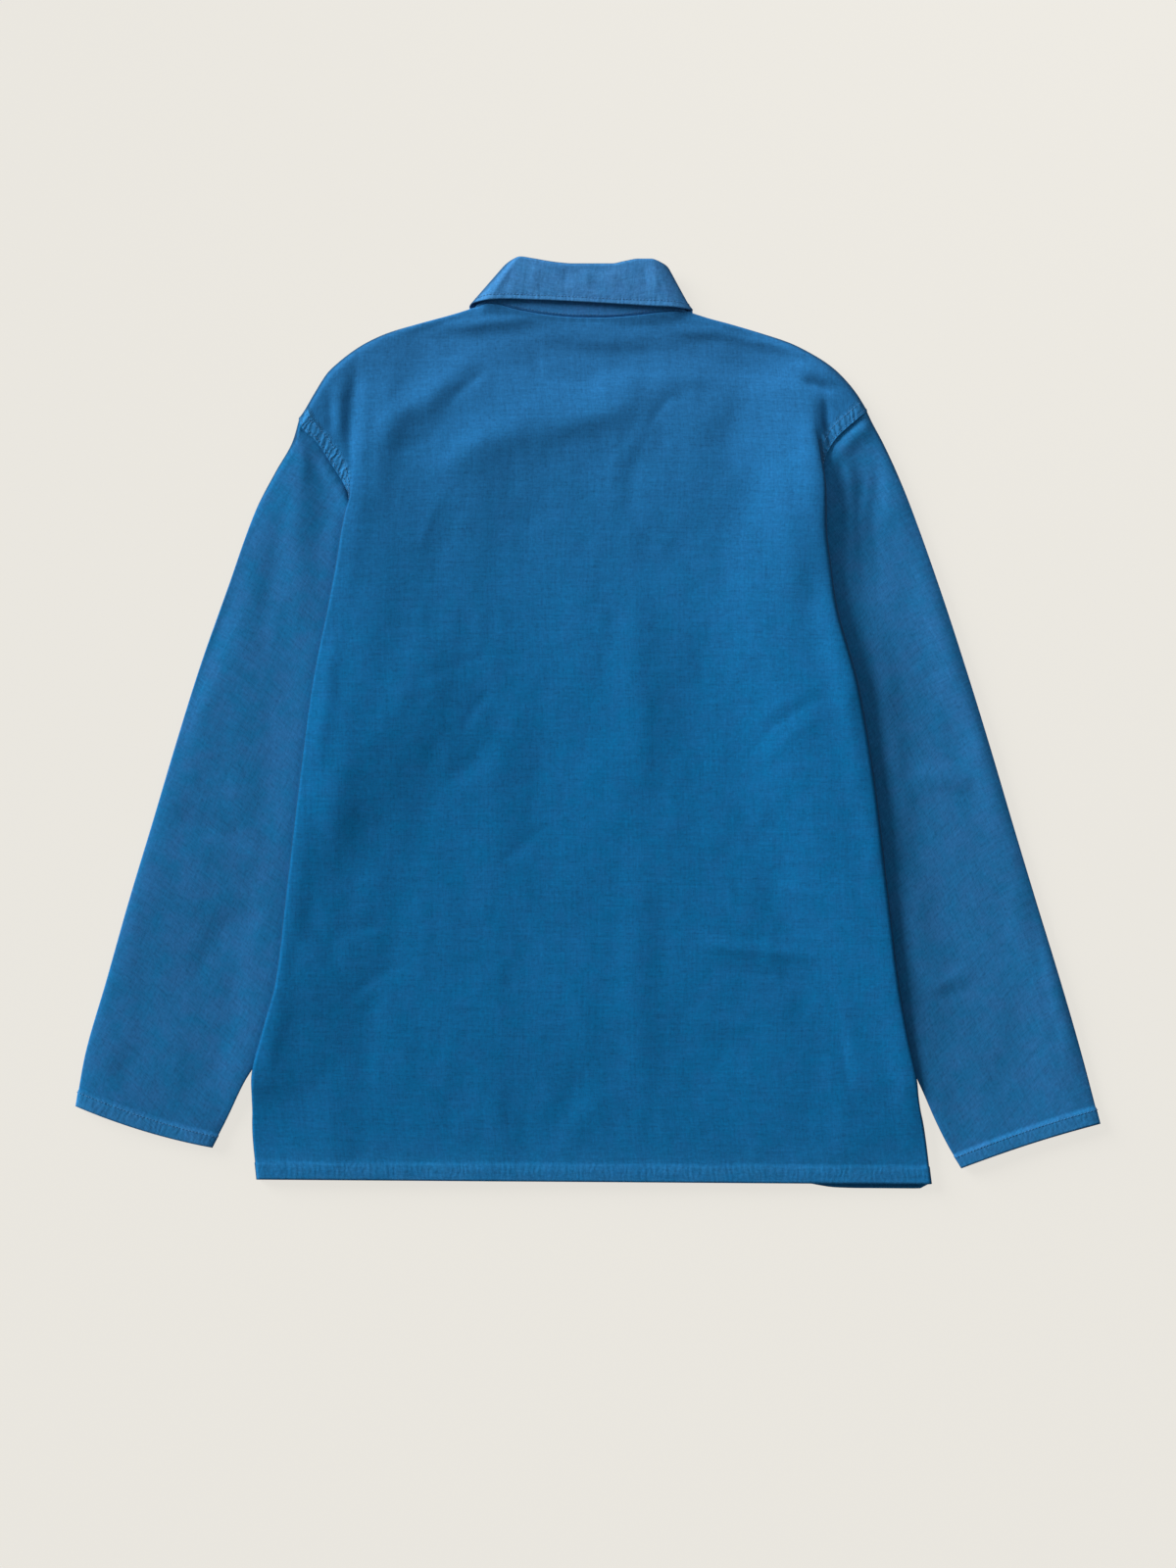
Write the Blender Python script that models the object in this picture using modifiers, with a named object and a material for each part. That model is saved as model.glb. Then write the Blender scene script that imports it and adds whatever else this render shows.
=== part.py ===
"""Chore jacket, lying flat on its front with its back up.

Every cut piece is one wall of cloth: a grid of points worked out from the tables below and
given its thickness by Solidify. Sizes are in millimetres; +X runs to the wearer's right,
+Y from hem to collar, +Z up from the surface that the jacket lies on. The body is folded
like a bellows at each side: the back turns under itself, runs in to the side seam, and the
front does the same below it, with the sleeve's inner edge lying between the two.
"""

from collections import namedtuple

import bmesh
import bpy
import numpy as np

NAME = "chore_jacket"
MM = 0.001

# ---- cloth ----
CLOTH = 1.1                 # one layer of cotton twill
HEM_CLOTH = 2.2             # the same cloth, turned at hem and cuffs
COLLAR_CLOTH = 1.2
SEAM_GAP = 0.3
SEAM_EDGES = 0.8            # between the middles of two edges that meet at an angle
SHOULDER_EDGES = 1.2
LAP = CLOTH + SEAM_GAP      # from the middle of one layer to the middle of the next
ARMHOLE_LAP = LAP + 0.15    # a sleeve's edge lies this far inside the body's
HEM_WIDTH = 14.0
HEM_STEP = 1.2              # length over which the wall thickens into a hem

# ---- heights of the layers' middles above the surface ----
FLOOR_LAYER = CLOTH / 2
POCKET_LIFT = LAP           # the fronts lie this much higher over their pockets
COLLAR_LIFT = 1.7           # and this much over the collar's fall
FRONT_LAP = 1.7             # from the left front's middle to the right one's over it
FRONT_RETURN = 3.1          # the front's tuck, on the way in to the side seam
SLEEVE_UNDER = 4.6          # the sleeve's lower layer where it lies in the side fold
SLEEVE_OVER = 8.0
BACK_RETURN = 9.5           # the back's tuck
FOLD_ROOM = 2.4             # least height between a top layer and its tuck
SHOULDER_SEAM = 4.0
SHOULDER_ROUND = 8.0        # width over which a panel turns down to the shoulder seam
NECK_SEAM_BACK = 8.5
SLEEVE_THICK = 6.0          # a sleeve outside the side fold, lower to upper layer
SLEEVE_CLEAR = 32.0         # a sleeve has come down to the surface this far outside it
SLEEVE_EASE = 30.0
SLEEVE_EDGE = 8             # how squarely a sleeve rounds off at its two edges
SIDE_ROUND = 4.0            # width of the turn at a side seam
FOLD_ROUND = 3.0            # least width of the turn at a fold's edge
FRONT_INSET = 12.0          # the front's fold lies this far inside the back's
INSET_TUCK = 30.0           # depth of tuck at which it does so in full
SAG_WIDTH = 60.0            # width over which the back sags from its folds
NECK_EASE = 20.0            # length over which it comes up to the neck seam

# ---- a panel from its side fold to its seam, by step 0..1 ----
TURN_END = 0.5              # the half turn at the fold ends here
RUN_END = 0.8               # and the run in to the seam here
LAID_WIDTH = 12.0           # a seam this far outside the fold is laid flat
TUCK_START = 1.0            # a seam this far inside it begins to be tucked under
TUCK_WIDTH = 9.0
ARMHOLE_RISE = 7.0          # the front comes up to a tucked seam over this much
ARMPIT_ROW = 1.82           # row from which both seams draw together to the armpit

CROSS_BACK_Y = 197.0        # level where the armhole seam goes under the side fold
ARMPIT_Y = 72.0
HEM_LEFT_Y = -390.0
HEM_RIGHT_Y = -394.0

# One row for each level of the body: the back's outline at the side folds, how high the
# back's top layer lies at each fold, and how high it lies in the middle.
Level = namedtuple("Level", "y fold_left fold_right ridge_left ridge_right middle")
LEVELS = (
    Level(313, -202.0, 190.0, 9.0, 9.0, 9.0),
    Level(258, -199.0, 198.0, 10.5, 11.5, 8.6),
    Level(229, -200.0, 201.0, 12.0, 14.0, 8.2),
    Level(200, -203.0, 202.5, 13.5, 16.0, 7.9),
    Level(164, -210.0, 203.0, 14.5, 17.5, 7.6),
    Level(133, -215.0, 206.5, 15.2, 18.0, 7.5),
    Level(101, -221.0, 211.0, 15.5, 18.0, 7.6),
    Level(30, -235.0, 230.0, 15.5, 18.0, 7.6),
    Level(-53, -246.0, 244.0, 15.5, 17.5, 7.6),
    Level(-137, -256.0, 254.0, 15.2, 17.0, 7.6),
    Level(-220, -266.0, 264.0, 14.5, 16.0, 7.6),
    Level(-262, -277.0, 271.0, 13.0, 14.5, 7.6),
    Level(-303, -286.5, 279.5, 12.0, 12.0, 7.6),
    Level(-322, -287.5, 283.0, 9.0, 9.5, 7.5),
    Level(-345, -287.0, 287.0, 7.2, 7.5, 7.3),
    Level(-395, -281.5, 292.5, 6.2, 6.2, 6.6),
)

# The armhole seam, shoulder to armpit, and the side seam, armpit to hem.
Place = namedtuple("Place", "y x")
ARMHOLE_LEFT = (Place(257.5, -246), Place(250, -243.5), Place(238, -231), Place(217, -217),
                Place(197, -205), Place(166, -192), Place(135, -177), Place(104, -162),
                Place(72, -149))
ARMHOLE_RIGHT = (Place(264, 237.5), Place(257.5, 230), Place(249, 220), Place(239, 210),
                 Place(226, 202.5), Place(197, 193), Place(166, 182), Place(135, 167),
                 Place(104, 152.5), Place(72, 141))
SIDE_SEAM_LEFT = (Place(72, -149), Place(30, -165), Place(-53, -186), Place(-137, -208),
                  Place(-220, -238), Place(-262, -255), Place(-303, -276.5),
                  Place(-322, -282.5), Place(-345, -285), Place(-395, -281))
SIDE_SEAM_RIGHT = (Place(72, 141), Place(30, 160), Place(-53, 184), Place(-137, 206),
                   Place(-220, 234), Place(-262, 249), Place(-303, 269.5), Place(-322, 278),
                   Place(-345, 285), Place(-395, 292))
Height = namedtuple("Height", "y z")
SIDE_SEAM_HEIGHT = (Height(72, 6.3), Height(-262, 6.3), Height(-303, 5.2),
                    Height(-345, 4.0), Height(-395, 3.4))

# The shoulders' outline from the collar to the armhole seam.
SHOULDER_LEFT = (Place(352, -97), Place(347, -112.5), Place(338.3, -144), Place(330, -171),
                 Place(321.7, -189), Place(313, -202.5), Place(305, -212.5),
                 Place(297, -221), Place(280, -232), Place(263, -242), Place(257.5, -246))
SHOULDER_RIGHT = (Place(349, 84), Place(343, 102.5), Place(338.3, 120), Place(330, 147.5),
                  Place(321.7, 172), Place(313, 189.5), Place(305, 202.5),
                  Place(297, 212.5), Place(280, 227.5), Place(264, 237.5))
RIDGE_START_Y = 313.0       # where the side folds' ridges meet the shoulders' outline

# The neck seam: the back's curve, and the fronts' down to the collar's ends.
NECK_BACK = (Place(352, -97), Place(355.3, -84), Place(349.5, -57), Place(345.5, -32),
             Place(343.7, -10), Place(343.5, 12), Place(345, 37), Place(348, 64),
             Place(349, 84))
NeckStation = namedtuple("NeckStation", "seam_x seam_y roll_x roll_y edge_x edge_y")
COLLAR_FRONT = (            # the wearer's left half, shoulder to centre front
    NeckStation(-95.5, 344, -66, 380, -101, 351.5),
    NeckStation(-84, 317, -58, 361, -97, 322),
    NeckStation(-63, 291, -44, 334, -86, 283),
    NeckStation(-36, 272, -24, 311, -68, 247),
    NeckStation(-5, 263, -4, 299, -43, 226),
)
COLLAR_MIDDLE = -3.0        # the collar's middle at the roll
COLLAR_LEAN = -3.5          # how far its middle shifts left from roll to neck seam
CollarPart = namedtuple("CollarPart", "out_x out_y out_z roll_height edge_height radius")
COLLAR_PARTS = {            # which way the fall lies from the stand, and how high it rolls
    "front": CollarPart(0, 0, -1, 3.3, COLLAR_CLOTH / 2, 1.35),
    "left side": CollarPart(-0.74, 0.67, 0, 7.0, 5.0, 2.0),
    "back": CollarPart(0, 0, 1, 10.8, 12.5, 2.2),
    "right side": CollarPart(0.74, 0.67, 0, 7.0, 5.0, 2.0),
}
FALL_REACH_X = 135.0        # the fronts lie over the fall inside these bounds
FALL_REACH_Y = 185.0
FALL_EASE = 25.0
ROLL_OUTLINE = (Place(383, -69), Place(394.5, -57), Place(391.5, -40), Place(388.5, -12),
                Place(388.5, 20), Place(392.5, 42), Place(392.5, 54), Place(383, 65))
FALL_EDGE = (Place(355, -99.5), Place(359, -77.5), Place(358, -38), Place(356, 2.5),
             Place(353, 53), Place(351.7, 77.5), Place(350.5, 87.5))

# Sleeves: outer outline, inner edge, and cuff.
SLEEVE_OUTER_LEFT = (Place(257.5, -246), Place(238, -251.7), Place(213, -265.8),
                     Place(180, -283), Place(113, -307.5), Place(47, -331), Place(-20, -352),
                     Place(-87, -372), Place(-153, -392), Place(-220, -411),
                     Place(-287, -430), Place(-327.5, -437))
SLEEVE_OUTER_RIGHT = (Place(264, 237.5), Place(255, 241.7), Place(238, 250.8),
                      Place(213, 262.5), Place(180, 276), Place(113, 300), Place(47, 321.7),
                      Place(-20, 342.5), Place(-87, 362.5), Place(-153, 382.5),
                      Place(-220, 403), Place(-287, 422.5), Place(-342.5, 437))
SLEEVE_INNER_LEFT = (Place(72, -149), Place(60, -157), Place(30, -172), Place(-53, -194),
                     Place(-137, -222), Place(-220, -251), Place(-262, -268),
                     Place(-290, -281), Place(-308, -291.7), Place(-337.5, -305.8),
                     Place(-363, -319))
SLEEVE_INNER_RIGHT = (Place(72, 141), Place(60, 150), Place(30, 168), Place(-53, 192),
                      Place(-137, 220), Place(-220, 247), Place(-262, 264), Place(-300, 277),
                      Place(-317, 284.5), Place(-340, 294.5), Place(-362.5, 305.8),
                      Place(-380.8, 317))
CUFF_BOW_LEFT = -3.5        # how far a cuff's edge bows up the sleeve
CUFF_BOW_RIGHT = 2.0
CUFF_EASE = 0.055           # share of a sleeve, at both ends, where its folds fade out
RING_EASE = 0.035           # share over which it leaves the armhole's height

# Closed front: the left front laps over the right one, and the buttons lie under both.
LEFT_EDGE_X = 20.0
RIGHT_EDGE_X = -18.0
FRONT_NECK_Y = 262.0
BUTTON_COUNT = 5
BUTTON_TOP_Y = 243.0
BUTTON_SPACING = 114.0
BUTTON_RADIUS = 8.5
BUTTON_THICK = 3.0
BUTTON_LIFT = BUTTON_THICK + SEAM_GAP
STRIP_HALF = 30.0           # half the width over which the closed front is lifted
STRIP_FADE = 26.0
STRIP_START = 20.0          # the lift begins this far above the hem
STRIP_RISE = 70.0           # and is complete after this much more

Pocket = namedtuple("Pocket", "name left right top bottom")
POCKETS = (
    Pocket("pocket_left", -190.0, -28.0, -150.0, -338.0),
    Pocket("pocket_right", 62.0, 224.0, -154.0, -342.0),
)
POCKET_MARGIN = 24.0        # the front stays lifted this far round a pocket
POCKET_EASE = 26.0          # and comes down again over this much
POCKET_CORNER = 22.0

# Folds of the cloth: each is a soft ridge (height > 0) or trough from start to end.
Fold = namedtuple("Fold", "x0 y0 x1 y1 height width")
BACK_FOLDS = (
    Fold(-162, 326, -42, 338, -2.0, 9),
    Fold(8, 330, 150, 318, -1.5, 9),
    Fold(-83, 322, -183, 238, 2.5, 12),
    Fold(-83, 309, -120, 270, -2.5, 10),
    Fold(-118, 268, -167, 234, -2.5, 10),
    Fold(-58, 263, -130, 228, 2.0, 12),
    Fold(-130, 228, -167, 163, 2.0, 12),
    Fold(17, 305, 158, 305, 2.0, 12),
    Fold(83, 280, 36, 262, -2.0, 10),
    Fold(36, 262, 12, 197, -1.2, 10),
    Fold(-226, 303, -209, 210, -2.5, 8),
    Fold(-142, 42, -92, 56, -2.5, 11),
    Fold(-83, 26, -121, -12, -2.5, 10),
    Fold(-92, -20, -121, -45, -2.0, 10),
    Fold(-29, -82, -75, -116, -1.5, 11),
    Fold(-187, -212, -225, -245, -2.0, 10),
    Fold(-246, -262, -262, -328, -2.5, 9),
    Fold(133, -28, 208, 18, -4.0, 9),
    Fold(129, -10, 200, 34, 3.0, 11),
    Fold(83, -191, 217, -224, -3.0, 11),
    Fold(75, -170, 208, -187, 2.0, 14),
    Fold(58, 147, 58, -370, -1.4, 20),
    Fold(17, 113, 21, -370, 1.8, 20),
    Fold(17, -262, -46, -345, -1.5, 11),
    Fold(33, -287, -25, -370, 2.0, 11),
    Fold(83, -274, 167, -262, -1.5, 10),
)
LEFT_SLEEVE_FOLDS = (
    Fold(-226, 240, -223, 150, -2.5, 9),
    Fold(-246, 247, -247, 113, 2.0, 10),
    Fold(-258, 180, -279, 72, -2.0, 10),
    Fold(-350, -78, -292, -95, -2.5, 11),
    Fold(-304, -162, -333, -220, -1.5, 10),
)
RIGHT_SLEEVE_FOLDS = (
    Fold(233, 245, 233, 97, -2.5, 10),
    Fold(275, -49, 333, -49, 2.0, 11),
    Fold(292, -228, 325, -212, 1.5, 10),
    Fold(375, -162, 412, -312, -1.5, 10),
)

FOLD_OVERRUN = 0.15         # share of its length that a fold runs on past each end
FOLD_FADE = 0.35            # share over which it fades there

# ---- how finely each piece is divided ----
TOP_ROWS = (0.0, 0.018, 0.06, 0.14, 0.30, 0.47, 0.64, 0.82, 1.0)
ARMHOLE_ROWS = (1.25, 1.50, 1.75, 1.91, 1.98, 2.0)
SIDE_ROW_COUNT = 18
SIDE_STEPS = (0.0, 0.125, 0.25, 0.375, 0.5, 0.8, 0.9, 1.0)
SHOULDER_COLUMNS = 5
NECK_COLUMNS = 12
SLEEVE_RINGS = 17
COLLAR_STEPS = (0.0, 0.33, 0.67, 1.0, 1.25, 1.5, 1.75, 2.0, 2.33, 2.67, 3.0)
HEM_SHARE = 0.002           # share of a sleeve over which its wall thickens into the cuff


def smooth_step(value):
    """Soft step from 0 to 1 as value goes from 0 to 1."""
    value = np.clip(value, 0.0, 1.0)
    return value * value * (3 - 2 * value)


def mix(first, second, share):
    """Straight mix of two values."""
    return first + (second - first) * share


def through(rows, column, key="y"):
    """Smooth curve through one column of a table, read by its key, with no overshoot."""
    ordered = sorted(rows, key=lambda row: getattr(row, key))
    knots = np.array([getattr(row, key) for row in ordered], float)
    values = np.array([getattr(row, column) for row in ordered], float)
    steps = np.diff(knots)
    slopes = np.diff(values) / steps
    tangents = np.zeros(len(knots))
    tangents[0] = slopes[0]
    tangents[-1] = slopes[-1]
    for index in range(1, len(knots) - 1):
        before = slopes[index - 1]
        after = slopes[index]
        if before * after > 0:
            tangents[index] = 2 * before * after / (before + after)

    def read(at):
        at = np.clip(np.asarray(at, float), knots[0], knots[-1])
        span = np.clip(np.searchsorted(knots, at, side="right") - 1, 0, len(steps) - 1)
        share = (at - knots[span]) / steps[span]
        rise = values[span + 1] - values[span]
        first = tangents[span] * steps[span]
        last = tangents[span + 1] * steps[span]
        curl = share * (first + last - 2 * rise) + 3 * rise - 2 * first - last
        return values[span] + share * (first + share * curl)

    return read


def folds_at(folds, x, y):
    """Height that the folds of a table add at points x, y."""
    total = np.zeros(np.broadcast(x, y).shape)
    for fold in folds:
        along_x = fold.x1 - fold.x0
        along_y = fold.y1 - fold.y0
        length = np.hypot(along_x, along_y)
        share = ((x - fold.x0) * along_x + (y - fold.y0) * along_y) / length**2
        aside = ((x - fold.x0) * along_y - (y - fold.y0) * along_x) / length
        ends = smooth_step((share + FOLD_OVERRUN) / FOLD_FADE)
        ends = ends * smooth_step((1 + FOLD_OVERRUN - share) / FOLD_FADE)
        total = total + fold.height * ends * np.exp(-(aside / fold.width) ** 2)
    return total


class Side:
    """One side of the body: its fold line, armhole and side seam, measured outwards."""

    def __init__(self, sign, fold, ridge, armhole, side_seam, shoulder):
        self.sign = sign
        self.fold_x = through(LEVELS, fold)
        self.ridge = through(LEVELS, ridge)
        self.armhole_x = through(armhole, "x")
        self.side_x = through(side_seam, "x")
        self.shoulder_x = through(shoulder, "x")
        self.top_y = armhole[0].y

    def seam_y(self, row):
        """Height along the armhole and side seam of a row of the panels."""
        upper = mix(self.top_y, CROSS_BACK_Y, np.minimum(row, 1.0))
        return np.where(row < 1, upper, level_y(row, self.sign))

    def seam_out(self, row):
        """Distance out to the seam at a row."""
        y = self.seam_y(row)
        return self.sign * np.where(row <= 2, self.armhole_x(y), self.side_x(y))

    def fold_y(self, row):
        """Height along the side fold of a row of the panels."""
        upper = mix(RIDGE_START_Y, CROSS_BACK_Y, np.minimum(row, 1.0))
        return np.where(row < 1, upper, level_y(row, self.sign))

    def fold_out(self, row):
        """Distance out to the middle of the cloth at the side fold."""
        return self.sign * self.fold_x(self.fold_y(row)) - CLOTH / 2


def level_y(row, sign):
    """Level of a row below the cross back: 1 at that line, 2 at the armpit, 3 at the hem."""
    hem = HEM_LEFT_Y if sign < 0 else HEM_RIGHT_Y
    upper = mix(CROSS_BACK_Y, ARMPIT_Y, np.clip(row, 1, 2) - 1)
    lower = mix(ARMPIT_Y, hem, np.clip(row, 2, 3) - 2)
    return np.where(row < 2, upper, lower)


LEFT = Side(-1, "fold_left", "ridge_left", ARMHOLE_LEFT, SIDE_SEAM_LEFT, SHOULDER_LEFT)
RIGHT = Side(1, "fold_right", "ridge_right", ARMHOLE_RIGHT, SIDE_SEAM_RIGHT,
             SHOULDER_RIGHT)
SEAM_HEIGHT = through(SIDE_SEAM_HEIGHT, "z")
MIDDLE_HEIGHT = through(LEVELS, "middle")
NECK_Y = through(NECK_BACK, "y", key="x")


def side_section(side, row, step, start, top, tuck_level, seam_height, inset):
    """Cloth from a side fold to its seam, as distance out and height.

    Three shapes are mixed by how far the seam lies inside the fold: laid on outwards,
    turned down to the seam, or folded back under and run in to the seam.
    """
    fold = side.fold_out(row) - inset
    seam = side.seam_out(row)
    tuck = fold - seam
    laid_out = mix(start, seam, step)
    laid_high = mix(top, seam_height, smooth_step(step))
    quarter = step * np.pi / 2
    turned_out = start + (fold - start) * np.sin(quarter) + (seam - fold) * step**2
    turned_high = seam_height + (top - seam_height) * np.cos(quarter)
    half_turn = np.clip(step / TURN_END, 0, 1) * np.pi
    run = np.clip((step - TURN_END) / (RUN_END - TURN_END), 0, 1)
    last_turn = np.clip((step - RUN_END) / (1 - RUN_END), 0, 1) * np.pi / 2
    inner_turn = SIDE_ROUND * np.clip(tuck / (TUCK_START + TUCK_WIDTH), 0, 1)
    folded_out = np.where(
        step <= TURN_END,
        start + (fold - start) * np.sin(half_turn),
        mix(start, seam + inner_turn, run) - inner_turn * np.sin(last_turn),
    )
    folded_high = np.where(
        step <= RUN_END,
        mix(top, tuck_level, (1 - np.cos(half_turn)) / 2),
        seam_height + (tuck_level - seam_height) * np.cos(last_turn),
    )
    laid = smooth_step(-tuck / LAID_WIDTH)
    folded = smooth_step((tuck - TUCK_START) / TUCK_WIDTH)
    turned = 1 - laid - folded
    out = laid * laid_out + turned * turned_out + folded * folded_out
    high = laid * laid_high + turned * turned_high + folded * folded_high
    return out, high, laid


def armpit_share(row):
    """0 along the armhole, rising to 1 at the armpit and along the side seam."""
    return 1 - np.sqrt(1 - np.clip((row - ARMPIT_ROW) / (2 - ARMPIT_ROW), 0, 1) ** 2)


def hem_share(row):
    """1 in the turned hem, 0 above it."""
    length = ARMPIT_Y - HEM_LEFT_Y
    return np.where(row > 3 - (HEM_WIDTH + HEM_STEP / 2) / length, 1.0, 0.0)


def shoulder_turn(distance):
    """Share of a panel's height that is left at a distance from the shoulder seam."""
    return np.sqrt(1 - (1 - np.clip(distance / SHOULDER_ROUND, 0, 1)) ** 2)


def side_plan(side, row, step, out):
    """Height along Y of a point between a side fold and its seam."""
    y = mix(side.fold_y(row), side.seam_y(row), step)
    outline_y = mix(RIDGE_START_Y, side.top_y, step)
    straight = mix(side.sign * side.shoulder_x(RIDGE_START_Y),
                   side.sign * side.shoulder_x(side.top_y), step)
    bulge = side.sign * side.shoulder_x(outline_y) - straight
    return y, out + bulge * (1 - np.minimum(row, 1.0)) ** 2


def back_station_x(share):
    """Where the top edge's columns stand: shoulder, neck, shoulder."""
    count = 2 * SHOULDER_COLUMNS + NECK_COLUMNS
    marks = (0.0, SHOULDER_COLUMNS / count, 1 - SHOULDER_COLUMNS / count, 1.0)
    places = (float(LEFT.shoulder_x(RIDGE_START_Y)), NECK_BACK[0].x, NECK_BACK[-1].x,
              float(RIGHT.shoulder_x(RIDGE_START_Y)))
    return np.interp(share, marks, places)


def back_top_y(x):
    """Upper edge of the back: both shoulders and the neck seam."""
    left = through(SHOULDER_LEFT, "y", key="x")(x)
    right = through(SHOULDER_RIGHT, "y", key="x")(x)
    return np.where(x < NECK_BACK[0].x, left, np.where(x > NECK_BACK[-1].x, right, NECK_Y(x)))


def turned_edge(x):
    """1 along the shoulders, where the panels turn down to their seam, 0 along the neck."""
    from_neck = np.minimum(x - NECK_BACK[0].x, NECK_BACK[-1].x - x)
    return 1 - smooth_step(from_neck / LAID_WIDTH)


def back_height(x, y, row, fold_left, fold_right):
    """Height of the back's top layer, which sags from its side folds to the middle."""
    middle = MIDDLE_HEIGHT(y)
    height = middle
    for side, gap in ((LEFT, x + fold_left), (RIGHT, fold_right - x)):
        tuck = np.maximum(side.fold_out(row) - side.seam_out(row), 0)
        sag = smooth_step((gap - 0.5 * tuck) / (0.5 * tuck + SAG_WIDTH))
        height = height + (side.ridge(y) - middle) * (1 - sag)
    return height


def back_point(column, row):
    """Point of the back. Column -1..0 left of the fold, 0..1 across, 1..2 right of it."""
    across = np.clip(column, 0, 1)
    starts = []
    for side in (LEFT, RIGHT):
        y = side.fold_y(row)
        top = side.ridge(y)
        tuck_level = np.minimum(BACK_RETURN, top - FOLD_ROOM)
        width = np.maximum((top - tuck_level) / 2, FOLD_ROUND)
        starts.append((side.fold_out(row) - width, top, tuck_level))
    station = back_station_x(across)
    top_y = back_top_y(station)
    low = mix(level_y(row, -1), level_y(row, 1), across)
    y = np.where(row < 1, mix(top_y, CROSS_BACK_Y, np.minimum(row, 1.0)), low)
    level_x = mix(-starts[0][0], starts[1][0], across)
    x = mix(station, level_x, smooth_step(np.minimum(row, 1.0)))
    z = back_height(x, y, row, starts[0][0], starts[1][0])
    z = z + folds_at(BACK_FOLDS, x, y)
    distance = np.minimum(row, 1.0) * (top_y - CROSS_BACK_Y)
    neck = mix(z, NECK_SEAM_BACK, smooth_step(1 - distance / NECK_EASE))
    turn = turned_edge(station)
    high = SHOULDER_SEAM + SHOULDER_EDGES / 2
    z = mix(neck, high + (z - high) * shoulder_turn(distance), turn)
    for side, beyond, (start, top, tuck_level) in (
            (LEFT, -column, starts[0]), (RIGHT, column - 1, starts[1])):
        step = np.clip(beyond, 0, 1)
        lower_seam = SEAM_HEIGHT(side.seam_y(row)) + SEAM_EDGES / 2
        seam_height = mix(BACK_RETURN, lower_seam, armpit_share(row))
        out, high_side, laid = side_section(
            side, row, step, start, top, tuck_level, seam_height, 0.0)
        side_y, out = side_plan(side, row, step, out)
        high_side = high_side + laid * folds_at(BACK_FOLDS, side.sign * out, side_y)
        reach = np.minimum(row, 1.0) * (mix(RIDGE_START_Y, side.top_y, step) - CROSS_BACK_Y)
        turned = high + (high_side - high) * shoulder_turn(reach)
        high_side = np.where(row < 1, turned, high_side)
        x = np.where(beyond > 0, side.sign * out, x)
        y = np.where(beyond > 0, side_y, y)
        z = np.where(beyond > 0, high_side, z)
    return x, y, z


def pocket_lift(x, y):
    """1 over the pockets, 0 away from them."""
    total = np.zeros(np.broadcast(x, y).shape)
    for pocket in POCKETS:
        beside = np.maximum(pocket.left - x, x - pocket.right) - POCKET_MARGIN
        above = np.maximum(pocket.bottom - y, y - pocket.top) - POCKET_MARGIN
        outside = np.maximum(np.maximum(beside, above), 0)
        total = np.maximum(total, 1 - smooth_step(outside / POCKET_EASE))
    return total


def front_height(x, y, row, is_left):
    """Height of a front: on the surface, over its pocket, the collar and the buttons."""
    low = FLOOR_LAYER + (HEM_CLOTH - CLOTH) / 2 * hem_share(row)
    collar = smooth_step((y - FALL_REACH_Y) / FALL_EASE)
    collar = collar * smooth_step((FALL_REACH_X - np.abs(x)) / FALL_EASE)
    rest = low + np.maximum(POCKET_LIFT * pocket_lift(x, y), COLLAR_LIFT * collar)
    strip = 1 - smooth_step((np.abs(x) - STRIP_HALF) / STRIP_FADE)
    strip = strip * smooth_step((y - HEM_LEFT_Y - STRIP_START) / STRIP_RISE)
    lapped = np.maximum(rest, FLOOR_LAYER + BUTTON_LIFT * strip)
    if is_left:
        return lapped
    over = 1 - smooth_step((x - STRIP_HALF) / STRIP_FADE)
    hem = smooth_step((HEM_LEFT_Y + STRIP_START + STRIP_FADE - y) / STRIP_HALF)
    lap = FRONT_LAP + (HEM_CLOTH - CLOTH) * hem
    return mix(rest, lapped + lap, over)


def front_stations(is_left):
    """Top edge of a front from its side fold to its centre edge, as x and y."""
    side = LEFT if is_left else RIGHT
    neck_x = NECK_BACK[0].x if is_left else NECK_BACK[-1].x
    start = float(side.shoulder_x(RIDGE_START_Y))
    shoulder = through(SHOULDER_LEFT if is_left else SHOULDER_RIGHT, "y", key="x")
    xs = [mix(start, neck_x, index / SHOULDER_COLUMNS)
          for index in range(SHOULDER_COLUMNS + 1)]
    ys = [float(shoulder(x)) for x in xs]
    for station in collar_front(is_left):
        xs.append(station.seam_x)
        ys.append(station.seam_y)
    xs.append(LEFT_EDGE_X if is_left else RIGHT_EDGE_X)
    ys.append(FRONT_NECK_Y)
    return np.array(xs), np.array(ys)


def collar_front(is_left):
    """The collar's front stations, turned over for the wearer's right half."""
    if is_left:
        return COLLAR_FRONT
    turned = []
    for station in COLLAR_FRONT:
        share = (station.seam_y - FRONT_NECK_Y) / (NECK_BACK[0].y - FRONT_NECK_Y)
        shift = mix(0.0, 2 * (COLLAR_MIDDLE + COLLAR_LEAN), share)
        turned.append(NeckStation(-station.seam_x + shift, station.seam_y - 1,
                                  -station.roll_x + COLLAR_MIDDLE, station.roll_y,
                                  -station.edge_x + shift, station.edge_y - 1))
    return turned


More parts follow.
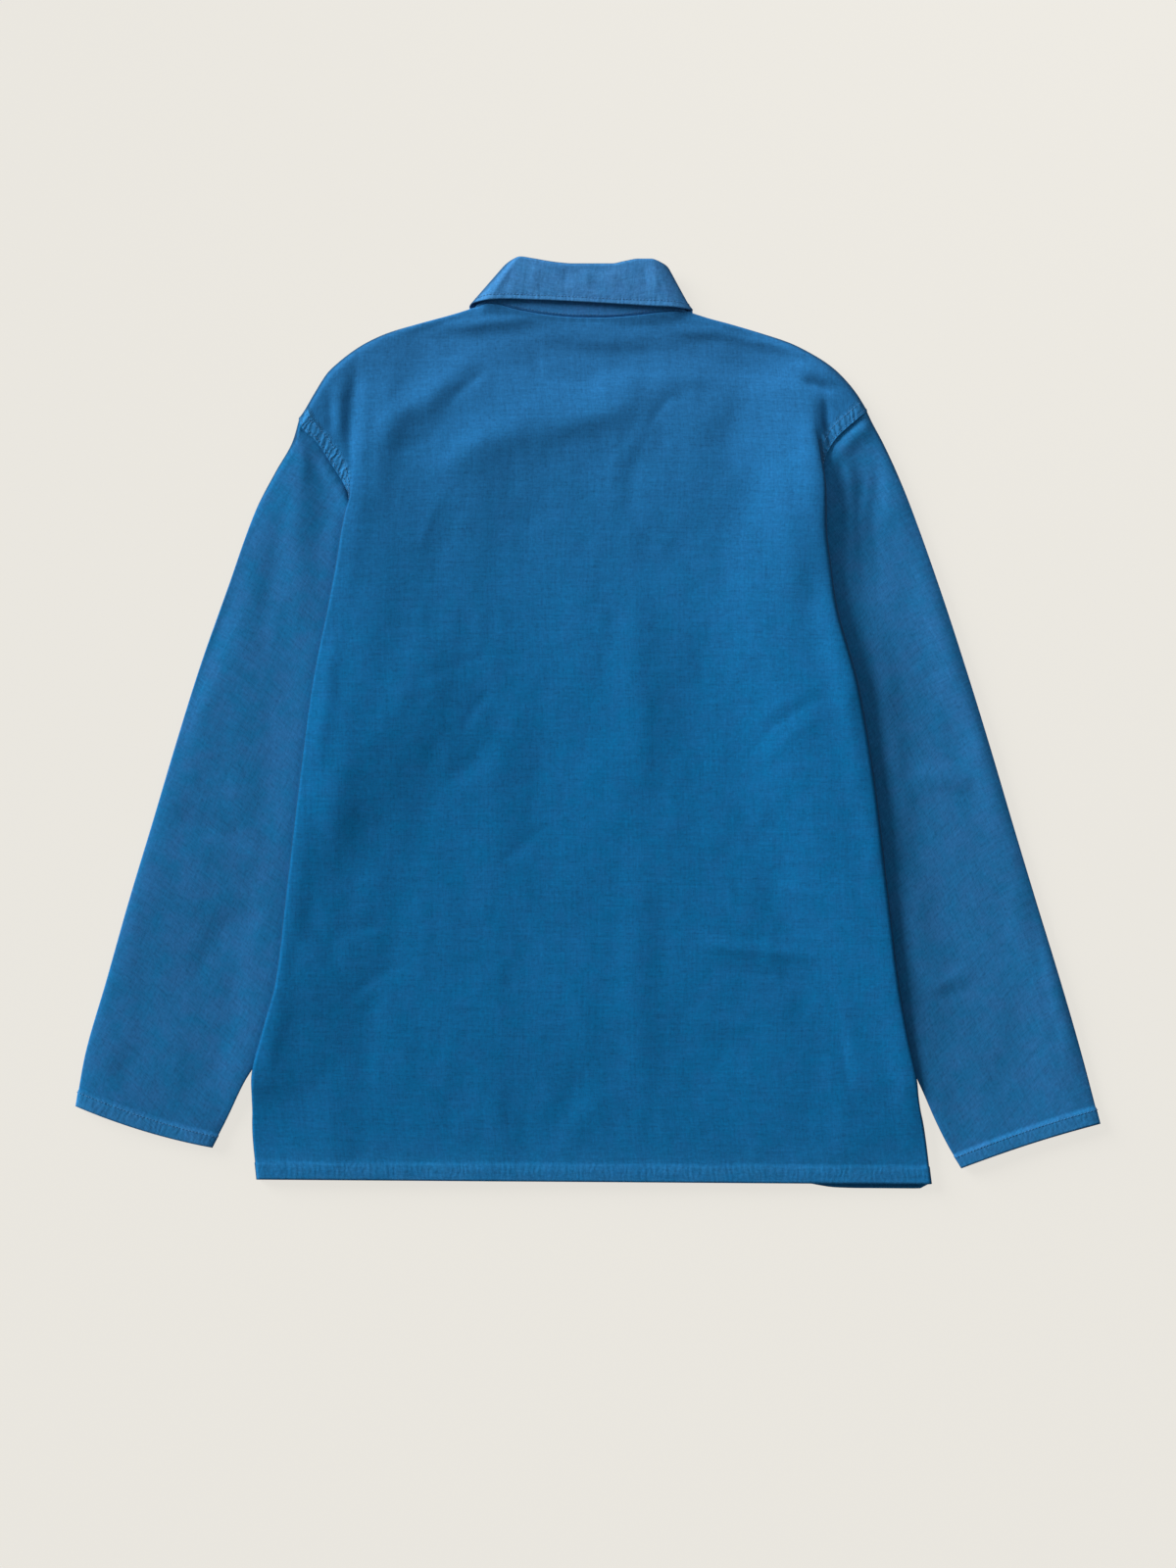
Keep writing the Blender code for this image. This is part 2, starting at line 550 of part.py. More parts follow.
def front_point(column, row, is_left):
    """Point of a front. Column -1..0 beyond its side fold, 0..1 from fold to centre edge."""
    side = LEFT if is_left else RIGHT
    across = np.clip(column, 0, 1)
    xs, ys = front_stations(is_left)
    marks = np.linspace(0, 1, len(xs))
    station_x = np.interp(across, marks, xs)
    station_y = np.interp(across, marks, ys)
    low = level_y(row, side.sign)
    tuck = np.maximum(side.fold_out(row) - side.seam_out(row), 0)
    inset = FRONT_INSET * smooth_step(tuck / INSET_TUCK)
    start = side.fold_out(row) - inset - FOLD_ROUND
    upper = np.minimum(row, 1.0)
    edge = LEFT_EDGE_X if is_left else RIGHT_EDGE_X
    level_x = mix(side.sign * start, edge, across)
    x = mix(station_x, level_x, smooth_step(upper))
    y = np.where(row < 1, mix(station_y, CROSS_BACK_Y, upper), low)
    z = front_height(x, y, row, is_left)
    distance = upper * (station_y - CROSS_BACK_Y)
    high = SHOULDER_SEAM - SHOULDER_EDGES / 2
    shoulder = turned_edge(station_x)
    z = mix(z, high + (z - high) * shoulder_turn(distance), shoulder)
    step = np.clip(-column, 0, 1)
    bottom = FLOOR_LAYER + (HEM_CLOTH - CLOTH) / 2 * hem_share(row)
    lower_seam = SEAM_HEIGHT(side.seam_y(row)) - SEAM_EDGES / 2
    inside = side.fold_out(row) - side.seam_out(row)
    rise = smooth_step((inside + ARMHOLE_RISE) / ARMHOLE_RISE)
    armhole_seam = mix(FLOOR_LAYER, FRONT_RETURN, rise)
    seam_height = mix(armhole_seam, lower_seam, armpit_share(row))
    tuck_level = np.minimum(FRONT_RETURN, lower_seam)
    out, high_side, _ = side_section(
        side, row, step, start, bottom, tuck_level, seam_height, inset)
    side_y, out = side_plan(side, row, step, out)
    reach = upper * (mix(RIDGE_START_Y, side.top_y, step) - CROSS_BACK_Y)
    turned = high + (high_side - high) * shoulder_turn(reach)
    high_side = np.where(row < 1, turned, high_side)
    x = np.where(column < 0, side.sign * out, x)
    y = np.where(column < 0, side_y, y)
    z = np.where(column < 0, high_side, z)
    return x, y, z


def inset_loop(along, high, distance):
    """Move a closed outline, given as two coordinates, inwards by a distance."""
    points = np.column_stack([along, high])
    before = points - np.roll(points, 1, axis=0)
    after = np.roll(points, -1, axis=0) - points
    normals = []
    for edge in (before, after):
        length = np.linalg.norm(edge, axis=1, keepdims=True)
        normals.append(np.column_stack([edge[:, 1], -edge[:, 0]]) / length)
    area = np.sum(points[:, 0] * np.roll(points[:, 1], -1)
                  - np.roll(points[:, 0], -1) * points[:, 1])
    turn = -1.0 if area > 0 else 1.0
    joint = 1 + np.sum(normals[0] * normals[1], axis=1, keepdims=True)
    moved = points + turn * distance * (normals[0] + normals[1]) / np.maximum(joint, 0.6)
    return moved[:, 0], moved[:, 1]


class Sleeve:
    """A flattened tube from the armhole ring to the cuff, its rings read by share v."""

    def __init__(self, side, outer, inner, bow, folds, rows):
        self.side = side
        self.outer_x = through(outer, "x")
        self.inner_x = through(inner, "x")
        self.outer_end = outer[-1]
        self.inner_end = inner[-1]
        self.bow = bow
        self.folds = folds
        self.ring = self.armhole_ring(rows)

    def armhole_ring(self, rows):
        """The body's armhole ring moved inwards by one lap: over layer, then under layer."""
        rows = np.array(rows, float)
        is_left = self.side.sign < 0
        edge_column = -1.0 if is_left else 2.0
        over = back_point(np.full(len(rows), edge_column), rows)
        under = front_point(np.full(len(rows), -1.0), rows, is_left)
        steps = np.hypot(np.diff(over[0]), np.diff(over[1]))
        along = np.concatenate([[0.0], np.cumsum(steps)])
        ends = (over[2] + under[2]) / 2
        over_z = np.concatenate([[ends[0]], over[2][1:-1], [ends[-1]]])
        loop_along = np.concatenate([along, along[-2:0:-1]])
        loop_high = np.concatenate([over_z, under[2][-2:0:-1]])
        moved_along, moved_high = inset_loop(loop_along, loop_high, ARMHOLE_LAP)
        share = np.clip(moved_along / along[-1], 0, 1)
        x = np.interp(moved_along, along, over[0])
        y = np.interp(moved_along, along, over[1])
        return share, x, y, moved_high

    def lying(self, x, y):
        """1 where the sleeve lies in the body's side fold, 0 outside it."""
        fold = self.side.sign * self.side.fold_x(y)
        return smooth_step((fold + SLEEVE_CLEAR - self.side.sign * x) / SLEEVE_EASE)

    def point(self, index, v):
        """Point at place `index` round the ring, at share v from armhole to cuff."""
        share, ring_x, ring_y, ring_z = self.ring
        half = (len(share)) // 2
        p = share[index]
        outer_y = mix(ring_y[0], self.outer_end.y, v)
        inner_y = mix(ring_y[half], self.inner_end.y, v)
        outer = (self.outer_x(outer_y) - self.side.sign * CLOTH / 2, outer_y)
        inner = (self.inner_x(inner_y), inner_y)
        flat = []
        cuff = ((1 - p) * self.outer_end.x + p * self.inner_end.x,
                (1 - p) * self.outer_end.y + p * self.inner_end.y
                + self.bow * 4 * p * (1 - p))
        ring = (ring_x[index], ring_y[index])
        tops = ((ring_x[0], ring_y[0]), (ring_x[half], ring_y[half]))
        ends = (self.outer_end, self.inner_end)
        for axis in (0, 1):
            end = (ends[0].x, ends[1].x) if axis == 0 else (ends[0].y, ends[1].y)
            across = mix(ring[axis], cuff[axis], v)
            along = mix(outer[axis], inner[axis], p)
            corners = mix(mix(tops[0][axis], tops[1][axis], p), mix(end[0], end[1], p), v)
            flat.append(across + along - corners)
        x, y = flat
        lying = self.lying(x, y)
        hem = np.where(v > self.hem_start(), 1.0, 0.0)
        under = mix(FLOOR_LAYER + (HEM_CLOTH - CLOTH) / 2 * hem, SLEEVE_UNDER, lying)
        thick = mix(SLEEVE_THICK, SLEEVE_OVER - SLEEVE_UNDER, lying)
        round_off = np.sqrt(1 - np.abs(2 * p - 1) ** SLEEVE_EDGE)
        is_over = index <= half
        relief = folds_at(self.folds, x, y) * (1 - lying) * round_off
        relief = relief * smooth_step(v / CUFF_EASE) * smooth_step((1 - v) / CUFF_EASE)
        lift = np.where(is_over, 1.0, -1.0) * thick / 2 * round_off
        z = under + thick / 2 + lift + np.where(is_over, relief, 0.0)
        z = mix(ring_z[index], z, smooth_step(v / RING_EASE))
        return x, y, z

    def hem_start(self):
        """Share along the sleeve where the turned cuff begins."""
        length = np.hypot(self.outer_end.x - self.ring[1][0],
                          self.outer_end.y - self.ring[2][0])
        return 1 - (HEM_WIDTH + HEM_STEP) / length


def grid_mesh(name, columns, rows, place, closed=False):
    """Open grid of faces whose points are set by place(column, row)."""
    mesh = bpy.data.meshes.new(name)
    bm = bmesh.new()
    bmesh.ops.create_grid(bm, x_segments=len(columns) - 1, y_segments=len(rows) - 1,
                          size=0.5)
    for index, vertex in enumerate(bm.verts):
        row, column = divmod(index, len(columns))
        vertex.co = [float(value) * MM for value in place(columns[column], rows[row])]
    if closed:
        bmesh.ops.remove_doubles(bm, verts=bm.verts, dist=1e-7)
    bm.to_mesh(mesh)
    bm.free()
    return mesh


def add_piece(name, mesh, material):
    """Object of the jacket with its material and smooth shading."""
    piece = bpy.data.objects.new(name, mesh)
    bpy.data.collections[NAME].objects.link(piece)
    mesh.materials.append(material)
    mesh.shade_smooth()
    return piece


def give_wall(piece, thickness, thin_share=None, thick_points=()):
    """Turn an open surface into cloth, thicker at the points of a turned hem."""
    wall = piece.modifiers.new("cloth", "SOLIDIFY")
    wall.thickness = thickness * MM
    wall.offset = 0.0
    if thin_share is not None:
        group = piece.vertex_groups.new(name="hem")
        group.add(list(thick_points), 1.0, "REPLACE")
        wall.vertex_group = group.name
        wall.thickness_vertex_group = thin_share


def panel_rows():
    """Rows of the body's panels: top edge, armhole, side seam and turned hem."""
    length = ARMPIT_Y - HEM_LEFT_Y
    hem_top = 3 - HEM_WIDTH / length
    hem_step = 3 - (HEM_WIDTH + HEM_STEP) / length
    side = list(np.linspace(2, hem_step, SIDE_ROW_COUNT + 1)[1:])
    return list(TOP_ROWS) + list(ARMHOLE_ROWS) + side + [hem_top, 3.0]


def armhole_rows():
    """Rows that the body and a sleeve share, from the shoulder to the armpit."""
    return list(TOP_ROWS) + list(ARMHOLE_ROWS)


def add_panel(name, columns, rows, place, material):
    """A body panel with its turned hem."""
    mesh = grid_mesh(name, columns, rows, place)
    piece = add_piece(name, mesh, material)
    width = len(columns)
    hem_points = [row * width + column for row in (len(rows) - 2, len(rows) - 1)
                  for column in range(width)]
    give_wall(piece, HEM_CLOTH, CLOTH / HEM_CLOTH, hem_points)


def add_back(material):
    """The back, from side seam to side seam."""
    beyond = list(SIDE_STEPS[1:])
    count = 2 * SHOULDER_COLUMNS + NECK_COLUMNS
    across = [index / count for index in range(count + 1)]
    columns = [-step for step in reversed(beyond)] + across + [1 + step for step in beyond]
    add_panel("back", columns, panel_rows(), back_point, material)


def add_fronts(material):
    """Both fronts, from side seam to centre edge."""
    for name, is_left in (("front_left", True), ("front_right", False)):
        count = SHOULDER_COLUMNS + len(COLLAR_FRONT) + 1
        across = [index / count for index in range(count + 1)]
        columns = [-step for step in reversed(SIDE_STEPS[1:])] + across
        add_panel(name, columns, panel_rows(),
                  lambda column, row, left=is_left: front_point(column, row, left), material)


def add_sleeves(material):
    """Both sleeves, closed rings from armhole to cuff."""
    rows = armhole_rows()
    sleeves = (
        ("sleeve_left", Sleeve(LEFT, SLEEVE_OUTER_LEFT, SLEEVE_INNER_LEFT, CUFF_BOW_LEFT,
                               LEFT_SLEEVE_FOLDS, rows)),
        ("sleeve_right", Sleeve(RIGHT, SLEEVE_OUTER_RIGHT, SLEEVE_INNER_RIGHT,
                                CUFF_BOW_RIGHT, RIGHT_SLEEVE_FOLDS, rows)),
    )
    for name, sleeve in sleeves:
        around = len(sleeve.ring[0])
        columns = list(range(around)) + [0]
        hem_top = sleeve.hem_start()
        body = [0.0, 0.04] + list(np.linspace(0.04, hem_top, SLEEVE_RINGS - 2)[1:])
        rings = body + [hem_top + HEM_SHARE, 1.0]
        mesh = grid_mesh(name, columns, rings, sleeve.point, closed=True)
        piece = add_piece(name, mesh, material)
        last = max(vertex.index for vertex in mesh.vertices)
        cuff_points = range(last + 1 - 2 * around, last + 1)
        give_wall(piece, HEM_CLOTH, CLOTH / HEM_CLOTH, cuff_points)


class Collar:
    """The collar round the neck: stand up from the seam, roll, and fall to its edge."""

    def __init__(self):
        self.plans = self.stations()
        self.ring = self.neck_ring()

    @staticmethod
    def stations():
        """Stations round the neck: seam, roll and fall edge, left front to right front."""
        edge_y = through(FALL_EDGE, "y", key="x")
        roll_y = through(ROLL_OUTLINE, "y", key="x")
        plans = list(reversed(COLLAR_FRONT))
        for index in range(NECK_COLUMNS + 1):
            share = index / NECK_COLUMNS
            seam_x = mix(NECK_BACK[0].x, NECK_BACK[-1].x, share)
            roll_x = mix(ROLL_OUTLINE[0].x, ROLL_OUTLINE[-1].x, share)
            edge_x = mix(FALL_EDGE[0].x, FALL_EDGE[-1].x, share)
            plans.append(NeckStation(seam_x, float(NECK_Y(seam_x)), roll_x,
                                     float(roll_y(roll_x)), edge_x, float(edge_y(edge_x))))
        return plans + collar_front(False)

    @staticmethod
    def neck_ring():
        """Neck edge of the body beside each station."""
        back_count = 2 * SHOULDER_COLUMNS + NECK_COLUMNS
        front_count = SHOULDER_COLUMNS + len(COLLAR_FRONT) + 1
        ring = []
        for index in range(len(COLLAR_FRONT), 0, -1):
            ring.append(front_point((SHOULDER_COLUMNS + index) / front_count, 0.0, True))
        for index in range(NECK_COLUMNS + 1):
            ring.append(back_point((SHOULDER_COLUMNS + index) / back_count, 0.0))
        for index in range(1, len(COLLAR_FRONT) + 1):
            ring.append(front_point((SHOULDER_COLUMNS + index) / front_count, 0.0, False))
        return [np.array([float(value) for value in point]) for point in ring]

    @staticmethod
    def part_of(station):
        """Which row of COLLAR_PARTS a station belongs to."""
        first = len(COLLAR_FRONT)
        last = first + NECK_COLUMNS
        if station == first:
            return COLLAR_PARTS["left side"]
        if station == last:
            return COLLAR_PARTS["right side"]
        return COLLAR_PARTS["back" if first < station < last else "front"]

    def point(self, station, step):
        """Point of the collar: stand 0..1, roll 1..2, fall 2..3."""
        plan = self.plans[station]
        part = self.part_of(station)
        normal = np.array([part.out_x, part.out_y, part.out_z])
        base = self.ring[station] - normal * (CLOTH / 2 + SEAM_GAP + COLLAR_CLOTH / 2)
        roll = np.array([plan.roll_x, plan.roll_y, part.roll_height])
        up = roll - base
        up = up / np.linalg.norm(up)
        stand_end = roll - up * part.radius
        if step <= 1:
            return mix(base, stand_end, step)
        if step <= 2:
            angle = (step - 1) * np.pi
            aside = normal * part.radius * (1 - np.cos(angle))
            return stand_end + aside + up * part.radius * np.sin(angle)
        edge = np.array([plan.edge_x, plan.edge_y, part.edge_height])
        return mix(stand_end + normal * 2 * part.radius, edge, step - 2)


def add_collar(material):
    """The collar, one wall round the neck."""
    columns = list(range(2 * len(COLLAR_FRONT) + NECK_COLUMNS + 1))
    mesh = grid_mesh("collar", columns, COLLAR_STEPS, Collar().point)
    piece = add_piece("collar", mesh, material)
    give_wall(piece, COLLAR_CLOTH)


def add_pockets(material):
    """Patch pockets, flat under the fronts, with cut lower corners."""
    shares = [index / 6 for index in range(7)]
    for pocket in POCKETS:
        def place(column, row, patch=pocket):
            """Point of the patch, its lower corners drawn in."""
            x = mix(patch.left, patch.right, column)
            y = mix(patch.top, patch.bottom, row)
            draw = abs(2 * column - 1) ** 6 * smooth_step((row - 0.8) / 0.2)
            return x, y + POCKET_CORNER * draw, CLOTH / 2
        mesh = grid_mesh(pocket.name, shares, shares, place)
        give_wall(add_piece(pocket.name, mesh, material), CLOTH)


def add_buttons(material):
    """The row of buttons under the closed front."""
    for index in range(BUTTON_COUNT):
        name = f"button_{index + 1}"
        mesh = bpy.data.meshes.new(name)
        bm = bmesh.new()
        bmesh.ops.create_cone(bm, cap_ends=True, segments=20, radius1=BUTTON_RADIUS * MM,
                              radius2=BUTTON_RADIUS * MM, depth=BUTTON_THICK * MM)
        bm.to_mesh(mesh)
        bm.free()
        piece = add_piece(name, mesh, material)
        y = BUTTON_TOP_Y - index * BUTTON_SPACING
        piece.location = (0.0, y * MM, BUTTON_THICK / 2 * MM)
        edge = piece.modifiers.new("edge", "BEVEL")
        edge.width = 0.6 * MM
        edge.segments = 1


def make_material(name, colour, roughness):
    """A plain Principled material."""
    material = bpy.data.materials.new(name)
    material.use_nodes = True
    shader = material.node_tree.nodes["Principled BSDF"]
    shader.inputs["Base Color"].default_value = (*colour, 1.0)
    shader.inputs["Roughness"].default_value = roughness
    return material


def main():
    """Build the jacket."""
    for old in list(bpy.data.objects):
        bpy.data.objects.remove(old, do_unlink=True)
    bpy.context.scene.collection.children.link(bpy.data.collections.new(NAME))
    twill = make_material("blue_twill", (0.013, 0.107, 0.258), 0.9)
    resin = make_material("navy_resin", (0.010, 0.022, 0.050), 0.4)
    add_back(twill)
    add_fronts(twill)
    add_sleeves(twill)
    add_collar(twill)
    add_pockets(twill)
    add_buttons(resin)


main()
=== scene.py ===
"""Looks of a cotton chore jacket that lies flat on its front with its back up.

Each cut piece is rebuilt as a fine sheet of twill on the form of its own solid, with the
creases, seam puckers and turned hems of worn cloth, and replaces that solid. Sizes in the
tables are millimetres: +X runs to the wearer's right, +Y from hem to collar and +Z up from
the floor. Meshes are made in metres.
"""

from __future__ import annotations

import logging
from collections.abc import Callable, Mapping, Sequence
from dataclasses import dataclass, field
from enum import Enum
from typing import NamedTuple, Protocol, TypeVar

import bpy
import numpy as np
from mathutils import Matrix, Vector

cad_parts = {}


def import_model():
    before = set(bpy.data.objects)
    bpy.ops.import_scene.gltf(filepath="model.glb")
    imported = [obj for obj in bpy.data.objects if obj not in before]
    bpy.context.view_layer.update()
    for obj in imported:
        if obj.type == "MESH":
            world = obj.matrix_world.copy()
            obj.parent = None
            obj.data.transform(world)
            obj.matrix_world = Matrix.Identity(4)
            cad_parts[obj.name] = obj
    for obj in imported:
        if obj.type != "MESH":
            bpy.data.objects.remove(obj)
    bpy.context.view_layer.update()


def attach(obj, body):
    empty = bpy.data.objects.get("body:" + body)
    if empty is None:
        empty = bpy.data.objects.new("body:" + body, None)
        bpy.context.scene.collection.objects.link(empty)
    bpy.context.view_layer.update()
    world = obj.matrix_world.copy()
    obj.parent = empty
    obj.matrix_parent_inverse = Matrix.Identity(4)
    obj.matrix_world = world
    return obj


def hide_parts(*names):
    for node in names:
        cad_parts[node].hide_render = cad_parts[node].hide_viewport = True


LOG = logging.getLogger("chore_jacket")
MM = 0.001
FLOOR_NAME = "floor"

Array = np.ndarray
Place = tuple[Array, Array, Array]
Colour = tuple[float, float, float]
Sockets = Mapping[str, bpy.types.NodeSocket]
Scales = tuple[float, float, float]
Point3 = tuple[float, float, float]
PointAt = Callable[[Array, Array], Place]
Row = TypeVar("Row")


# --------------------------------------------------------------- rows of the tables ----
class Level(NamedTuple):
    """A level of the body: outline at both side folds and heights of the back's top layer."""

    y: float
    fold_left: float
    fold_right: float
    ridge_left: float
    ridge_right: float
    middle: float


class Spot(NamedTuple):
    """A point of an outline."""

    y: float
    x: float


class Height(NamedTuple):
    """Height of a seam at a level."""

    y: float
    z: float


class NeckStation(NamedTuple):
    """A place round the neck: seam, roll and fall edge."""

    seam_x: float
    seam_y: float
    roll_x: float
    roll_y: float
    edge_x: float
    edge_y: float


class CollarPart(NamedTuple):
    """Which way the fall lies from the stand, and how high it rolls."""

    out_x: float
    out_y: float
    out_z: float
    roll_height: float
    edge_height: float
    radius: float


class Patch(NamedTuple):
    """Outline of a patch pocket."""

    name: str
    left: float
    right: float
    top: float
    bottom: float


class Fold(NamedTuple):
    """A straight soft ridge, or trough where its height is below 0."""

    x0: float
    y0: float
    x1: float
    y1: float
    height: float
    width: float


class Crease(NamedTuple):
    """A curved crease, or trough below 0: a Bezier, and how far one flank is wider."""

    x0: float
    y0: float
    xm: float
    ym: float
    x1: float
    y1: float
    height: float
    width: float
    lean: float = 0.0


class Wave(NamedTuple):
    """Soft unevenness of cloth: its height, size and seed, and how it is drawn out."""

    height: float
    size: float
    seed: int
    squeeze: float = 1.0
    slant: float = 0.0


class Pucker(NamedTuple):
    """Small waves along a seam: the distance between them, their height and seed."""

    pitch: float
    height: float
    seed: int


def rows_of(kind: type[Row], *rows: tuple[float, ...]) -> tuple[Row, ...]:
    """A table: each of the rows as one of a kind."""
    return tuple(kind(*row) for row in rows)


# ----------------------------- cloth and the heights of its layers, as in the solids ----
CLOTH = 1.1                 # thickness of one layer of the body's cloth
HEM_CLOTH = 2.2             # of a turned hem
COLLAR_CLOTH = 1.2          # and of the collar
SEAM_GAP = 0.3              # between pieces that are sewn to each other
SEAM_EDGES = 0.8            # height between the two cloths at a side seam
SHOULDER_EDGES = 1.2        # and at a shoulder seam
LAP = CLOTH + SEAM_GAP
ARMHOLE_LAP = LAP + 0.15    # how far inside the body's armhole the sleeve's ring lies
HEM_WIDTH = 14.0
HEM_STEP = 1.2              # over which the wall thickens to the hem's
HEM_ROW = HEM_WIDTH - 1.5   # where its stitches run
FLOOR_LAYER = CLOTH / 2     # middle of the cloth that lies on the floor
POCKET_LIFT = LAP
COLLAR_LIFT = 1.7           # how far the collar's fall lifts the fronts
FRONT_LAP = 1.7             # how far the right front lifts the left one's lap
FRONT_RETURN = 3.1          # height of the fronts' tucked layer
SLEEVE_UNDER = 4.6          # heights of a sleeve's two layers in the body's side fold
SLEEVE_OVER = 8.0
BACK_RETURN = 9.5           # height of the back's tucked layer
FOLD_ROOM = 2.4             # least height inside the back's side fold
SHOULDER_SEAM = 4.0         # height of the shoulder seams
SHOULDER_ROUND = 8.0        # distance over which the panels turn down to them
NECK_SEAM_BACK = 8.5        # height of the neck seam on the back
SLEEVE_THICK = 6.0          # between a sleeve's layers where it lies on the floor
SLEEVE_CLEAR = 32.0         # a sleeve has left the side fold this far outside it
SLEEVE_EASE = 30.0          # distance over which it comes down
SLEEVE_EDGE = 8             # how squarely its edges are rounded, a power
SIDE_ROUND = 4.0            # radius of a panel's turn at its side seam
FOLD_ROUND = 3.0            # least radius of a side fold
FRONT_INSET = 12.0          # how far inside the back's side fold a front's own fold lies
INSET_TUCK = 30.0           # width of the tuck at which it lies so far inside
SAG_WIDTH = 60.0            # distance over which the top layer sags from its side folds
NECK_EASE = 12.0            # distance over which the back comes to the neck seam's height
TURN_END = 0.5              # step at which a side fold's turn ends
RUN_END = 0.8               # step at which the tucked layer turns to its seam
LAID_WIDTH = 12.0           # how far out a seam lies where its cloth is wholly laid outwards
TUCK_START = 1.0            # width of a tuck from which the cloth is folded under
TUCK_WIDTH = 9.0            # and over which the fold becomes full
ARMHOLE_RISE = 7.0          # distance over which a front's armhole seam rises off the floor
ARMPIT_ROW = 1.82           # row from which the armhole seam nears the side seam's height

CROSS_BACK_Y = 197.0        # level where the armhole seam goes under the side fold
ARMPIT_Y = 72.0
HEM_LEFT_Y = -390.0
HEM_RIGHT_Y = -394.0

# One row for each level of the body: the back's outline at the side folds, how high the
# back's top layer lies at each fold, and how high it lies in the middle.
LEVELS = rows_of(
    Level,
    (313, -202.0, 190.0, 9.0, 9.0, 9.0),
    (258, -199.0, 198.0, 10.5, 11.5, 8.6),
    (229, -200.0, 201.0, 12.0, 14.0, 8.2),
    (200, -203.0, 202.5, 13.5, 16.0, 7.9),
    (164, -210.0, 203.0, 14.5, 17.5, 7.6),
    (133, -215.0, 206.5, 15.2, 18.0, 7.5),
    (101, -221.0, 211.0, 15.5, 18.0, 7.6),
    (30, -235.0, 230.0, 15.5, 18.0, 7.6),
    (-53, -246.0, 244.0, 15.5, 17.5, 7.6),
    (-137, -256.0, 254.0, 15.2, 17.0, 7.6),
    (-220, -266.0, 264.0, 14.5, 16.0, 7.6),
    (-262, -277.0, 271.0, 13.0, 14.5, 7.6),
    (-303, -286.5, 279.5, 12.0, 12.0, 7.6),
    (-322, -287.5, 283.0, 9.0, 9.5, 7.5),
    (-345, -287.0, 287.0, 7.2, 7.5, 7.3),
    (-395, -281.5, 292.5, 6.2, 6.2, 6.6),
)

# The armhole seam, shoulder to armpit, and the side seam, armpit to hem.
ARMHOLE_LEFT = rows_of(
    Spot, (257.5, -246), (250, -243.5), (238, -231), (217, -217), (197, -205), (166, -192),
    (135, -177), (104, -162), (72, -149),
)
ARMHOLE_RIGHT = rows_of(
    Spot, (264, 237.5), (257.5, 230), (249, 220), (239, 210), (226, 202.5), (197, 193),
    (166, 182), (135, 167), (104, 152.5), (72, 141),
)
SIDE_SEAM_LEFT = rows_of(
    Spot, (72, -149), (30, -165), (-53, -186), (-137, -208), (-220, -238), (-262, -255),
    (-303, -276.5), (-322, -282.5), (-345, -285), (-395, -281),
)
SIDE_SEAM_RIGHT = rows_of(
    Spot, (72, 141), (30, 160), (-53, 184), (-137, 206), (-220, 234), (-262, 249),
    (-303, 269.5), (-322, 278), (-345, 285), (-395, 292),
)

SIDE_SEAM_HEIGHT = rows_of(
    Height, (72, 6.3), (-262, 6.3), (-303, 5.2), (-345, 4.0), (-395, 3.4),
)

# The shoulders' outline from the collar to the armhole seam.
SHOULDER_LEFT = rows_of(
    Spot, (352, -97), (347, -112.5), (338.3, -144), (330, -171), (321.7, -189), (313, -202.5),
    (305, -212.5), (297, -221), (280, -232), (263, -242), (257.5, -246),
)
SHOULDER_RIGHT = rows_of(
    Spot, (349, 84), (343, 102.5), (338.3, 120), (330, 147.5), (321.7, 172), (313, 189.5),
    (305, 202.5), (297, 212.5), (280, 227.5), (264, 237.5),
)
RIDGE_START_Y = 313.0       # where the side folds' ridges meet the shoulders' outline

# The neck seam: the back's curve, and the fronts' down to the collar's ends.
NECK_BACK = rows_of(
    Spot, (352, -97), (355.3, -84), (349.5, -57), (345.5, -32), (343.7, -10), (343.5, 12),
    (345, 37), (348, 64), (349, 84),
)

# The wearer's left half, shoulder to centre front.
COLLAR_FRONT = rows_of(
    NeckStation,
    (-95.5, 344, -66, 380, -101, 351.5),
    (-84, 317, -58, 361, -97, 322),
    (-63, 291, -44, 334, -86, 283),
    (-36, 272, -24, 311, -68, 247),
    (-5, 263, -4, 299, -43, 226),
)
COLLAR_MIDDLE = -3.0        # the collar's middle at the roll
COLLAR_LEAN = -3.5          # how far its middle shifts left from roll to neck seam

COLLAR_PARTS = {            # which way the fall lies from the stand, and how high it rolls
    "front": CollarPart(0, 0, -1, 3.3, COLLAR_CLOTH / 2, 1.35),
    "left side": CollarPart(-0.74, 0.67, 0, 7.0, 5.0, 2.0),
    "back": CollarPart(0, 0, 1, 10.8, 12.5, 2.2),
    "right side": CollarPart(0.74, 0.67, 0, 7.0, 5.0, 2.0),
}
FALL_REACH_X = 135.0        # the fronts lie over the fall inside these bounds
FALL_REACH_Y = 185.0
FALL_EASE = 25.0
ROLL_OUTLINE = rows_of(
    Spot, (383, -69), (394.5, -57), (391.5, -40), (388.5, -12), (388.5, 20), (392.5, 42),
    (392.5, 54), (383, 65),
)
FALL_EDGE = rows_of(
    Spot, (355, -99.5), (359, -77.5), (358, -38), (356, 2.5), (353, 53), (351.7, 77.5),
    (350.5, 87.5),
)

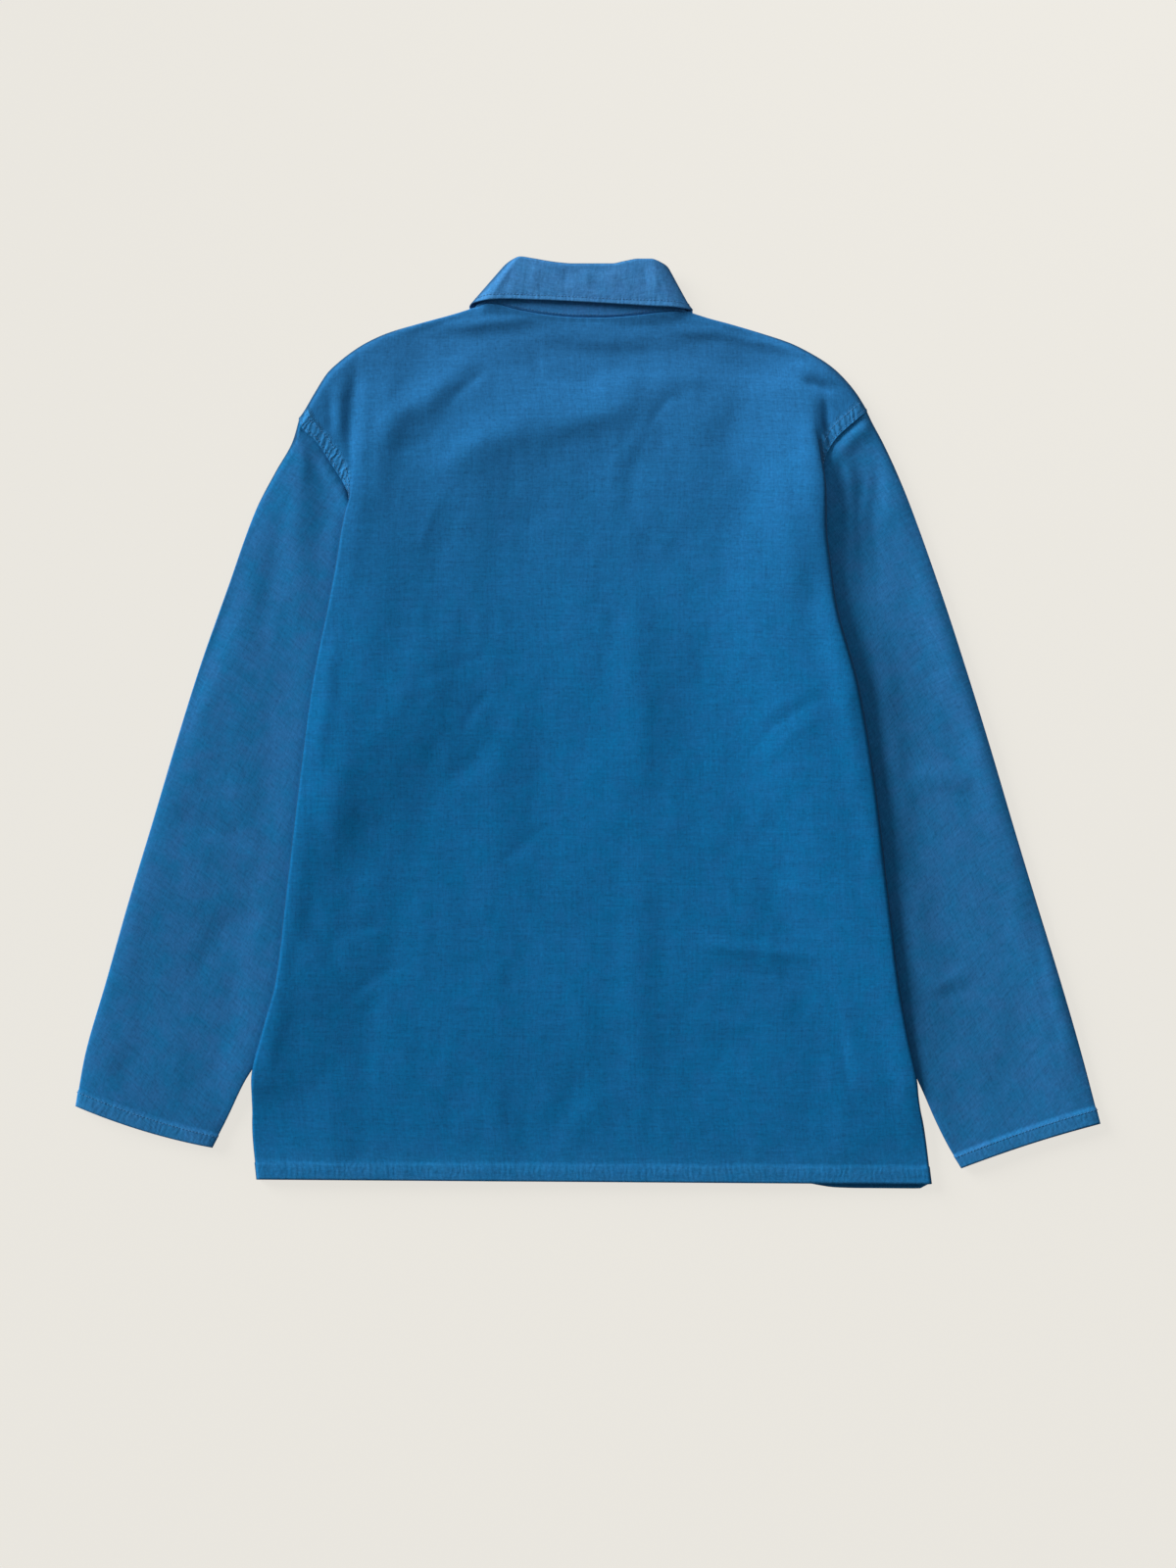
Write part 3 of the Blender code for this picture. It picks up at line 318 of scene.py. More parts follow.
# Sleeves: outer outline, inner edge, and cuff.
SLEEVE_OUTER_LEFT = rows_of(
    Spot, (257.5, -246), (238, -251.7), (213, -265.8), (180, -283), (113, -307.5), (47, -331),
    (-20, -352), (-87, -372), (-153, -392), (-220, -411), (-287, -430), (-327.5, -437),
)
SLEEVE_OUTER_RIGHT = rows_of(
    Spot, (264, 237.5), (255, 241.7), (238, 250.8), (213, 262.5), (180, 276), (113, 300),
    (47, 321.7), (-20, 342.5), (-87, 362.5), (-153, 382.5), (-220, 403), (-287, 422.5),
    (-342.5, 437),
)
SLEEVE_INNER_LEFT = rows_of(
    Spot, (72, -149), (60, -157), (30, -172), (-53, -194), (-137, -222), (-220, -251),
    (-262, -268), (-290, -281), (-308, -291.7), (-337.5, -305.8), (-363, -319),
)
SLEEVE_INNER_RIGHT = rows_of(
    Spot, (72, 141), (60, 150), (30, 168), (-53, 192), (-137, 220), (-220, 247), (-262, 264),
    (-300, 277), (-317, 284.5), (-340, 294.5), (-362.5, 305.8), (-380.8, 317),
)
CUFF_BOW_LEFT = -3.5        # how far a cuff's edge bows up the sleeve
CUFF_BOW_RIGHT = 2.0
CUFF_EASE = 0.055           # share of a sleeve, at both ends, where its folds fade out
RING_EASE = 0.035           # share over which it leaves the armhole's height

# Closed front: the left front laps over the right one, and the buttons lie under both.
LEFT_EDGE_X = 20.0
RIGHT_EDGE_X = -18.0
FRONT_NECK_Y = 262.0
BUTTON_COUNT = 5
BUTTON_TOP_Y = 243.0
BUTTON_SPACING = 114.0
BUTTON_RADIUS = 8.5
BUTTON_THICK = 3.0
BUTTON_LIFT = BUTTON_THICK + SEAM_GAP
STRIP_HALF = 30.0           # half the width over which the closed front is lifted
STRIP_FADE = 26.0
STRIP_START = 20.0          # the lift begins this far above the hem
STRIP_RISE = 70.0           # and is complete after this much more

POCKETS = (
    Patch("pocket_left", -190.0, -28.0, -150.0, -338.0),
    Patch("pocket_right", 62.0, 224.0, -154.0, -342.0),
)
POCKET_MARGIN = 24.0        # the front stays lifted this far round a pocket
POCKET_EASE = 26.0          # and comes down again over this much
POCKET_CORNER = 22.0

# The sleeves' folds, as in their solids.
LEFT_SLEEVE_FOLDS = rows_of(
    Fold, (-226, 240, -223, 150, -2.5, 9), (-246, 247, -247, 113, 2.0, 10),
    (-258, 180, -279, 72, -2.0, 10), (-350, -78, -292, -95, -2.5, 11),
    (-304, -162, -333, -220, -1.5, 10),
)
RIGHT_SLEEVE_FOLDS = rows_of(
    Fold, (233, 245, 233, 97, -2.5, 10), (275, -49, 333, -49, 2.0, 11),
    (292, -228, 325, -212, 1.5, 10), (375, -162, 412, -312, -1.5, 10),
)

FOLD_OVERRUN = 0.15         # share of its length that a fold runs on past each end
FOLD_FADE = 0.35            # share over which it fades there

BACK_CREASES = rows_of(
    Crease, (-146, 320, -100, 326, -33, 333, -1.5, 9), (33, 326, 100, 317, 196, 293, -1.5, 10),
    (-133, 332, -83, 340, -33, 345, 2.5, 7), (50, 340, 117, 330, 192, 308, 2.5, 7),
    (-195, 322, -198, 263, -202, 197, -2, 8), (-168, 313, -168, 255, -180, 180, 2.5, 14),
    (-190, 280, -193, 180, -213, 72, 1, 10), (-207, 113, -225, 13, -238, -78, 2, 10),
    (-232, -37, -247, -137, -263, -228, 1.5, 10), (-255, -170, -268, -253, -273, -320, 1.5, 10),
    (-179, 247, -133, 278, -83, 320, 2.5, 12), (-192, 222, -150, 263, -108, 297, 2, 12),
    (-77, 303, -115, 287, -118, 262, -1, 4.5, 0.3),
    (-117, 265, -133, 242, -170, 222, -0.5, 7, 0.3), (-146, 203, -108, 240, -33, 250, 1, 12),
    (-50, 248, 8, 253, 46, 277, 2.5, 12), (-150, 197, -83, 247, 33, 280, 3.5, 22),
    (-121, 207, -132, 172, -146, 134, 0.5, 8, 0.2),
    (-100, 197, -115, 159, -133, 113, -0.3, 8, 0.2), (-33, 222, -33, 180, -63, 150, -0.3, 8),
    (-58, 238, -62, 205, -65, 180, -0.3, 7), (-77, 130, -79, 97, -81, 59, -0.3, 8),
    (85, 277, 57, 270, 48, 242, -1, 4.5, 0.3), (46, 263, 25, 243, 12, 210, -0.5, 7, 0.2),
    (50, 247, 33, 213, 30, 163, -1, 10), (42, 284, 75, 292, 117, 297, 1, 9),
    (98, 307, 97, 280, 101, 260, -0.3, 3.6), (83, 283, 57, 282, 42, 272, 0.5, 5),
    (188, 297, 195, 213, 202, 113, 4.5, 14), (197, 147, 213, 47, 230, -28, 4, 14),
    (223, 13, 240, -87, 254, -170, 2, 14), (243, -120, 260, -212, 272, -295, 1, 14),
    (267, -253, 275, -320, 282, -370, 1.5, 12), (175, 305, 167, 213, 177, 80, 4.5, 30),
    (133, 288, 120, 247, 118, 197, -1.5, 14), (180, 293, 195, 290, 213, 282, -3, 4.4),
    (167, 302, 195, 302, 222, 287, 2, 5), (202, 282, 205, 253, 208, 228, -3, 5.5),
    (43, 147, 43, 30, 42, -103, 2, 18), (42, -53, 43, -187, 42, -378, 1.5, 18),
    (83, 113, 87, -20, 93, -153, -1, 20), (-12, 30, -10, -53, -12, -137, -0.5, 12),
    (-83, 57, -133, 38, -163, 30, -0.5, 6.5), (-83, 72, -88, 55, -98, 47, -0.3, 5),
    (-80, 33, -93, 10, -112, -13, -0.8, 6, 0.2), (-67, -5, -100, -45, -142, -62, -1, 10),
    (-125, -3, -158, -53, -183, -120, -1, 22), (-167, -45, -200, -120, -233, -187, -2, 22),
    (-217, -53, -225, -120, -235, -187, -0.5, 12),
    (-162, -165, -192, -178, -225, -192, -0.5, 7, 0.3),
    (-142, -210, -182, -210, -220, -250, -0.5, 6, 0.3),
    (-133, -176, -135, -185, -127, -197, -0.3, 4.5),
    (-183, -220, -190, -270, -190, -328, -0.8, 12), (-133, 80, -158, 13, -208, -53, 1, 16),
    (-183, -103, -208, -170, -225, -228, -0.8, 14),
    (-250, -137, -233, -187, -200, -220, -1.5, 12), (167, 80, 170, -37, 177, -170, -1, 30),
    (-108, 113, -142, -3, -183, -120, 2.5, 30), (-183, 80, -208, -37, -235, -170, 1.5, 26),
    (-33, 80, -37, -37, -40, -170, -2, 24), (217, -187, 233, -270, 250, -353, -2.5, 26),
    (-67, 320, -8, 315, 75, 315, -1, 9), (-100, 303, -8, 298, 83, 300, -2, 14),
    (-200, 302, -201, 259, -203, 210, -1.5, 6), (-186, 297, -188, 255, -191, 202, 1, 8),
    (-222, 284, -219, 259, -214, 233, -1, 4.5), (-212, 293, -210, 263, -208, 234, 0.8, 5),
    (-220, 222, -217, 197, -214, 172, -0.5, 6),
    (-30, -85, -57, -103, -80, -125, -0.5, 5.5, 0.3),
    (-83, -147, -88, -162, -92, -173, 0.3, 5.5), (10, -258, -8, -312, -46, -378, -0.5, 12),
    (-8, -228, -3, -253, 0, -278, 0.5, 10), (33, -295, 17, -328, -33, -378, 0.8, 14),
    (-108, -303, -75, -337, -58, -370, 0.8, 14), (-171, -347, -142, -347, -117, -355, -0.3, 7),
    (210, 19, 170, 8, 132, -32, -0.8, 4, 0.5), (213, 8, 177, -5, 137, -43, 0.5, 6, -0.2),
    (205, 30, 167, 20, 135, -10, 0.3, 7), (87, -202, 142, -217, 218, -227, -0.5, 6, 0.3),
    (83, -188, 142, -193, 208, -207, 1.5, 8), (167, -227, 200, -238, 230, -232, -0.3, 5),
    (150, -137, 183, -145, 208, -162, 0.8, 9), (75, -253, 108, -257, 150, -258, 0.8, 10),
    (117, -37, 142, -53, 150, -103, 1, 14), (100, 97, 97, 47, 102, -3, -0.8, 14),
    (208, -312, 210, -345, 207, -370, -0.5, 9), (150, 113, 167, -20, 192, -153, 2.5, 32),
    (175, -87, 200, -203, 208, -345, -1, 32), (-117, 163, -125, 30, -133, -103, 1, 34),
    (-50, 230, -58, 97, -67, -37, -1.5, 34), (0, 330, 17, 280, 33, 213, 3, 36),
    (100, 297, 100, 213, 108, 113, 1, 34), (-133, 280, -100, 213, -83, 130, 2.5, 36),
    (117, -187, 117, -270, 117, -370, -1.5, 34), (-200, 330, -133, 330, -67, 338, -1, 16),
    (-67, 338, 0, 330, 83, 326, 3.5, 16), (67, 330, 133, 313, 200, 288, -6, 16),
    (-167, 247, -100, 280, -33, 288, 0.8, 24), (-217, 147, -228, 47, -242, -53, -2, 16),
    (-237, -20, -250, -120, -262, -220, -1, 16), (208, 113, 225, 13, 242, -87, 2, 20),
    (33, -103, 75, -203, 83, -303, -1, 30), (-250, -220, -250, -287, -242, -353, -0.5, 20),
)
RIGHT_SLEEVE_CREASES = rows_of(
    Crease, (217, 237, 220, 213, 222, 188, 2, 6), (333, -203, 367, -287, 392, -337, -1, 22),
    (383, -153, 402, -228, 421, -312, 3.5, 16), (262, 213, 321, 30, 375, -153, 6, 16),
    (333, -270, 358, -320, 367, -353, -1, 16), (300, 80, 325, -37, 350, -153, -0.8, 14),
    (254, 247, 262, 197, 275, 130, 2, 12), (265, -87, 285, -203, 300, -295, 1.5, 12),
    (238, 113, 258, -20, 275, -137, 3.5, 12), (342, -70, 383, -203, 417, -312, 1.5, 18),
    (275, 180, 325, 13, 367, -137, -1.5, 18), (283, -53, 312, -187, 342, -320, -1, 22),
    (242, 247, 245, 180, 248, 97, -1.5, 9), (219, 242, 223, 188, 232, 130, 2.5, 8),
    (228, 242, 235, 205, 243, 163, 0.8, 6), (234, 262, 228, 200, 236, 97, -1, 6, 0.3),
    (252, 232, 250, 190, 262, 150, 1, 8, 0.2), (275, -50, 302, -42, 334, -52, 0.5, 8, 0.2),
    (280, -66, 306, -62, 338, -70, -0.3, 7, 0.2),
    (292, -230, 308, -214, 326, -212, 0.4, 7, 0.2),
    (288, -242, 310, -228, 334, -228, -0.4, 6, 0.2),
    (374, -160, 388, -230, 412, -313, -0.3, 5, 0.4),
)
LEFT_SLEEVE_CREASES = rows_of(
    Crease, (-375, -95, -404, -203, -427, -303, 0.5, 16),
    (-258, 238, -315, 97, -362, -70, -4.5, 16), (-383, -270, -400, -303, -417, -328, -0.8, 14),
    (-292, 147, -307, 97, -317, 30, -0.5, 14), (-233, 163, -237, 113, -250, 47, 1, 12),
    (-258, -87, -282, -187, -300, -278, 1, 12), (-225, 113, -250, -3, -262, -120, -1.5, 12),
    (-342, -20, -375, -137, -408, -262, 0.5, 14), (-271, 205, -312, 80, -346, -53, 2.5, 14),
    (-212, 242, -209, 197, -218, 122, -3.5, 12), (-243, 242, -250, 180, -260, 113, 0.5, 12),
    (-240, 247, -242, 222, -245, 197, 1, 6), (-350, -78, -318, -100, -262, -112, -0.7, 7, 0.3),
    (-346, -62, -312, -84, -270, -92, 0.4, 8, 0.1),
    (-340, -118, -318, -128, -290, -150, -0.5, 6, 0.3),
    (-304, -162, -324, -190, -334, -222, -0.5, 8, 0.2),
    (-276, 30, -262, 0, -272, -36, -0.3, 8, 0.2),
)
COLLAR_CREASES = rows_of(
    Crease, (-16, 392, -22, 380, -16, 366, -0.7, 6, -0.3),
    (-2, 386, 2, 378, 0, 366, 0.6, 6, 0.1), (56, 392, 58, 376, 60, 360, 0.7, 3.5, 0.2),
    (48, 390, 50, 376, 52, 360, -0.6, 3.5, 0.2), (-62, 388, -64, 376, -74, 362, -0.6, 6, 0.2),
    (-44, 388, -42, 376, -46, 362, 0.5, 6, 0.2), (22, 386, 24, 376, 20, 362, 0.45, 7, 0.1),
)

# ------------------------------------- relief of the cloth, finer than in the solids ----
# How far inside a side fold its top layer starts to sag, and what the sag in the middle adds.
SAG_INSET = rows_of(
    Height, (230, 2), (197, 6), (135, 20), (50, 30), (-53, 28), (-137, 24), (-220, 15),
    (-262, 11), (-303, 5), (-395, 1),
)
MIDDLE_LIFT = rows_of(
    Height, (335, -3.4), (312, -3.4), (280, -1.0), (240, 1.2), (200, 2.2), (60, 2.4),
    (-60, 2.8), (-240, 2.8), (-330, 1.3), (-385, 0.0),
)
BROAD_CREASE = 9.5          # creases wider than this are round swells
CREASE_SIDE = 0.85          # how fast the others fall beside their crest
BROAD_FADE = 0.5            # share of its length over which a swell rises at each end
CREASE_FADE = 0.36
CREASE_POINTS = 13          # along the curve of each
CREASE_NARROW = 0.6         # share of its width that is left at a crease's ends
CREASE_CUT = 0.02           # share of its height below which its sides are cut off
NOISE_CELLS = 64            # unevenness repeats after so many waves
PUCKER_DRIFT = 1.9          # how unevenly puckers follow each other, an angle
PUCKER_DRIFT_SIZE = 3.1     # over so many of them
PUCKER_LEAST = 0.65         # middle of their height, and over how many it changes
PUCKER_SWELL_SIZE = 2.3
WANDER_X = (Wave(3.2, 41.0, 61), Wave(1.1, 17.0, 63))   # how creases leave their curve
WANDER_Y = (Wave(3.2, 41.0, 62), Wave(1.1, 17.0, 64))
BODY_WAVES = (Wave(0.5, 74.0, 11, 1.0, 0.3), Wave(0.45, 27.0, 12, 0.4), Wave(0.2, 13.0, 13, 0.6))
BODY_NUBS = (Wave(0.1, 7.0, 14),)
SLEEVE_WAVES = (Wave(0.6, 66.0, 0), Wave(0.45, 27.0, 1, 0.45), Wave(0.2, 13.0, 2, 0.6))
COLLAR_WAVES = (Wave(0.35, 26.0, 71),)
HELD_FLAT = 0.35            # share of the creases that is left at a hem or cuff
HEM_EASE = 26.0             # distance from the hem over which they set in
LEAST_ROOM = 0.3            # room that a trough has at least over the layers beneath
FOLD_SHARE = 0.45           # share of the solids' fold heights, the rest being in the creases
SEAM_LAP = 3.5              # how far a sleeve's head runs in under the armhole seam
SEAM_SINK = 0.3             # how far the stand's foot is pressed into the neck seam
EDGE_SHADE_FLAT = 0.93            # upward part of the normal below which cloth counts as on edge, where the twill paints shade
EDGE_SHADE_SPAN = 0.38
FRONT_ROOM = 0.7            # least gap between the back and the fronts beneath it
TUCK_REACH = 70.0           # how far in from the side folds the tucked layers reach
TUCK_FADE = 20.0
TUCK_TOP_Y = 190.0
TUCK_RISE = 60.0
NECK_REACH = 7.0            # distance below the neck seam over which the relief sets in
HEAD_EASE = 0.022           # share of a sleeve over which its relief sets in at the armhole
HEAD_FALL = 0.17            # share over which a sleeve's upper layer comes down from there
CUFF_RELIEF = 0.5           # how far a cuff's turning stands out beside the body's hem
HEAD_CREST = 9.0            # distance of a sleeve head's crest from the armhole seam
HEAD_RISE = 2.0
HEAD_SPREAD = 6.5
BAND_TUCK = 7.0             # how far from the side fold the armhole band starts to flatten
BAND_WIDTH = 11.0
BAND_ROWS = (2.2, 9.4)      # its two rows of stitches, from the seam
BAND_RISE = 0.55            # how far it stands out
BAND_GROOVE = 0.28          # how deep its stitches are pulled in
BAND_SLANT = 0.55           # how far its puckers lean along the seam
BAND_PUCKERS = (Pucker(7.6, 0.5, 51), Pucker(4.9, 0.18, 52))
BAND_EDGE = 2.4             # width over which it falls at its edge
BAND_PULL = 4.6             # half the width over which it is puckered
BAND_NEAR = 40.0            # cloth farther from the seam than this has none of it
BAND_LAID = 14.0            # it is full where the seam lies outside the side fold
BAND_TOP = 0.06             # and sets in over these rows below the shoulder
BAND_WEAR = 0.42
GROOVE_WIDTH = 1.1          # half the width of the groove at its stitches
HEM_RISE = 0.3              # how far a turned hem stands out
HEM_GROOVE = 0.3            # how deep its stitches are pulled in
HEM_SLANT = 0.35            # how far its puckers lean
HEM_SWELL = 0.55            # middle of their height, how far it changes, and over what length
HEM_UNEVEN = 0.45
HEM_SWELL_SIZE = 34.0
HEM_PUCKERS = (Pucker(12.5, 0.26, 0), Pucker(7.7, 0.13, 5))
HEM_ECHO = Pucker(12.5, 0.12, 0)            # what its puckers send on above the stitches
HEM_WAVE = Wave(0.25, 60.0, 3)              # how a hem's edge lifts here and there
HEM_WAVE_REACH = 30.0
NECK_PUCKERS = Pucker(9.0, 0.2, 41)
NECK_PULL = 7.0             # how far below the neck seam they reach
HEAD_SLANT = 0.4            # how far a sleeve head's puckers lean
HEAD_PUCKERS = Pucker(9.4, 0.32, 4)
COLLAR_PUCKERS = Pucker(7.4, 0.09, 73)
ALONG_START = 400.0         # added to lengths along seams, so that none is below 0
GATHER_START = 200.0
PATCH_START = 300.0
CUFF_START = 60.0
COLLAR_ROW = 4.4            # the fall's row of stitches, from its edge
COLLAR_GROOVE = 0.2
THREAD_LIFT = 0.62          # how high stitches lie over the middle of the cloth
COLLAR_THREAD_LIFT = 0.66
CUFF_THREAD_LIFT = 1.15
FALL_SIDE = 5.4             # station at which the fall's creases begin at either side
FALL_SIDE_EASE = 0.8
HEM_SPAN = 560.0            # width over which the fronts' hem goes from left to right level
DROP_FROM = 172.0           # between these distances from the middle a front may hang lower
DROP_TO = 292.0
DROP_EASE = 40.0
DROP_END = 10.0
FALL_DEPTH = 33.0           # how deep the fall is, roll to edge

# ------------------------------------------------- worn places, painted light and pull that the twill reads ----
HEM_WEAR = 0.34             # a turned hem, 0 being unworn and 1 wholly faded
FRONT_HEM_WEAR = 0.5
EDGE_WEAR = 0.25            # the edge of a hem besides
ABOVE_WEAR = 0.2            # cloth above a hem's stitches, over the distance below
ABOVE_FADE = 14.0
CENTRE_WEAR = 0.4           # the fronts' centre edges
FALL_WEAR = 0.62            # the collar's fall, its edge besides, and its roll
FALL_EDGE_WEAR = 0.3
ROLL_WEAR = 0.85
MOUTH_WEAR = 0.5            # a pocket's upper edge, down to the distance below
MOUTH_FADE = 16.0
INNER_PAINTED_LIGHT = 0.35            # share of its painted light, a paler tone, that a sleeve lacks at the inner edge
BACK_HEM_PULL = 0.28        # how strongly its stitches pull a hem
FRONT_HEM_PULL = 0.4
CUFF_PULL = 0.3
FALL_PULL = 0.3

# ------------------------------------------------------------- steps of the surfaces ----
TURNED_ROWS = 0.055         # the rows that turn down to the shoulder seam are set closely
SHOULDER_COLUMNS = 5
NECK_COLUMNS = 12
COLLAR_STEPS = (0.0, 0.33, 0.67, 1.0, 1.25, 1.5, 1.75, 2.0, 2.33, 2.67, 3.0)
BACK_STEPS = (0.05, 0.10, 0.16, 0.22, 0.29, 0.36, 0.43, 0.5, 0.57, 0.64, 0.72, 0.8, 0.845,
              0.88, 0.91, 0.94, 0.965, 0.985, 1.0)
FRONT_STEPS = (0.08, 0.16, 0.25, 0.34, 0.42, 0.5, 0.6, 0.7, 0.8, 0.87, 0.93, 1.0)


# ----------------------------------------------------------------------- maths ----
def smooth_step(value: Array | float) -> Array:
    """Soft step from 0 to 1 as value goes from 0 to 1."""
    value = np.clip(value, 0.0, 1.0)
    return value * value * (3 - 2 * value)


def bell(away: Array, width: float) -> Array:
    """1 in the middle, falling to nearly 0 at two widths away on either side."""
    return np.exp(-(away / width) ** 2)


def mix(first: Array | float, second: Array | float, share: Array | float) -> Array:
    """Straight mix of two values."""
    return first + (second - first) * share


def curve_through(knots: Array, values: Array) -> Callable[[Array], Array]:
    """Smooth curve through values at rising knots, with no overshoot.

    Args:
        knots: places of the values, rising.
        values: one value for each knot.

    Returns:
        A function that reads the curve, held at its end values outside the knots.
    """
    steps = np.diff(knots)
    slopes = np.diff(values) / steps
    tangents = np.zeros(len(knots))
    tangents[0], tangents[-1] = slopes[0], slopes[-1]
    before, after = slopes[:-1], slopes[1:]
    same = before * after > 0
    total = np.where(same, before + after, 1.0)
    tangents[1:-1] = np.where(same, 2 * before * after / total, 0.0)

    def read(at: Array) -> Array:
        """Value of the curve.

        Args:
            at: places between the knots.

        Returns:
            The curve's value at each.
        """
        at = np.clip(np.asarray(at, float), knots[0], knots[-1])
        span = np.clip(np.searchsorted(knots, at, side="right") - 1, 0, len(steps) - 1)
        share = (at - knots[span]) / steps[span]
        rise = values[span + 1] - values[span]
        first = tangents[span] * steps[span]
        last = tangents[span + 1] * steps[span]
        curl = share * (first + last - 2 * rise) + 3 * rise - 2 * first - last
        return values[span] + share * (first + share * curl)

    return read


def through(rows: Sequence[NamedTuple], column: str, key: str = "y") -> Callable[[Array], Array]:
    """Smooth curve through one column of a table, read by its key.

    Args:
        rows: the table.
        column: the column that is read.
        key: the column that it is read by.

    Returns:
        The curve.
    """
    ordered = sorted(rows, key=lambda row: getattr(row, key))
    knots = np.array([getattr(row, key) for row in ordered], float)
    values = np.array([getattr(row, column) for row in ordered], float)
    return curve_through(knots, values)


def folds_at(folds: Sequence[Fold], x: Array, y: Array) -> Array:
    """Height that a table of folds adds at points x, y.

    Args:
        folds: the table.
        x: places along X.
        y: places along Y.

    Returns:
        The height at each point.
    """
    total = np.zeros(np.broadcast(x, y).shape)
    for fold in folds:
        along_x, along_y = fold.x1 - fold.x0, fold.y1 - fold.y0
        length = np.hypot(along_x, along_y)
        share = ((x - fold.x0) * along_x + (y - fold.y0) * along_y) / length**2
        aside = ((x - fold.x0) * along_y - (y - fold.y0) * along_x) / length
        ends = smooth_step((share + FOLD_OVERRUN) / FOLD_FADE)
        ends = ends * smooth_step((1 + FOLD_OVERRUN - share) / FOLD_FADE)
        total = total + fold.height * ends * bell(aside, fold.width)
    return total


def nearest_on(line: Array, x: Array, y: Array) -> tuple[Array, Array, Array]:
    """Distance from points to a line of points, and where on it they are nearest.

    Args:
        line: the line's points, one x, y for each row.
        x: first coordinates of the points.
        y: second coordinates of the points.

    Returns:
        The distance, the length along the line, and the side (-1 or 1).
    """
    starts, ends = line[:-1], line[1:]
    lengths = np.linalg.norm(ends - starts, axis=1)
    runs = np.concatenate([[0.0], np.cumsum(lengths)])
    best = np.full(x.shape, 1e9)
    along = np.zeros(x.shape)
    side = np.ones(x.shape)
    for index, length in enumerate(lengths):
        if length < 1e-9:
            continue
        way = (ends[index] - starts[index]) / length
        off_x, off_y = x - starts[index][0], y - starts[index][1]
        reach = np.clip(off_x * way[0] + off_y * way[1], 0, length)
        gap = np.hypot(off_x - reach * way[0], off_y - reach * way[1])
        closer = gap < best
        best = np.where(closer, gap, best)
        along = np.where(closer, runs[index] + reach, along)
        side = np.where(closer, np.where(off_x * way[1] - off_y * way[0] > 0, 1.0, -1.0), side)
    return best, along, side


def creases_at(creases: Sequence[Crease], x: Array, y: Array) -> Array:
    """Height that a table of curved creases adds at points x, y.

    Creases wander a little from their curve. Those wider than BROAD_CREASE are round
    swells that rise to the middle of their length, the others have a sharp crest.

    Args:
        creases: the table.
        x: places along X.
        y: places along Y.

    Returns:
        The height at each point.
    """
    total = np.zeros(np.broadcast(x, y).shape)
    shares = np.linspace(0, 1, CREASE_POINTS)[:, None]
    x, y = with_waves(x, WANDER_X, x, y), with_waves(y, WANDER_Y, x, y)
    for crease in creases:
        first = np.array([crease.x0, crease.y0])
        middle = np.array([crease.xm, crease.ym])
        last = np.array([crease.x1, crease.y1])
        line = (1 - shares) ** 2 * first + 2 * shares * (1 - shares) * middle + shares**2 * last
        reach = 3 * crease.width
        low, high = line.min(axis=0) - reach, line.max(axis=0) + reach
        near = (x > low[0]) & (x < high[0]) & (y > low[1]) & (y < high[1])
        if not near.any():
            continue
        gap, along, side = nearest_on(line, x[near], y[near])
        length = float(np.sum(np.linalg.norm(np.diff(line, axis=0), axis=1)))
        share = along / length
        broad = crease.width > BROAD_CREASE
        fade = BROAD_FADE if broad else CREASE_FADE
        ends = smooth_step(share / fade) * smooth_step((1 - share) / fade)
        width = crease.width * (1 + crease.lean * side)
        width = width * (CREASE_NARROW + (1 - CREASE_NARROW) * ends)
        if broad:
            shape = bell(gap, width)
        else:
            shape = (1 + (gap / (CREASE_SIDE * width)) ** 2) ** -1.5 - CREASE_CUT
        total[near] += crease.height * ends * np.maximum(shape, 0)
    return total


def unevenness(x: Array, y: Array, size: float, seed: int) -> Array:
    """Soft random waves of the cloth, from -1 to 1, of about one size.

    Args:
        x: places along X.
        y: places along Y.
        size: size of the waves.
        seed: which waves.

    Returns:
        A value at each point.
    """
    table = np.random.default_rng(seed).uniform(-1, 1, (NOISE_CELLS, NOISE_CELLS))
    column, row = np.floor(x / size).astype(int), np.floor(y / size).astype(int)
    right, up = smooth_step(x / size - column), smooth_step(y / size - row)
    beyond, above = (column + 1) % NOISE_CELLS, (row + 1) % NOISE_CELLS
    column, row = column % NOISE_CELLS, row % NOISE_CELLS
    low = mix(table[column, row], table[beyond, row], right)
    high = mix(table[column, above], table[beyond, above], right)
    return mix(low, high, up)


def with_waves(total: Array | float, waves: Sequence[Wave], x: Array, y: Array,
               seed: int = 0) -> Array:
    """Add waves of unevenness.

    Args:
        total: what they are added to.
        waves: their table.
        x: places along X.
        y: places along Y.
        seed: added to the seeds of the table.

    Returns:
        The sum at each place.
    """
    for wave in waves:
        drawn = wave.squeeze * y + wave.slant * x
        total = total + wave.height * unevenness(x, drawn, wave.size, seed + wave.seed)
    return total


def puckers(along: Array, pitch: float, seed: int) -> Array:
    """Uneven small waves along a sewn seam, from -1 to 1.

    Args:
        along: places along the seam.
        pitch: distance from wave to wave.
        seed: which waves.

    Returns:
        A value at each place.
    """
    drift = unevenness(along, along * 0 + 0.5, pitch * PUCKER_DRIFT_SIZE, seed) * PUCKER_DRIFT
    drawn = unevenness(along, along * 0 + 7.5, pitch * PUCKER_SWELL_SIZE, seed + 1)
    swell = PUCKER_LEAST + (1 - PUCKER_LEAST) * drawn
    return np.sin(2 * np.pi * along / pitch + drift) * swell


def gathers(kind: Pucker, along: Array, seed: int = 0) -> Array:
    """Small waves of one kind along a seam, at their height."""
    return kind.height * puckers(along, kind.pitch, seed + kind.seed)


def side_normals(points: Array) -> Array:
    """Unit normals of a grid of points, on the side that its rows and columns turn to.

    Args:
        points: one point for each row and column.

    Returns:
        A unit vector at each point.
    """
    down = np.gradient(points, axis=0)
    across = np.gradient(points, axis=1)
    normal = np.cross(down, across)
    return normal / np.maximum(np.linalg.norm(normal, axis=2, keepdims=True), 1e-9)


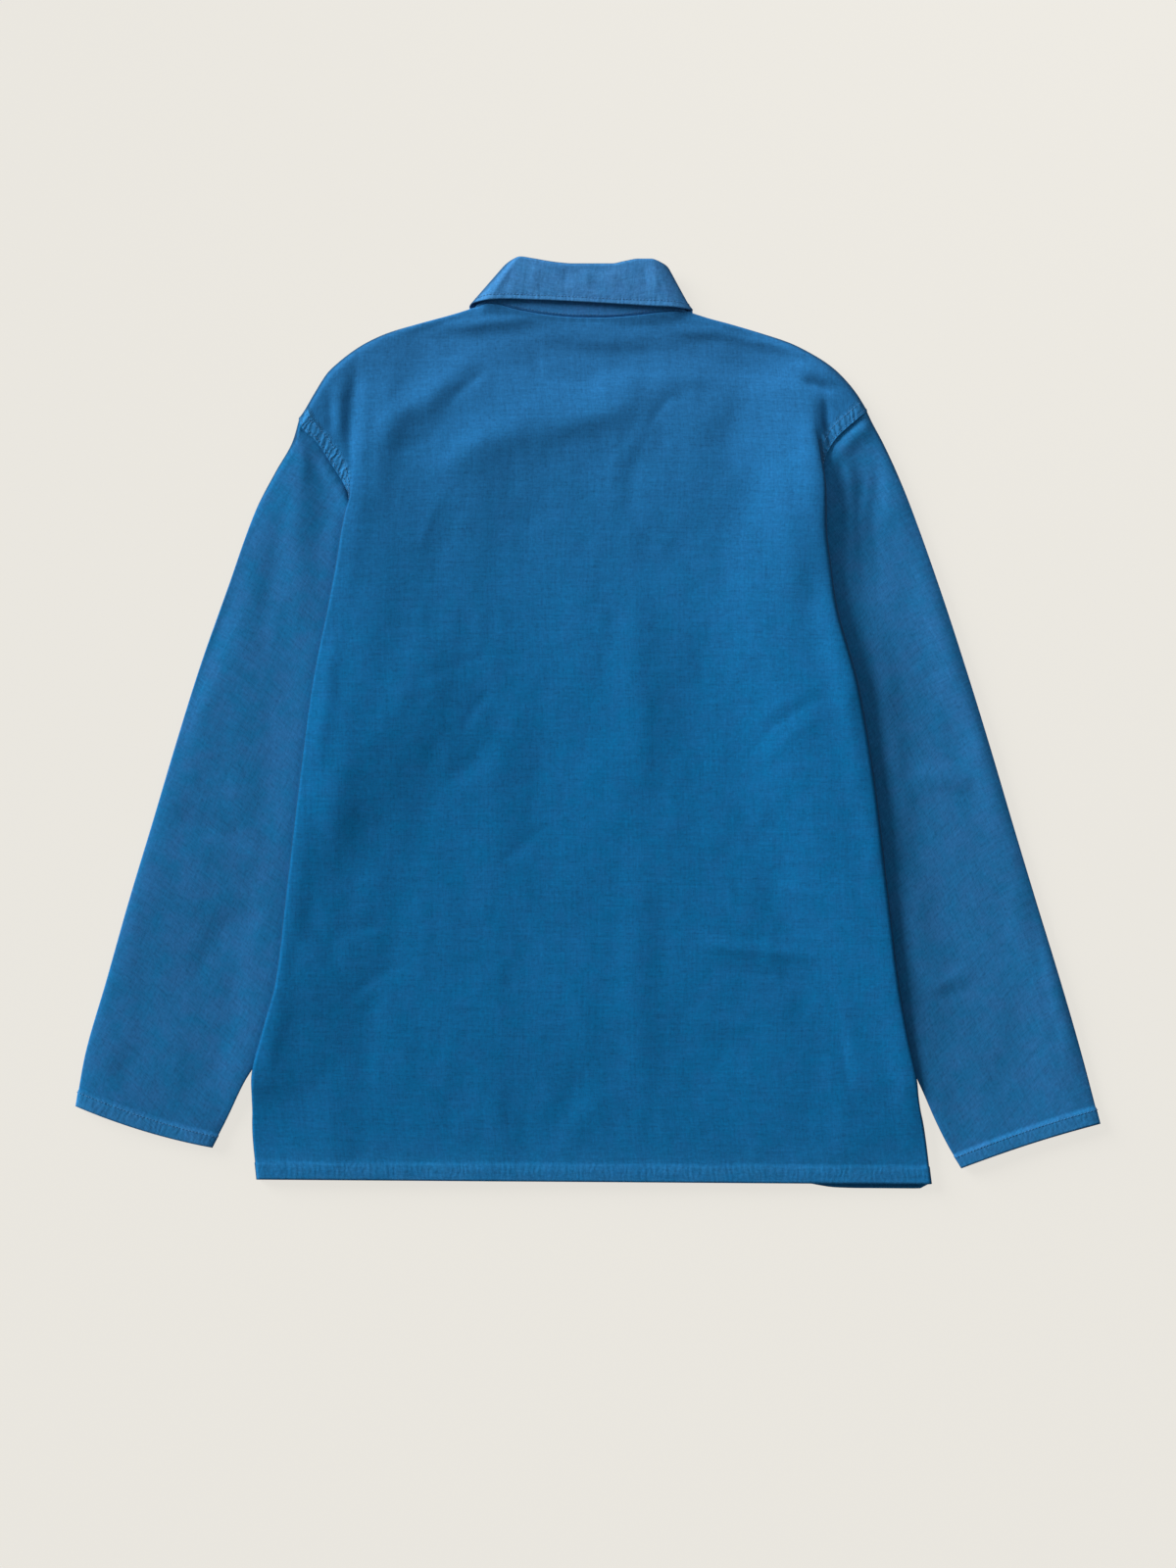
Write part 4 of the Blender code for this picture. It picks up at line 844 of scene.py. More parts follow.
def placed(name: str, data: bpy.types.ID) -> bpy.types.Object:
    """A new object in the scene, with its mesh, lamp or camera.

    Args:
        name: the object's name.
        data: what it shows.

    Returns:
        The object.
    """
    made = bpy.data.objects.new(name, data)
    bpy.context.scene.collection.objects.link(made)
    return made


@dataclass
class Sheet:
    """A grid of points of cloth and what its material reads at each of them."""

    points: Array
    grain: Array
    # worn places, and where a piece asks for it a paler tone as painted light
    wear: Array
    pucker: Array
    along: Array
    hem: Array

    @classmethod
    def plain(cls, points: Array) -> Sheet:
        """A sheet with no hem, wear or puckers, its grain by length along rows and columns.

        Args:
            points: one point for each row and column.

        Returns:
            The sheet.
        """
        rows, columns = points.shape[:2]
        middle_row, middle = rows // 2, columns // 2
        steps = np.linalg.norm(np.diff(points, axis=1), axis=2)
        across = np.concatenate([np.zeros((rows, 1)), np.cumsum(steps, axis=1)], axis=1)
        across = across - across[:, middle:middle + 1]
        falls = np.linalg.norm(np.diff(points, axis=0), axis=2)
        down = np.concatenate([np.zeros((1, columns)), np.cumsum(falls, axis=0)], axis=0)
        down = down - down[middle_row:middle_row + 1, :]
        grain = np.stack([across, -down], axis=2)
        empty = np.zeros((rows, columns))
        return cls(points, grain, empty.copy(), empty.copy(), empty.copy(), empty.copy())

    def turned(self) -> Array:
        """1 where the cloth stands on edge at a fold, 0 where it lies flat; there the twill paints
        shade.
        """
        level = np.abs(side_normals(self.points)[..., 2])
        return smooth_step((EDGE_SHADE_FLAT - level) / EDGE_SHADE_SPAN)

    def area(self) -> float:
        """Area of the sheet in square metres.

        Returns:
            The area.
        """
        corner = self.points[:-1, :-1]
        first = np.cross(self.points[1:, :-1] - corner, self.points[1:, 1:] - corner)
        second = np.cross(self.points[1:, 1:] - corner, self.points[:-1, 1:] - corner)
        total = np.linalg.norm(first, axis=2) + np.linalg.norm(second, axis=2)
        return float(total.sum()) / 2 * MM * MM

    def mesh(self, name: str, closed: bool = False) -> bpy.types.Mesh:
        """Mesh of the sheet.

        Args:
            name: the mesh's name.
            closed: the last column is the first one again, as round a tube.

        Returns:
            A mesh in metres with the grain as its UV map, and its other values as attributes.
        """
        rows, columns = self.points.shape[:2]
        kept = columns - 1 if closed else columns
        index = np.arange(rows * kept).reshape(rows, kept)
        here = index if closed else index[:, :-1]
        beside = np.roll(index, -1, axis=1) if closed else index[:, 1:]
        quads = np.stack([here[:-1], here[1:], beside[1:], beside[:-1]], axis=2).reshape(-1, 4)
        made = bpy.data.meshes.new(name)
        points = self.points[:, :kept].reshape(-1, 3) * MM
        made.vertices.add(len(points))
        made.vertices.foreach_set("co", points.ravel())
        made.loops.add(quads.size)
        made.loops.foreach_set("vertex_index", quads.ravel())
        made.polygons.add(len(quads))
        made.polygons.foreach_set("loop_start", np.arange(0, quads.size, 4))
        made.update(calc_edges=True)
        corners = np.stack([self.grain[:-1, :-1], self.grain[1:, :-1], self.grain[1:, 1:],
                            self.grain[:-1, 1:]], axis=2)
        layer = made.uv_layers.new(name="grain")
        layer.data.foreach_set("uv", (corners * MM).ravel())
        # the turn attribute marks cloth on edge, which the twill paints darker as painted shade
        for label in ("wear", "pucker", "along", "turn"):
            values = self.turned() if label == "turn" else getattr(self, label)
            stored = made.attributes.new(label, "FLOAT", "POINT")
            stored.data.foreach_set("value", values[:, :kept].astype(np.float32).ravel())
        made.shade_smooth()
        made.validate()
        return made

    def hem_points(self, closed: bool = False) -> list[int]:
        """Indices of the mesh's points that lie in a turned hem."""
        kept = self.hem[:, :-1] if closed else self.hem
        return [int(index) for index in np.flatnonzero(kept.ravel() > 0.5)]


def sewn_piece(name: str, sheet: Sheet, material: bpy.types.Material, thick: float = CLOTH,
               hem_thick: float = HEM_CLOTH, closed: bool = False) -> bpy.types.Object:
    """Cloth object made from a sheet: its wall is thicker in the turned hem.

    Args:
        name: the object's name.
        sheet: its points and values.
        material: the finish.
        thick: thickness of one layer, in millimetres.
        hem_thick: thickness of the turned hem.
        closed: the sheet is a tube.

    Returns:
        The object, with its wall made and no modifier left on it.
    """
    piece = placed(name, sheet.mesh(name, closed))
    piece.data.materials.append(material)
    wall = piece.modifiers.new("wall", "SOLIDIFY")
    wall.thickness = hem_thick * MM
    wall.offset = 0.0
    group = piece.vertex_groups.new(name="hem")
    group.add(sheet.hem_points(closed), 1.0, "REPLACE")
    wall.vertex_group = group.name
    wall.thickness_vertex_group = thick / hem_thick
    return made_plain(piece)


def made_plain(piece: bpy.types.Object) -> bpy.types.Object:
    """The object with what its modifiers make as its own mesh, and no modifier left.

    Args:
        piece: the object.

    Returns:
        The same object.
    """
    graph = bpy.context.evaluated_depsgraph_get()
    made = bpy.data.meshes.new_from_object(piece.evaluated_get(graph), depsgraph=graph)
    old = piece.data
    piece.modifiers.clear()
    piece.vertex_groups.clear()
    piece.data = made
    made.name = piece.name
    if old.users == 0:
        bpy.data.meshes.remove(old)
    return piece


# ---------------------------------------------------------------- form of the body ----
class Side:
    """One side of the body: its fold line, armhole and side seam, measured outwards."""

    def __init__(self, sign: int, fold: str, ridge: str, armhole: Sequence[Spot],
                 side_seam: Sequence[Spot], shoulder: Sequence[Spot]) -> None:
        """Read the side's curves.

        Args:
            sign: -1 for the wearer's left, 1 for the right.
            fold: the column of LEVELS with the fold's outline.
            ridge: the column of LEVELS with the fold's height.
            armhole: armhole seam, shoulder to armpit.
            side_seam: side seam, armpit to hem.
            shoulder: outline from the collar to the armhole seam.
        """
        self.sign = sign
        self.fold_x = through(LEVELS, fold)
        self.ridge = through(LEVELS, ridge)
        self.armhole_x = through(armhole, "x")
        self.side_x = through(side_seam, "x")
        self.shoulder_x = through(shoulder, "x")
        self.shoulder_y = through(shoulder, "y", key="x")
        self.top_y = armhole[0].y

    def seam_y(self, row: Array) -> Array:
        """Place along Y where a row of the panels meets the armhole or side seam."""
        upper = mix(self.top_y, CROSS_BACK_Y, np.minimum(row, 1.0))
        return np.where(row < 1, upper, level_y(row, self.sign))

    def seam_out(self, row: Array) -> Array:
        """Distance out to the seam at a row."""
        y = self.seam_y(row)
        return self.sign * np.where(row <= 2, self.armhole_x(y), self.side_x(y))

    def fold_y(self, row: Array) -> Array:
        """Place along Y where a row of the panels meets the side fold."""
        upper = mix(RIDGE_START_Y, CROSS_BACK_Y, np.minimum(row, 1.0))
        return np.where(row < 1, upper, level_y(row, self.sign))

    def fold_out(self, row: Array) -> Array:
        """Distance out to the middle of the cloth at the side fold."""
        return self.sign * self.fold_x(self.fold_y(row)) - CLOTH / 2

    def armhole_line(self) -> Array:
        """The armhole seam as a line of points x, y from shoulder to armpit.

        Returns:
            The points, one x, y for each row.
        """
        rows = np.linspace(0, 2, 60)
        y, out = self.plan(rows, np.ones(60), self.seam_out(rows))
        return np.column_stack([self.sign * out, y])

    def plan(self, row: Array, step: Array, out: Array) -> tuple[Array, Array]:
        """Place along Y, and the bulge of the shoulder's outline added to a distance out.

        Args:
            row: rows of the panel, 0 at its top edge.
            step: 0 at the side fold, 1 at the seam.
            out: distances out.

        Returns:
            Places along Y, and distances out with the bulge.
        """
        y = mix(self.fold_y(row), self.seam_y(row), step)
        outline_y = mix(RIDGE_START_Y, self.top_y, step)
        straight = mix(self.sign * self.shoulder_x(RIDGE_START_Y),
                       self.sign * self.shoulder_x(self.top_y), step)
        bulge = self.sign * self.shoulder_x(outline_y) - straight
        return y, out + bulge * (1 - np.minimum(row, 1.0)) ** 2


def level_y(row: Array, sign: int) -> Array:
    """Level of a row below the cross back: 1 at that line, 2 at the armpit, 3 at the hem.

    Args:
        row: rows of the panel, 0 at its top edge.
        sign: -1 for the wearer's left side, 1 for the right.

    Returns:
        Places along Y.
    """
    hem = HEM_LEFT_Y if sign < 0 else HEM_RIGHT_Y
    upper = mix(CROSS_BACK_Y, ARMPIT_Y, np.clip(row, 1, 2) - 1)
    lower = mix(ARMPIT_Y, hem, np.clip(row, 2, 3) - 2)
    return np.where(row < 2, upper, lower)


LEFT = Side(-1, "fold_left", "ridge_left", ARMHOLE_LEFT, SIDE_SEAM_LEFT, SHOULDER_LEFT)
RIGHT = Side(1, "fold_right", "ridge_right", ARMHOLE_RIGHT, SIDE_SEAM_RIGHT, SHOULDER_RIGHT)
SEAM_HEIGHT = through(SIDE_SEAM_HEIGHT, "z")
MIDDLE_HEIGHT = through([Height(level.y, level.middle + float(through(MIDDLE_LIFT, "z")(level.y)))
                         for level in LEVELS], "z")
SAG_START = through(SAG_INSET, "z")
NECK_Y = through(NECK_BACK, "y", key="x")
BODY_LENGTH = ARMPIT_Y - HEM_LEFT_Y


def side_section(side: Side, row: Array, step: Array, start: Array, top: Array,
                 tuck_level: Array, seam_height: Array, inset: Array) -> Place:
    """Cloth from a side fold to its seam: laid outwards, turned down, or tucked under.

    Args:
        side: the side of the body.
        row: row of the panel.
        step: 0 at the fold, 1 at the seam.
        start: distance out to where the fold's turn begins.
        top: height of the cloth there.
        tuck_level: height of the tucked layer.
        seam_height: height of the seam.
        inset: how far inside the body's fold this panel's fold lies.

    Returns:
        Distance out, height, and the share of the section that is laid outwards.
    """
    fold = side.fold_out(row) - inset
    seam = side.seam_out(row)
    tuck = fold - seam
    laid_out = mix(start, seam, step)
    laid_high = mix(top, seam_height, smooth_step(step))
    quarter = step * np.pi / 2
    turned_out = start + (fold - start) * np.sin(quarter) + (seam - fold) * step**2
    turned_high = seam_height + (top - seam_height) * np.cos(quarter)
    half_turn = np.clip(step / TURN_END, 0, 1) * np.pi
    run = np.clip((step - TURN_END) / (RUN_END - TURN_END), 0, 1)
    last_turn = np.clip((step - RUN_END) / (1 - RUN_END), 0, 1) * np.pi / 2
    inner_turn = SIDE_ROUND * np.clip(tuck / (TUCK_START + TUCK_WIDTH), 0, 1)
    folded_out = np.where(
        step <= TURN_END,
        start + (fold - start) * np.sin(half_turn),
        mix(start, seam + inner_turn, run) - inner_turn * np.sin(last_turn),
    )
    folded_high = np.where(
        step <= RUN_END,
        mix(top, tuck_level, (1 - np.cos(half_turn)) / 2),
        seam_height + (tuck_level - seam_height) * np.cos(last_turn),
    )
    laid = smooth_step(-tuck / LAID_WIDTH)
    folded = smooth_step((tuck - TUCK_START) / TUCK_WIDTH)
    turned = 1 - laid - folded
    out = laid * laid_out + turned * turned_out + folded * folded_out
    high = laid * laid_high + turned * turned_high + folded * folded_high
    return out, high, laid


def armpit_share(row: Array) -> Array:
    """0 along the armhole, rising to 1 at the armpit and along the side seam."""
    return 1 - np.sqrt(1 - np.clip((row - ARMPIT_ROW) / (2 - ARMPIT_ROW), 0, 1) ** 2)


def hem_row(edge: float) -> float:
    """Row of a panel that lies so far from the hem's edge."""
    return 3 - edge / BODY_LENGTH


def hem_share(row: Array) -> Array:
    """1 in the turned hem, 0 above it."""
    return np.where(row > hem_row(HEM_WIDTH + HEM_STEP / 2), 1.0, 0.0)


def worn_hem(edge: Array) -> Array:
    """1 in the hem and just above its stitches, 0 farther from its edge."""
    return smooth_step((HEM_WIDTH + 2 - edge) / 3)


def pulled_hem(edge: Array) -> Array:
    """1 where a hem's stitches pull the cloth most, at a distance from its edge."""
    return bell(edge - HEM_WIDTH + 5, 7.0)


def shoulder_turn(distance: Array) -> Array:
    """Share of a panel's height that is left at a distance from the shoulder seam."""
    return np.sqrt(1 - (1 - np.clip(distance / SHOULDER_ROUND, 0, 1)) ** 2)


def turned_edge(x: Array) -> Array:
    """1 along the shoulders, where panels turn down to their seam, 0 along the neck."""
    from_neck = np.minimum(x - NECK_BACK[0].x, NECK_BACK[-1].x - x)
    return 1 - smooth_step(from_neck / LAID_WIDTH)


def hem_relief(edge: Array, along: Array, seed: int) -> Array:
    """Height that a turned hem adds, at a distance from its edge.

    Args:
        edge: distance from the hem's edge.
        along: place along the hem.
        seed: which hem, so that no two pucker alike.

    Returns:
        The added height: a raised turning with puckers, and a groove at its stitches.
    """
    inside = smooth_step((HEM_WIDTH + 1 - edge) / 3)
    row = bell(edge - HEM_WIDTH + 1.5, 1.6)
    pulled = bell(edge - HEM_WIDTH + 4.5, 6.5)
    above = bell(edge - HEM_WIDTH - 1.5, 5.0)
    slanted = along + HEM_SLANT * edge
    drawn = unevenness(along, edge * 0 + 3.5, HEM_SWELL_SIZE, seed + 9)
    swell = HEM_SWELL + HEM_UNEVEN * drawn
    waves = 0.0
    for wave in HEM_PUCKERS:
        wave_at = puckers(slanted, wave.pitch, seed + wave.seed)
        waves = waves + wave_at * pulled * wave.height * swell
    lift = HEM_WAVE.height * unevenness(along, edge * 0, HEM_WAVE.size, seed + HEM_WAVE.seed)
    lift = lift * smooth_step((HEM_WAVE_REACH - edge) / HEM_WAVE_REACH)
    echo = gathers(HEM_ECHO, along, seed) * above
    return HEM_RISE * inside - HEM_GROOVE * row + waves + echo + lift


def spread(marks: Sequence[tuple[float, int]], start: float) -> Array:
    """Places from start through marks, each reached in so many equal steps.

    Args:
        marks: each place, and the steps that lead to it.
        start: the first place.

    Returns:
        All places.
    """
    places = [start]
    for end, count in marks:
        places.extend(np.linspace(places[-1], end, count + 1)[1:])
    return np.array(places)


def over_strip(x: Array) -> Array:
    """1 over the buttons and the lap of the closed front, 0 beside them."""
    return 1 - smooth_step((np.abs(x) - STRIP_HALF) / STRIP_FADE)


def over_fall(x: Array, y: Array) -> Array:
    """1 where the fronts lie over the collar's fall, 0 elsewhere."""
    reach = smooth_step((y - FALL_REACH_Y) / FALL_EASE)
    return reach * smooth_step((FALL_REACH_X - np.abs(x)) / FALL_EASE)


def over_pockets(x: Array, y: Array) -> Array:
    """1 over the pockets, 0 away from them.

    Args:
        x: places along X.
        y: places along Y.

    Returns:
        A share for each point.
    """
    total = np.zeros(np.broadcast(x, y).shape)
    for pocket in POCKETS:
        beside = np.maximum(pocket.left - x, x - pocket.right) - POCKET_MARGIN
        above = np.maximum(pocket.bottom - y, y - pocket.top) - POCKET_MARGIN
        outside = np.maximum(np.maximum(beside, above), 0)
        total = np.maximum(total, 1 - smooth_step(outside / POCKET_EASE))
    return total


@dataclass
class BackPanel:
    """The back: one panel from side seam to side seam, its sides tucked under."""

    name: str = "cloth_back"
    node: str = "back"
    flat_width: float = 0.700
    flat_length: float = 0.762
    middle_columns: int = 146
    wave_share: float = 1.0
    creases: Sequence[Crease] = field(default_factory=lambda: BACK_CREASES)

    def station_x(self, share: Array) -> Array:
        """Where the top edge's columns stand: shoulder, neck, shoulder.

        Args:
            share: shares of the top edge.

        Returns:
            Places along X.
        """
        count = 2 * SHOULDER_COLUMNS + NECK_COLUMNS
        marks = (0.0, SHOULDER_COLUMNS / count, 1 - SHOULDER_COLUMNS / count, 1.0)
        places = (float(LEFT.shoulder_x(RIDGE_START_Y)), NECK_BACK[0].x, NECK_BACK[-1].x,
                  float(RIGHT.shoulder_x(RIDGE_START_Y)))
        return np.interp(share, marks, places)

    def top_y(self, x: Array) -> Array:
        """Upper edge: both shoulders and the neck seam."""
        middle = np.where(x > NECK_BACK[-1].x, RIGHT.shoulder_y(x), NECK_Y(x))
        return np.where(x < NECK_BACK[0].x, LEFT.shoulder_y(x), middle)

    @staticmethod
    def sagging(x: Array, y: Array, starts: Sequence[Array]) -> Array:
        """Height of the top layer, which sags from its side folds to the middle.

        Args:
            x: places along X.
            y: places along Y.
            starts: how far out the layer bends down, left and right.

        Returns:
            The height at each point.
        """
        middle = MIDDLE_HEIGHT(y)
        height = middle
        for side, gap in ((LEFT, x + starts[0]), (RIGHT, starts[1] - x)):
            inset = SAG_START(y)
            sag = smooth_step((gap - inset) / (inset + SAG_WIDTH))
            height = height + (side.ridge(y) - middle) * (1 - sag)
        return height

    def relief(self, x: Array, y: Array) -> Array:
        """Swells, creases and the cloth's own unevenness, with none at the neck.

        Args:
            x: places along X.
            y: places along Y.

        Returns:
            The added height.
        """
        waves = with_waves(with_waves(0.0, BODY_WAVES, x, y), BODY_NUBS, y, x)
        low = smooth_step((y - HEM_LEFT_Y) / HEM_EASE)
        high = smooth_step((self.top_y(x) - y) / NECK_REACH)
        relief = creases_at(self.creases, x, y) + self.wave_share * waves
        return relief * (HELD_FLAT + (1 - HELD_FLAT) * low) * high

    @staticmethod
    def under(x: Array, y: Array) -> Array:
        """Least height of the back over the fronts, their pockets and the tucked sides.

        Args:
            x: places along X.
            y: places along Y.

        Returns:
            The least height at each point.
        """
        raised = np.maximum(POCKET_LIFT * over_pockets(x, y), COLLAR_LIFT * over_fall(x, y))
        raised = np.maximum(raised, (BUTTON_LIFT + FRONT_LAP) * over_strip(x))
        gap = np.minimum(x - LEFT.fold_x(y), RIGHT.fold_x(y) - x)
        tucked = smooth_step((TUCK_REACH - gap) / TUCK_FADE)
        tucked = tucked * smooth_step((TUCK_TOP_Y - y) / TUCK_RISE)
        return np.maximum(FLOOR_LAYER + raised, BACK_RETURN * tucked) + CLOTH + FRONT_ROOM

    def kept_clear(self, relief: Array, base: Array, x: Array, y: Array) -> Array:
        """Relief whose troughs level out before they reach the layers beneath."""
        room = np.maximum(base - self.under(x, y), LEAST_ROOM)
        return np.where(relief < 0, -room * np.tanh(-relief / room), relief)

    def point(self, column: Array, row: Array) -> Place:
        """Point of the back. Column -1..0 left of the fold, 0..1 across, 1..2 right of it.

        Args:
            column: columns of the piece.
            row: rows of the panel, 0 at its top edge.

        Returns:
            X, Y and Z of each point.
        """
        across = np.clip(column, 0, 1)
        starts = []
        for side in (LEFT, RIGHT):
            top = side.ridge(side.fold_y(row))
            tuck_level = np.minimum(BACK_RETURN, top - FOLD_ROOM)
            width = np.maximum((top - tuck_level) / 2, FOLD_ROUND)
            starts.append((side.fold_out(row) - width, top, tuck_level))
        station = self.station_x(across)
        top_y = self.top_y(station)
        low = mix(level_y(row, -1), level_y(row, 1), across)
        upper = np.minimum(row, 1.0)
        y = np.where(row < 1, mix(top_y, CROSS_BACK_Y, upper), low)
        x = mix(station, mix(-starts[0][0], starts[1][0], across), smooth_step(upper))
        z = self.sagging(x, y, (starts[0][0], starts[1][0]))
        z = z + self.kept_clear(self.relief(x, y), z, x, y)
        distance = upper * (top_y - CROSS_BACK_Y)
        neck = mix(z, NECK_SEAM_BACK, smooth_step(1 - distance / NECK_EASE))
        high = SHOULDER_SEAM + SHOULDER_EDGES / 2
        z = mix(neck, high + (z - high) * shoulder_turn(distance), turned_edge(station))
        for side, beyond, (start, top, tuck_level) in (
                (LEFT, -column, starts[0]), (RIGHT, column - 1, starts[1])):
            step = np.clip(beyond, 0, 1)
            lower_seam = SEAM_HEIGHT(side.seam_y(row)) + SEAM_EDGES / 2
            seam_height = mix(BACK_RETURN, lower_seam, armpit_share(row))
            shoulder = side.sign * float(side.shoulder_x(RIDGE_START_Y))
            joined = mix(shoulder, start, smooth_step(upper))
            out, side_high, laid = side_section(
                side, row, step, joined, top, tuck_level, seam_height, np.zeros_like(row))
            side_y, out = side.plan(row, step, out)
            fold_y = side.fold_y(row)
            carried = self.relief(side.sign * start, fold_y)
            carried = self.kept_clear(carried, top, side.sign * start, fold_y)
            carried = carried * (1 + np.cos(np.clip(step / TURN_END, 0, 1) * np.pi)) / 2
            laid_relief = self.relief(side.sign * out, side_y)
            laid_relief = self.kept_clear(laid_relief, side_high, side.sign * out, side_y)
            side_high = side_high + mix(carried, laid_relief, laid)
            reach = upper * (mix(RIDGE_START_Y, side.top_y, step) - CROSS_BACK_Y)
            turned = high + (side_high - high) * shoulder_turn(reach)
            side_high = np.where(row < 1, turned, side_high)
            band = self.armhole_band(side, row, step, side.sign * out, side_y)
            side_high = side_high + band * smooth_step((out - joined) / BAND_TUCK)
            x = np.where(beyond > 0, side.sign * out, x)
            y = np.where(beyond > 0, side_y, y)
            z = np.where(beyond > 0, side_high, z)
        edge = (3 - row) * BODY_LENGTH
        z = z + hem_relief(edge, x + ALONG_START, 31)
        neck_pull = bell(distance, NECK_PULL) * (1 - turned_edge(station))
        neck = gathers(NECK_PUCKERS, x + GATHER_START)
        z = z + neck * neck_pull * np.where(row < 1, 1.0, 0.0)
        return x, y, z

    def armhole_band(self, side: Side, row: Array, step: Array, x: Array, y: Array) -> Array:
        """Height of the felled band along the armhole seam, puckered between its stitches.

        Args:
            side: the side of the body.
            row: rows of the panel, 0 at its top edge.
            step: 0 at the side fold, 1 at the seam.
            x: places along X.
            y: places along Y.

        Returns:
            The added height.
        """
        seam_x = side.sign * side.plan(row, np.ones_like(row), side.seam_out(row))[1]
        near = (np.abs(x - seam_x) < BAND_NEAR) & (step > 0) & (row < 2)
        height = np.zeros(np.broadcast(x, y).shape)
        if near.any():
            gap, along, _ = nearest_on(side.armhole_line(), x[near], y[near])
            band = smooth_step((BAND_WIDTH + BAND_EDGE / 2 - gap) / BAND_EDGE)
            pull = bell(gap - BAND_WIDTH / 2, BAND_PULL)
            slant = along + BAND_SLANT * gap
            waves = sum(gathers(kind, slant) for kind in BAND_PUCKERS)
            grooves = sum(bell(gap - away, GROOVE_WIDTH) for away in BAND_ROWS)
            height[near] = BAND_RISE * band + waves * pull - BAND_GROOVE * grooves
        laid = smooth_step((side.seam_out(row) - side.fold_out(row) + BAND_LAID) / BAND_LAID)
        return height * laid * smooth_step(row / BAND_TOP)

    def sheet(self) -> Sheet:
        """The panel's grid of points, with its wear and puckers.

        Returns:
            The points, and what the material reads at each.
        """
        rows = spread(((TURNED_ROWS, 8), (1.0, 46), (2.0, 42), (hem_row(HEM_WIDTH + 10), 138),
                       (hem_row(HEM_WIDTH + HEM_STEP), 4), (hem_row(HEM_WIDTH), 1), (3.0, 7)), 0.0)
        beyond = np.array(BACK_STEPS)
        columns = np.concatenate([-beyond[::-1], np.linspace(0, 1, self.middle_columns + 1),
                                  1 + beyond])
        column, row = np.meshgrid(columns, rows)
        x, y, z = self.point(column, row)
        sheet = Sheet.plain(np.stack([x, y, z], axis=2))
        edge = (3 - row) * BODY_LENGTH
        hem = worn_hem(edge)
        sheet.hem = hem_share(row)
        sheet.wear = HEM_WEAR * hem + EDGE_WEAR * bell(edge, 1.6)
        above = np.exp(-np.maximum(edge - HEM_WIDTH, 0) / ABOVE_FADE)
        sheet.wear = sheet.wear + ABOVE_WEAR * above * (1 - hem)
        sheet.along = x + ALONG_START
        sheet.pucker = BACK_HEM_PULL * pulled_hem(edge)
        for side, beyond_fold in ((LEFT, -column), (RIGHT, column - 1)):
            gap, along, _ = nearest_on(side.armhole_line(), x, y)
            near = (beyond_fold > 0) & (row < 2)
            fold_x = mix(float(side.shoulder_x(RIDGE_START_Y)), side.sign * side.fold_out(row),
                         np.minimum(row, 1.0))
            free = smooth_step((side.sign * (x - fold_x) + 2) / BAND_TUCK)
            band = np.where(near, smooth_step((BAND_WIDTH + 2 - gap) / 3) * free, 0.0)
            sheet.wear = np.maximum(sheet.wear, BAND_WEAR * band)
            sheet.pucker = np.maximum(sheet.pucker, band)
            sheet.along = np.where(band > 0, along + 0.5 * gap, sheet.along)
        return sheet

    def stitch_lines(self) -> list[Array]:
        """Rows of stitches on the panel: hem and both armhole bands.

        Returns:
            One line of points for each row of stitches.
        """
        across = np.linspace(-0.97, 1.97, 700)
        hem = np.full_like(across, hem_row(HEM_ROW))
        lines = [lifted(self.point, across, hem, 1)]
        for side in (LEFT, RIGHT):
            for away in BAND_ROWS:
                rows = np.linspace(0.03, 1.6, 260)
                steps = self.steps_at(side, rows, away)
                column = -steps if side.sign < 0 else 1 + steps
                lines.append(lifted(self.point, column, rows, 1))
        return lines

    def steps_at(self, side: Side, rows: Array, away: float) -> Array:
        """Step beyond a side fold that lies so far from the seam, for each row.

        Args:
            side: the side of the body.
            rows: rows of the panel, 0 at its top edge.
            away: distance from the seam.

        Returns:
            A step for each row.
        """
        steps = np.linspace(0.55, 1.0, 80)
        step, row = np.meshgrid(steps, rows)
        column = -step if side.sign < 0 else 1 + step
        x, y, _ = self.point(column, row)
        gap = np.hypot(x - x[:, -1:], y - y[:, -1:])
        return np.array([np.interp(away, line[::-1], steps[::-1]) for line in gap])


def lifted(at: PointAt, column: Array, row: Array, sign: int,
           height: float = THREAD_LIFT) -> Array:
    """Points on the outer face of a piece.

    Args:
        at: the piece's point function.
        column: columns of the points.
        row: rows of the points.
        sign: which face, 1 where rows and columns turn to it.
        height: distance from the middle of the cloth.

    Returns:
        One point for each column and row.
    """
    small = 0.002
    here = np.stack(at(column, row), axis=1)
    down = np.stack(at(column, row + small), axis=1) - np.stack(at(column, row - small), axis=1)
    across = np.stack(at(column + small, row), axis=1) - np.stack(at(column - small, row), axis=1)
    normal = np.cross(down, across)
    length = np.linalg.norm(normal, axis=1, keepdims=True)
    return here + sign * height * normal / np.maximum(length, 1e-9)


def collar_front(is_left: bool) -> list[NeckStation]:
    """The collar's front stations, turned over for the wearer's right half.

    Args:
        is_left: whether the wearer's left half is wanted.

    Returns:
        Stations from shoulder to centre front.
    """
    if is_left:
        return list(COLLAR_FRONT)
    turned = []
    for station in COLLAR_FRONT:
        share = (station.seam_y - FRONT_NECK_Y) / (NECK_BACK[0].y - FRONT_NECK_Y)
        shift = mix(0.0, 2 * (COLLAR_MIDDLE + COLLAR_LEAN), share)
        turned.append(NeckStation(-station.seam_x + shift, station.seam_y - 1,
                                  -station.roll_x + COLLAR_MIDDLE, station.roll_y,
                                  -station.edge_x + shift, station.edge_y - 1))
    return turned


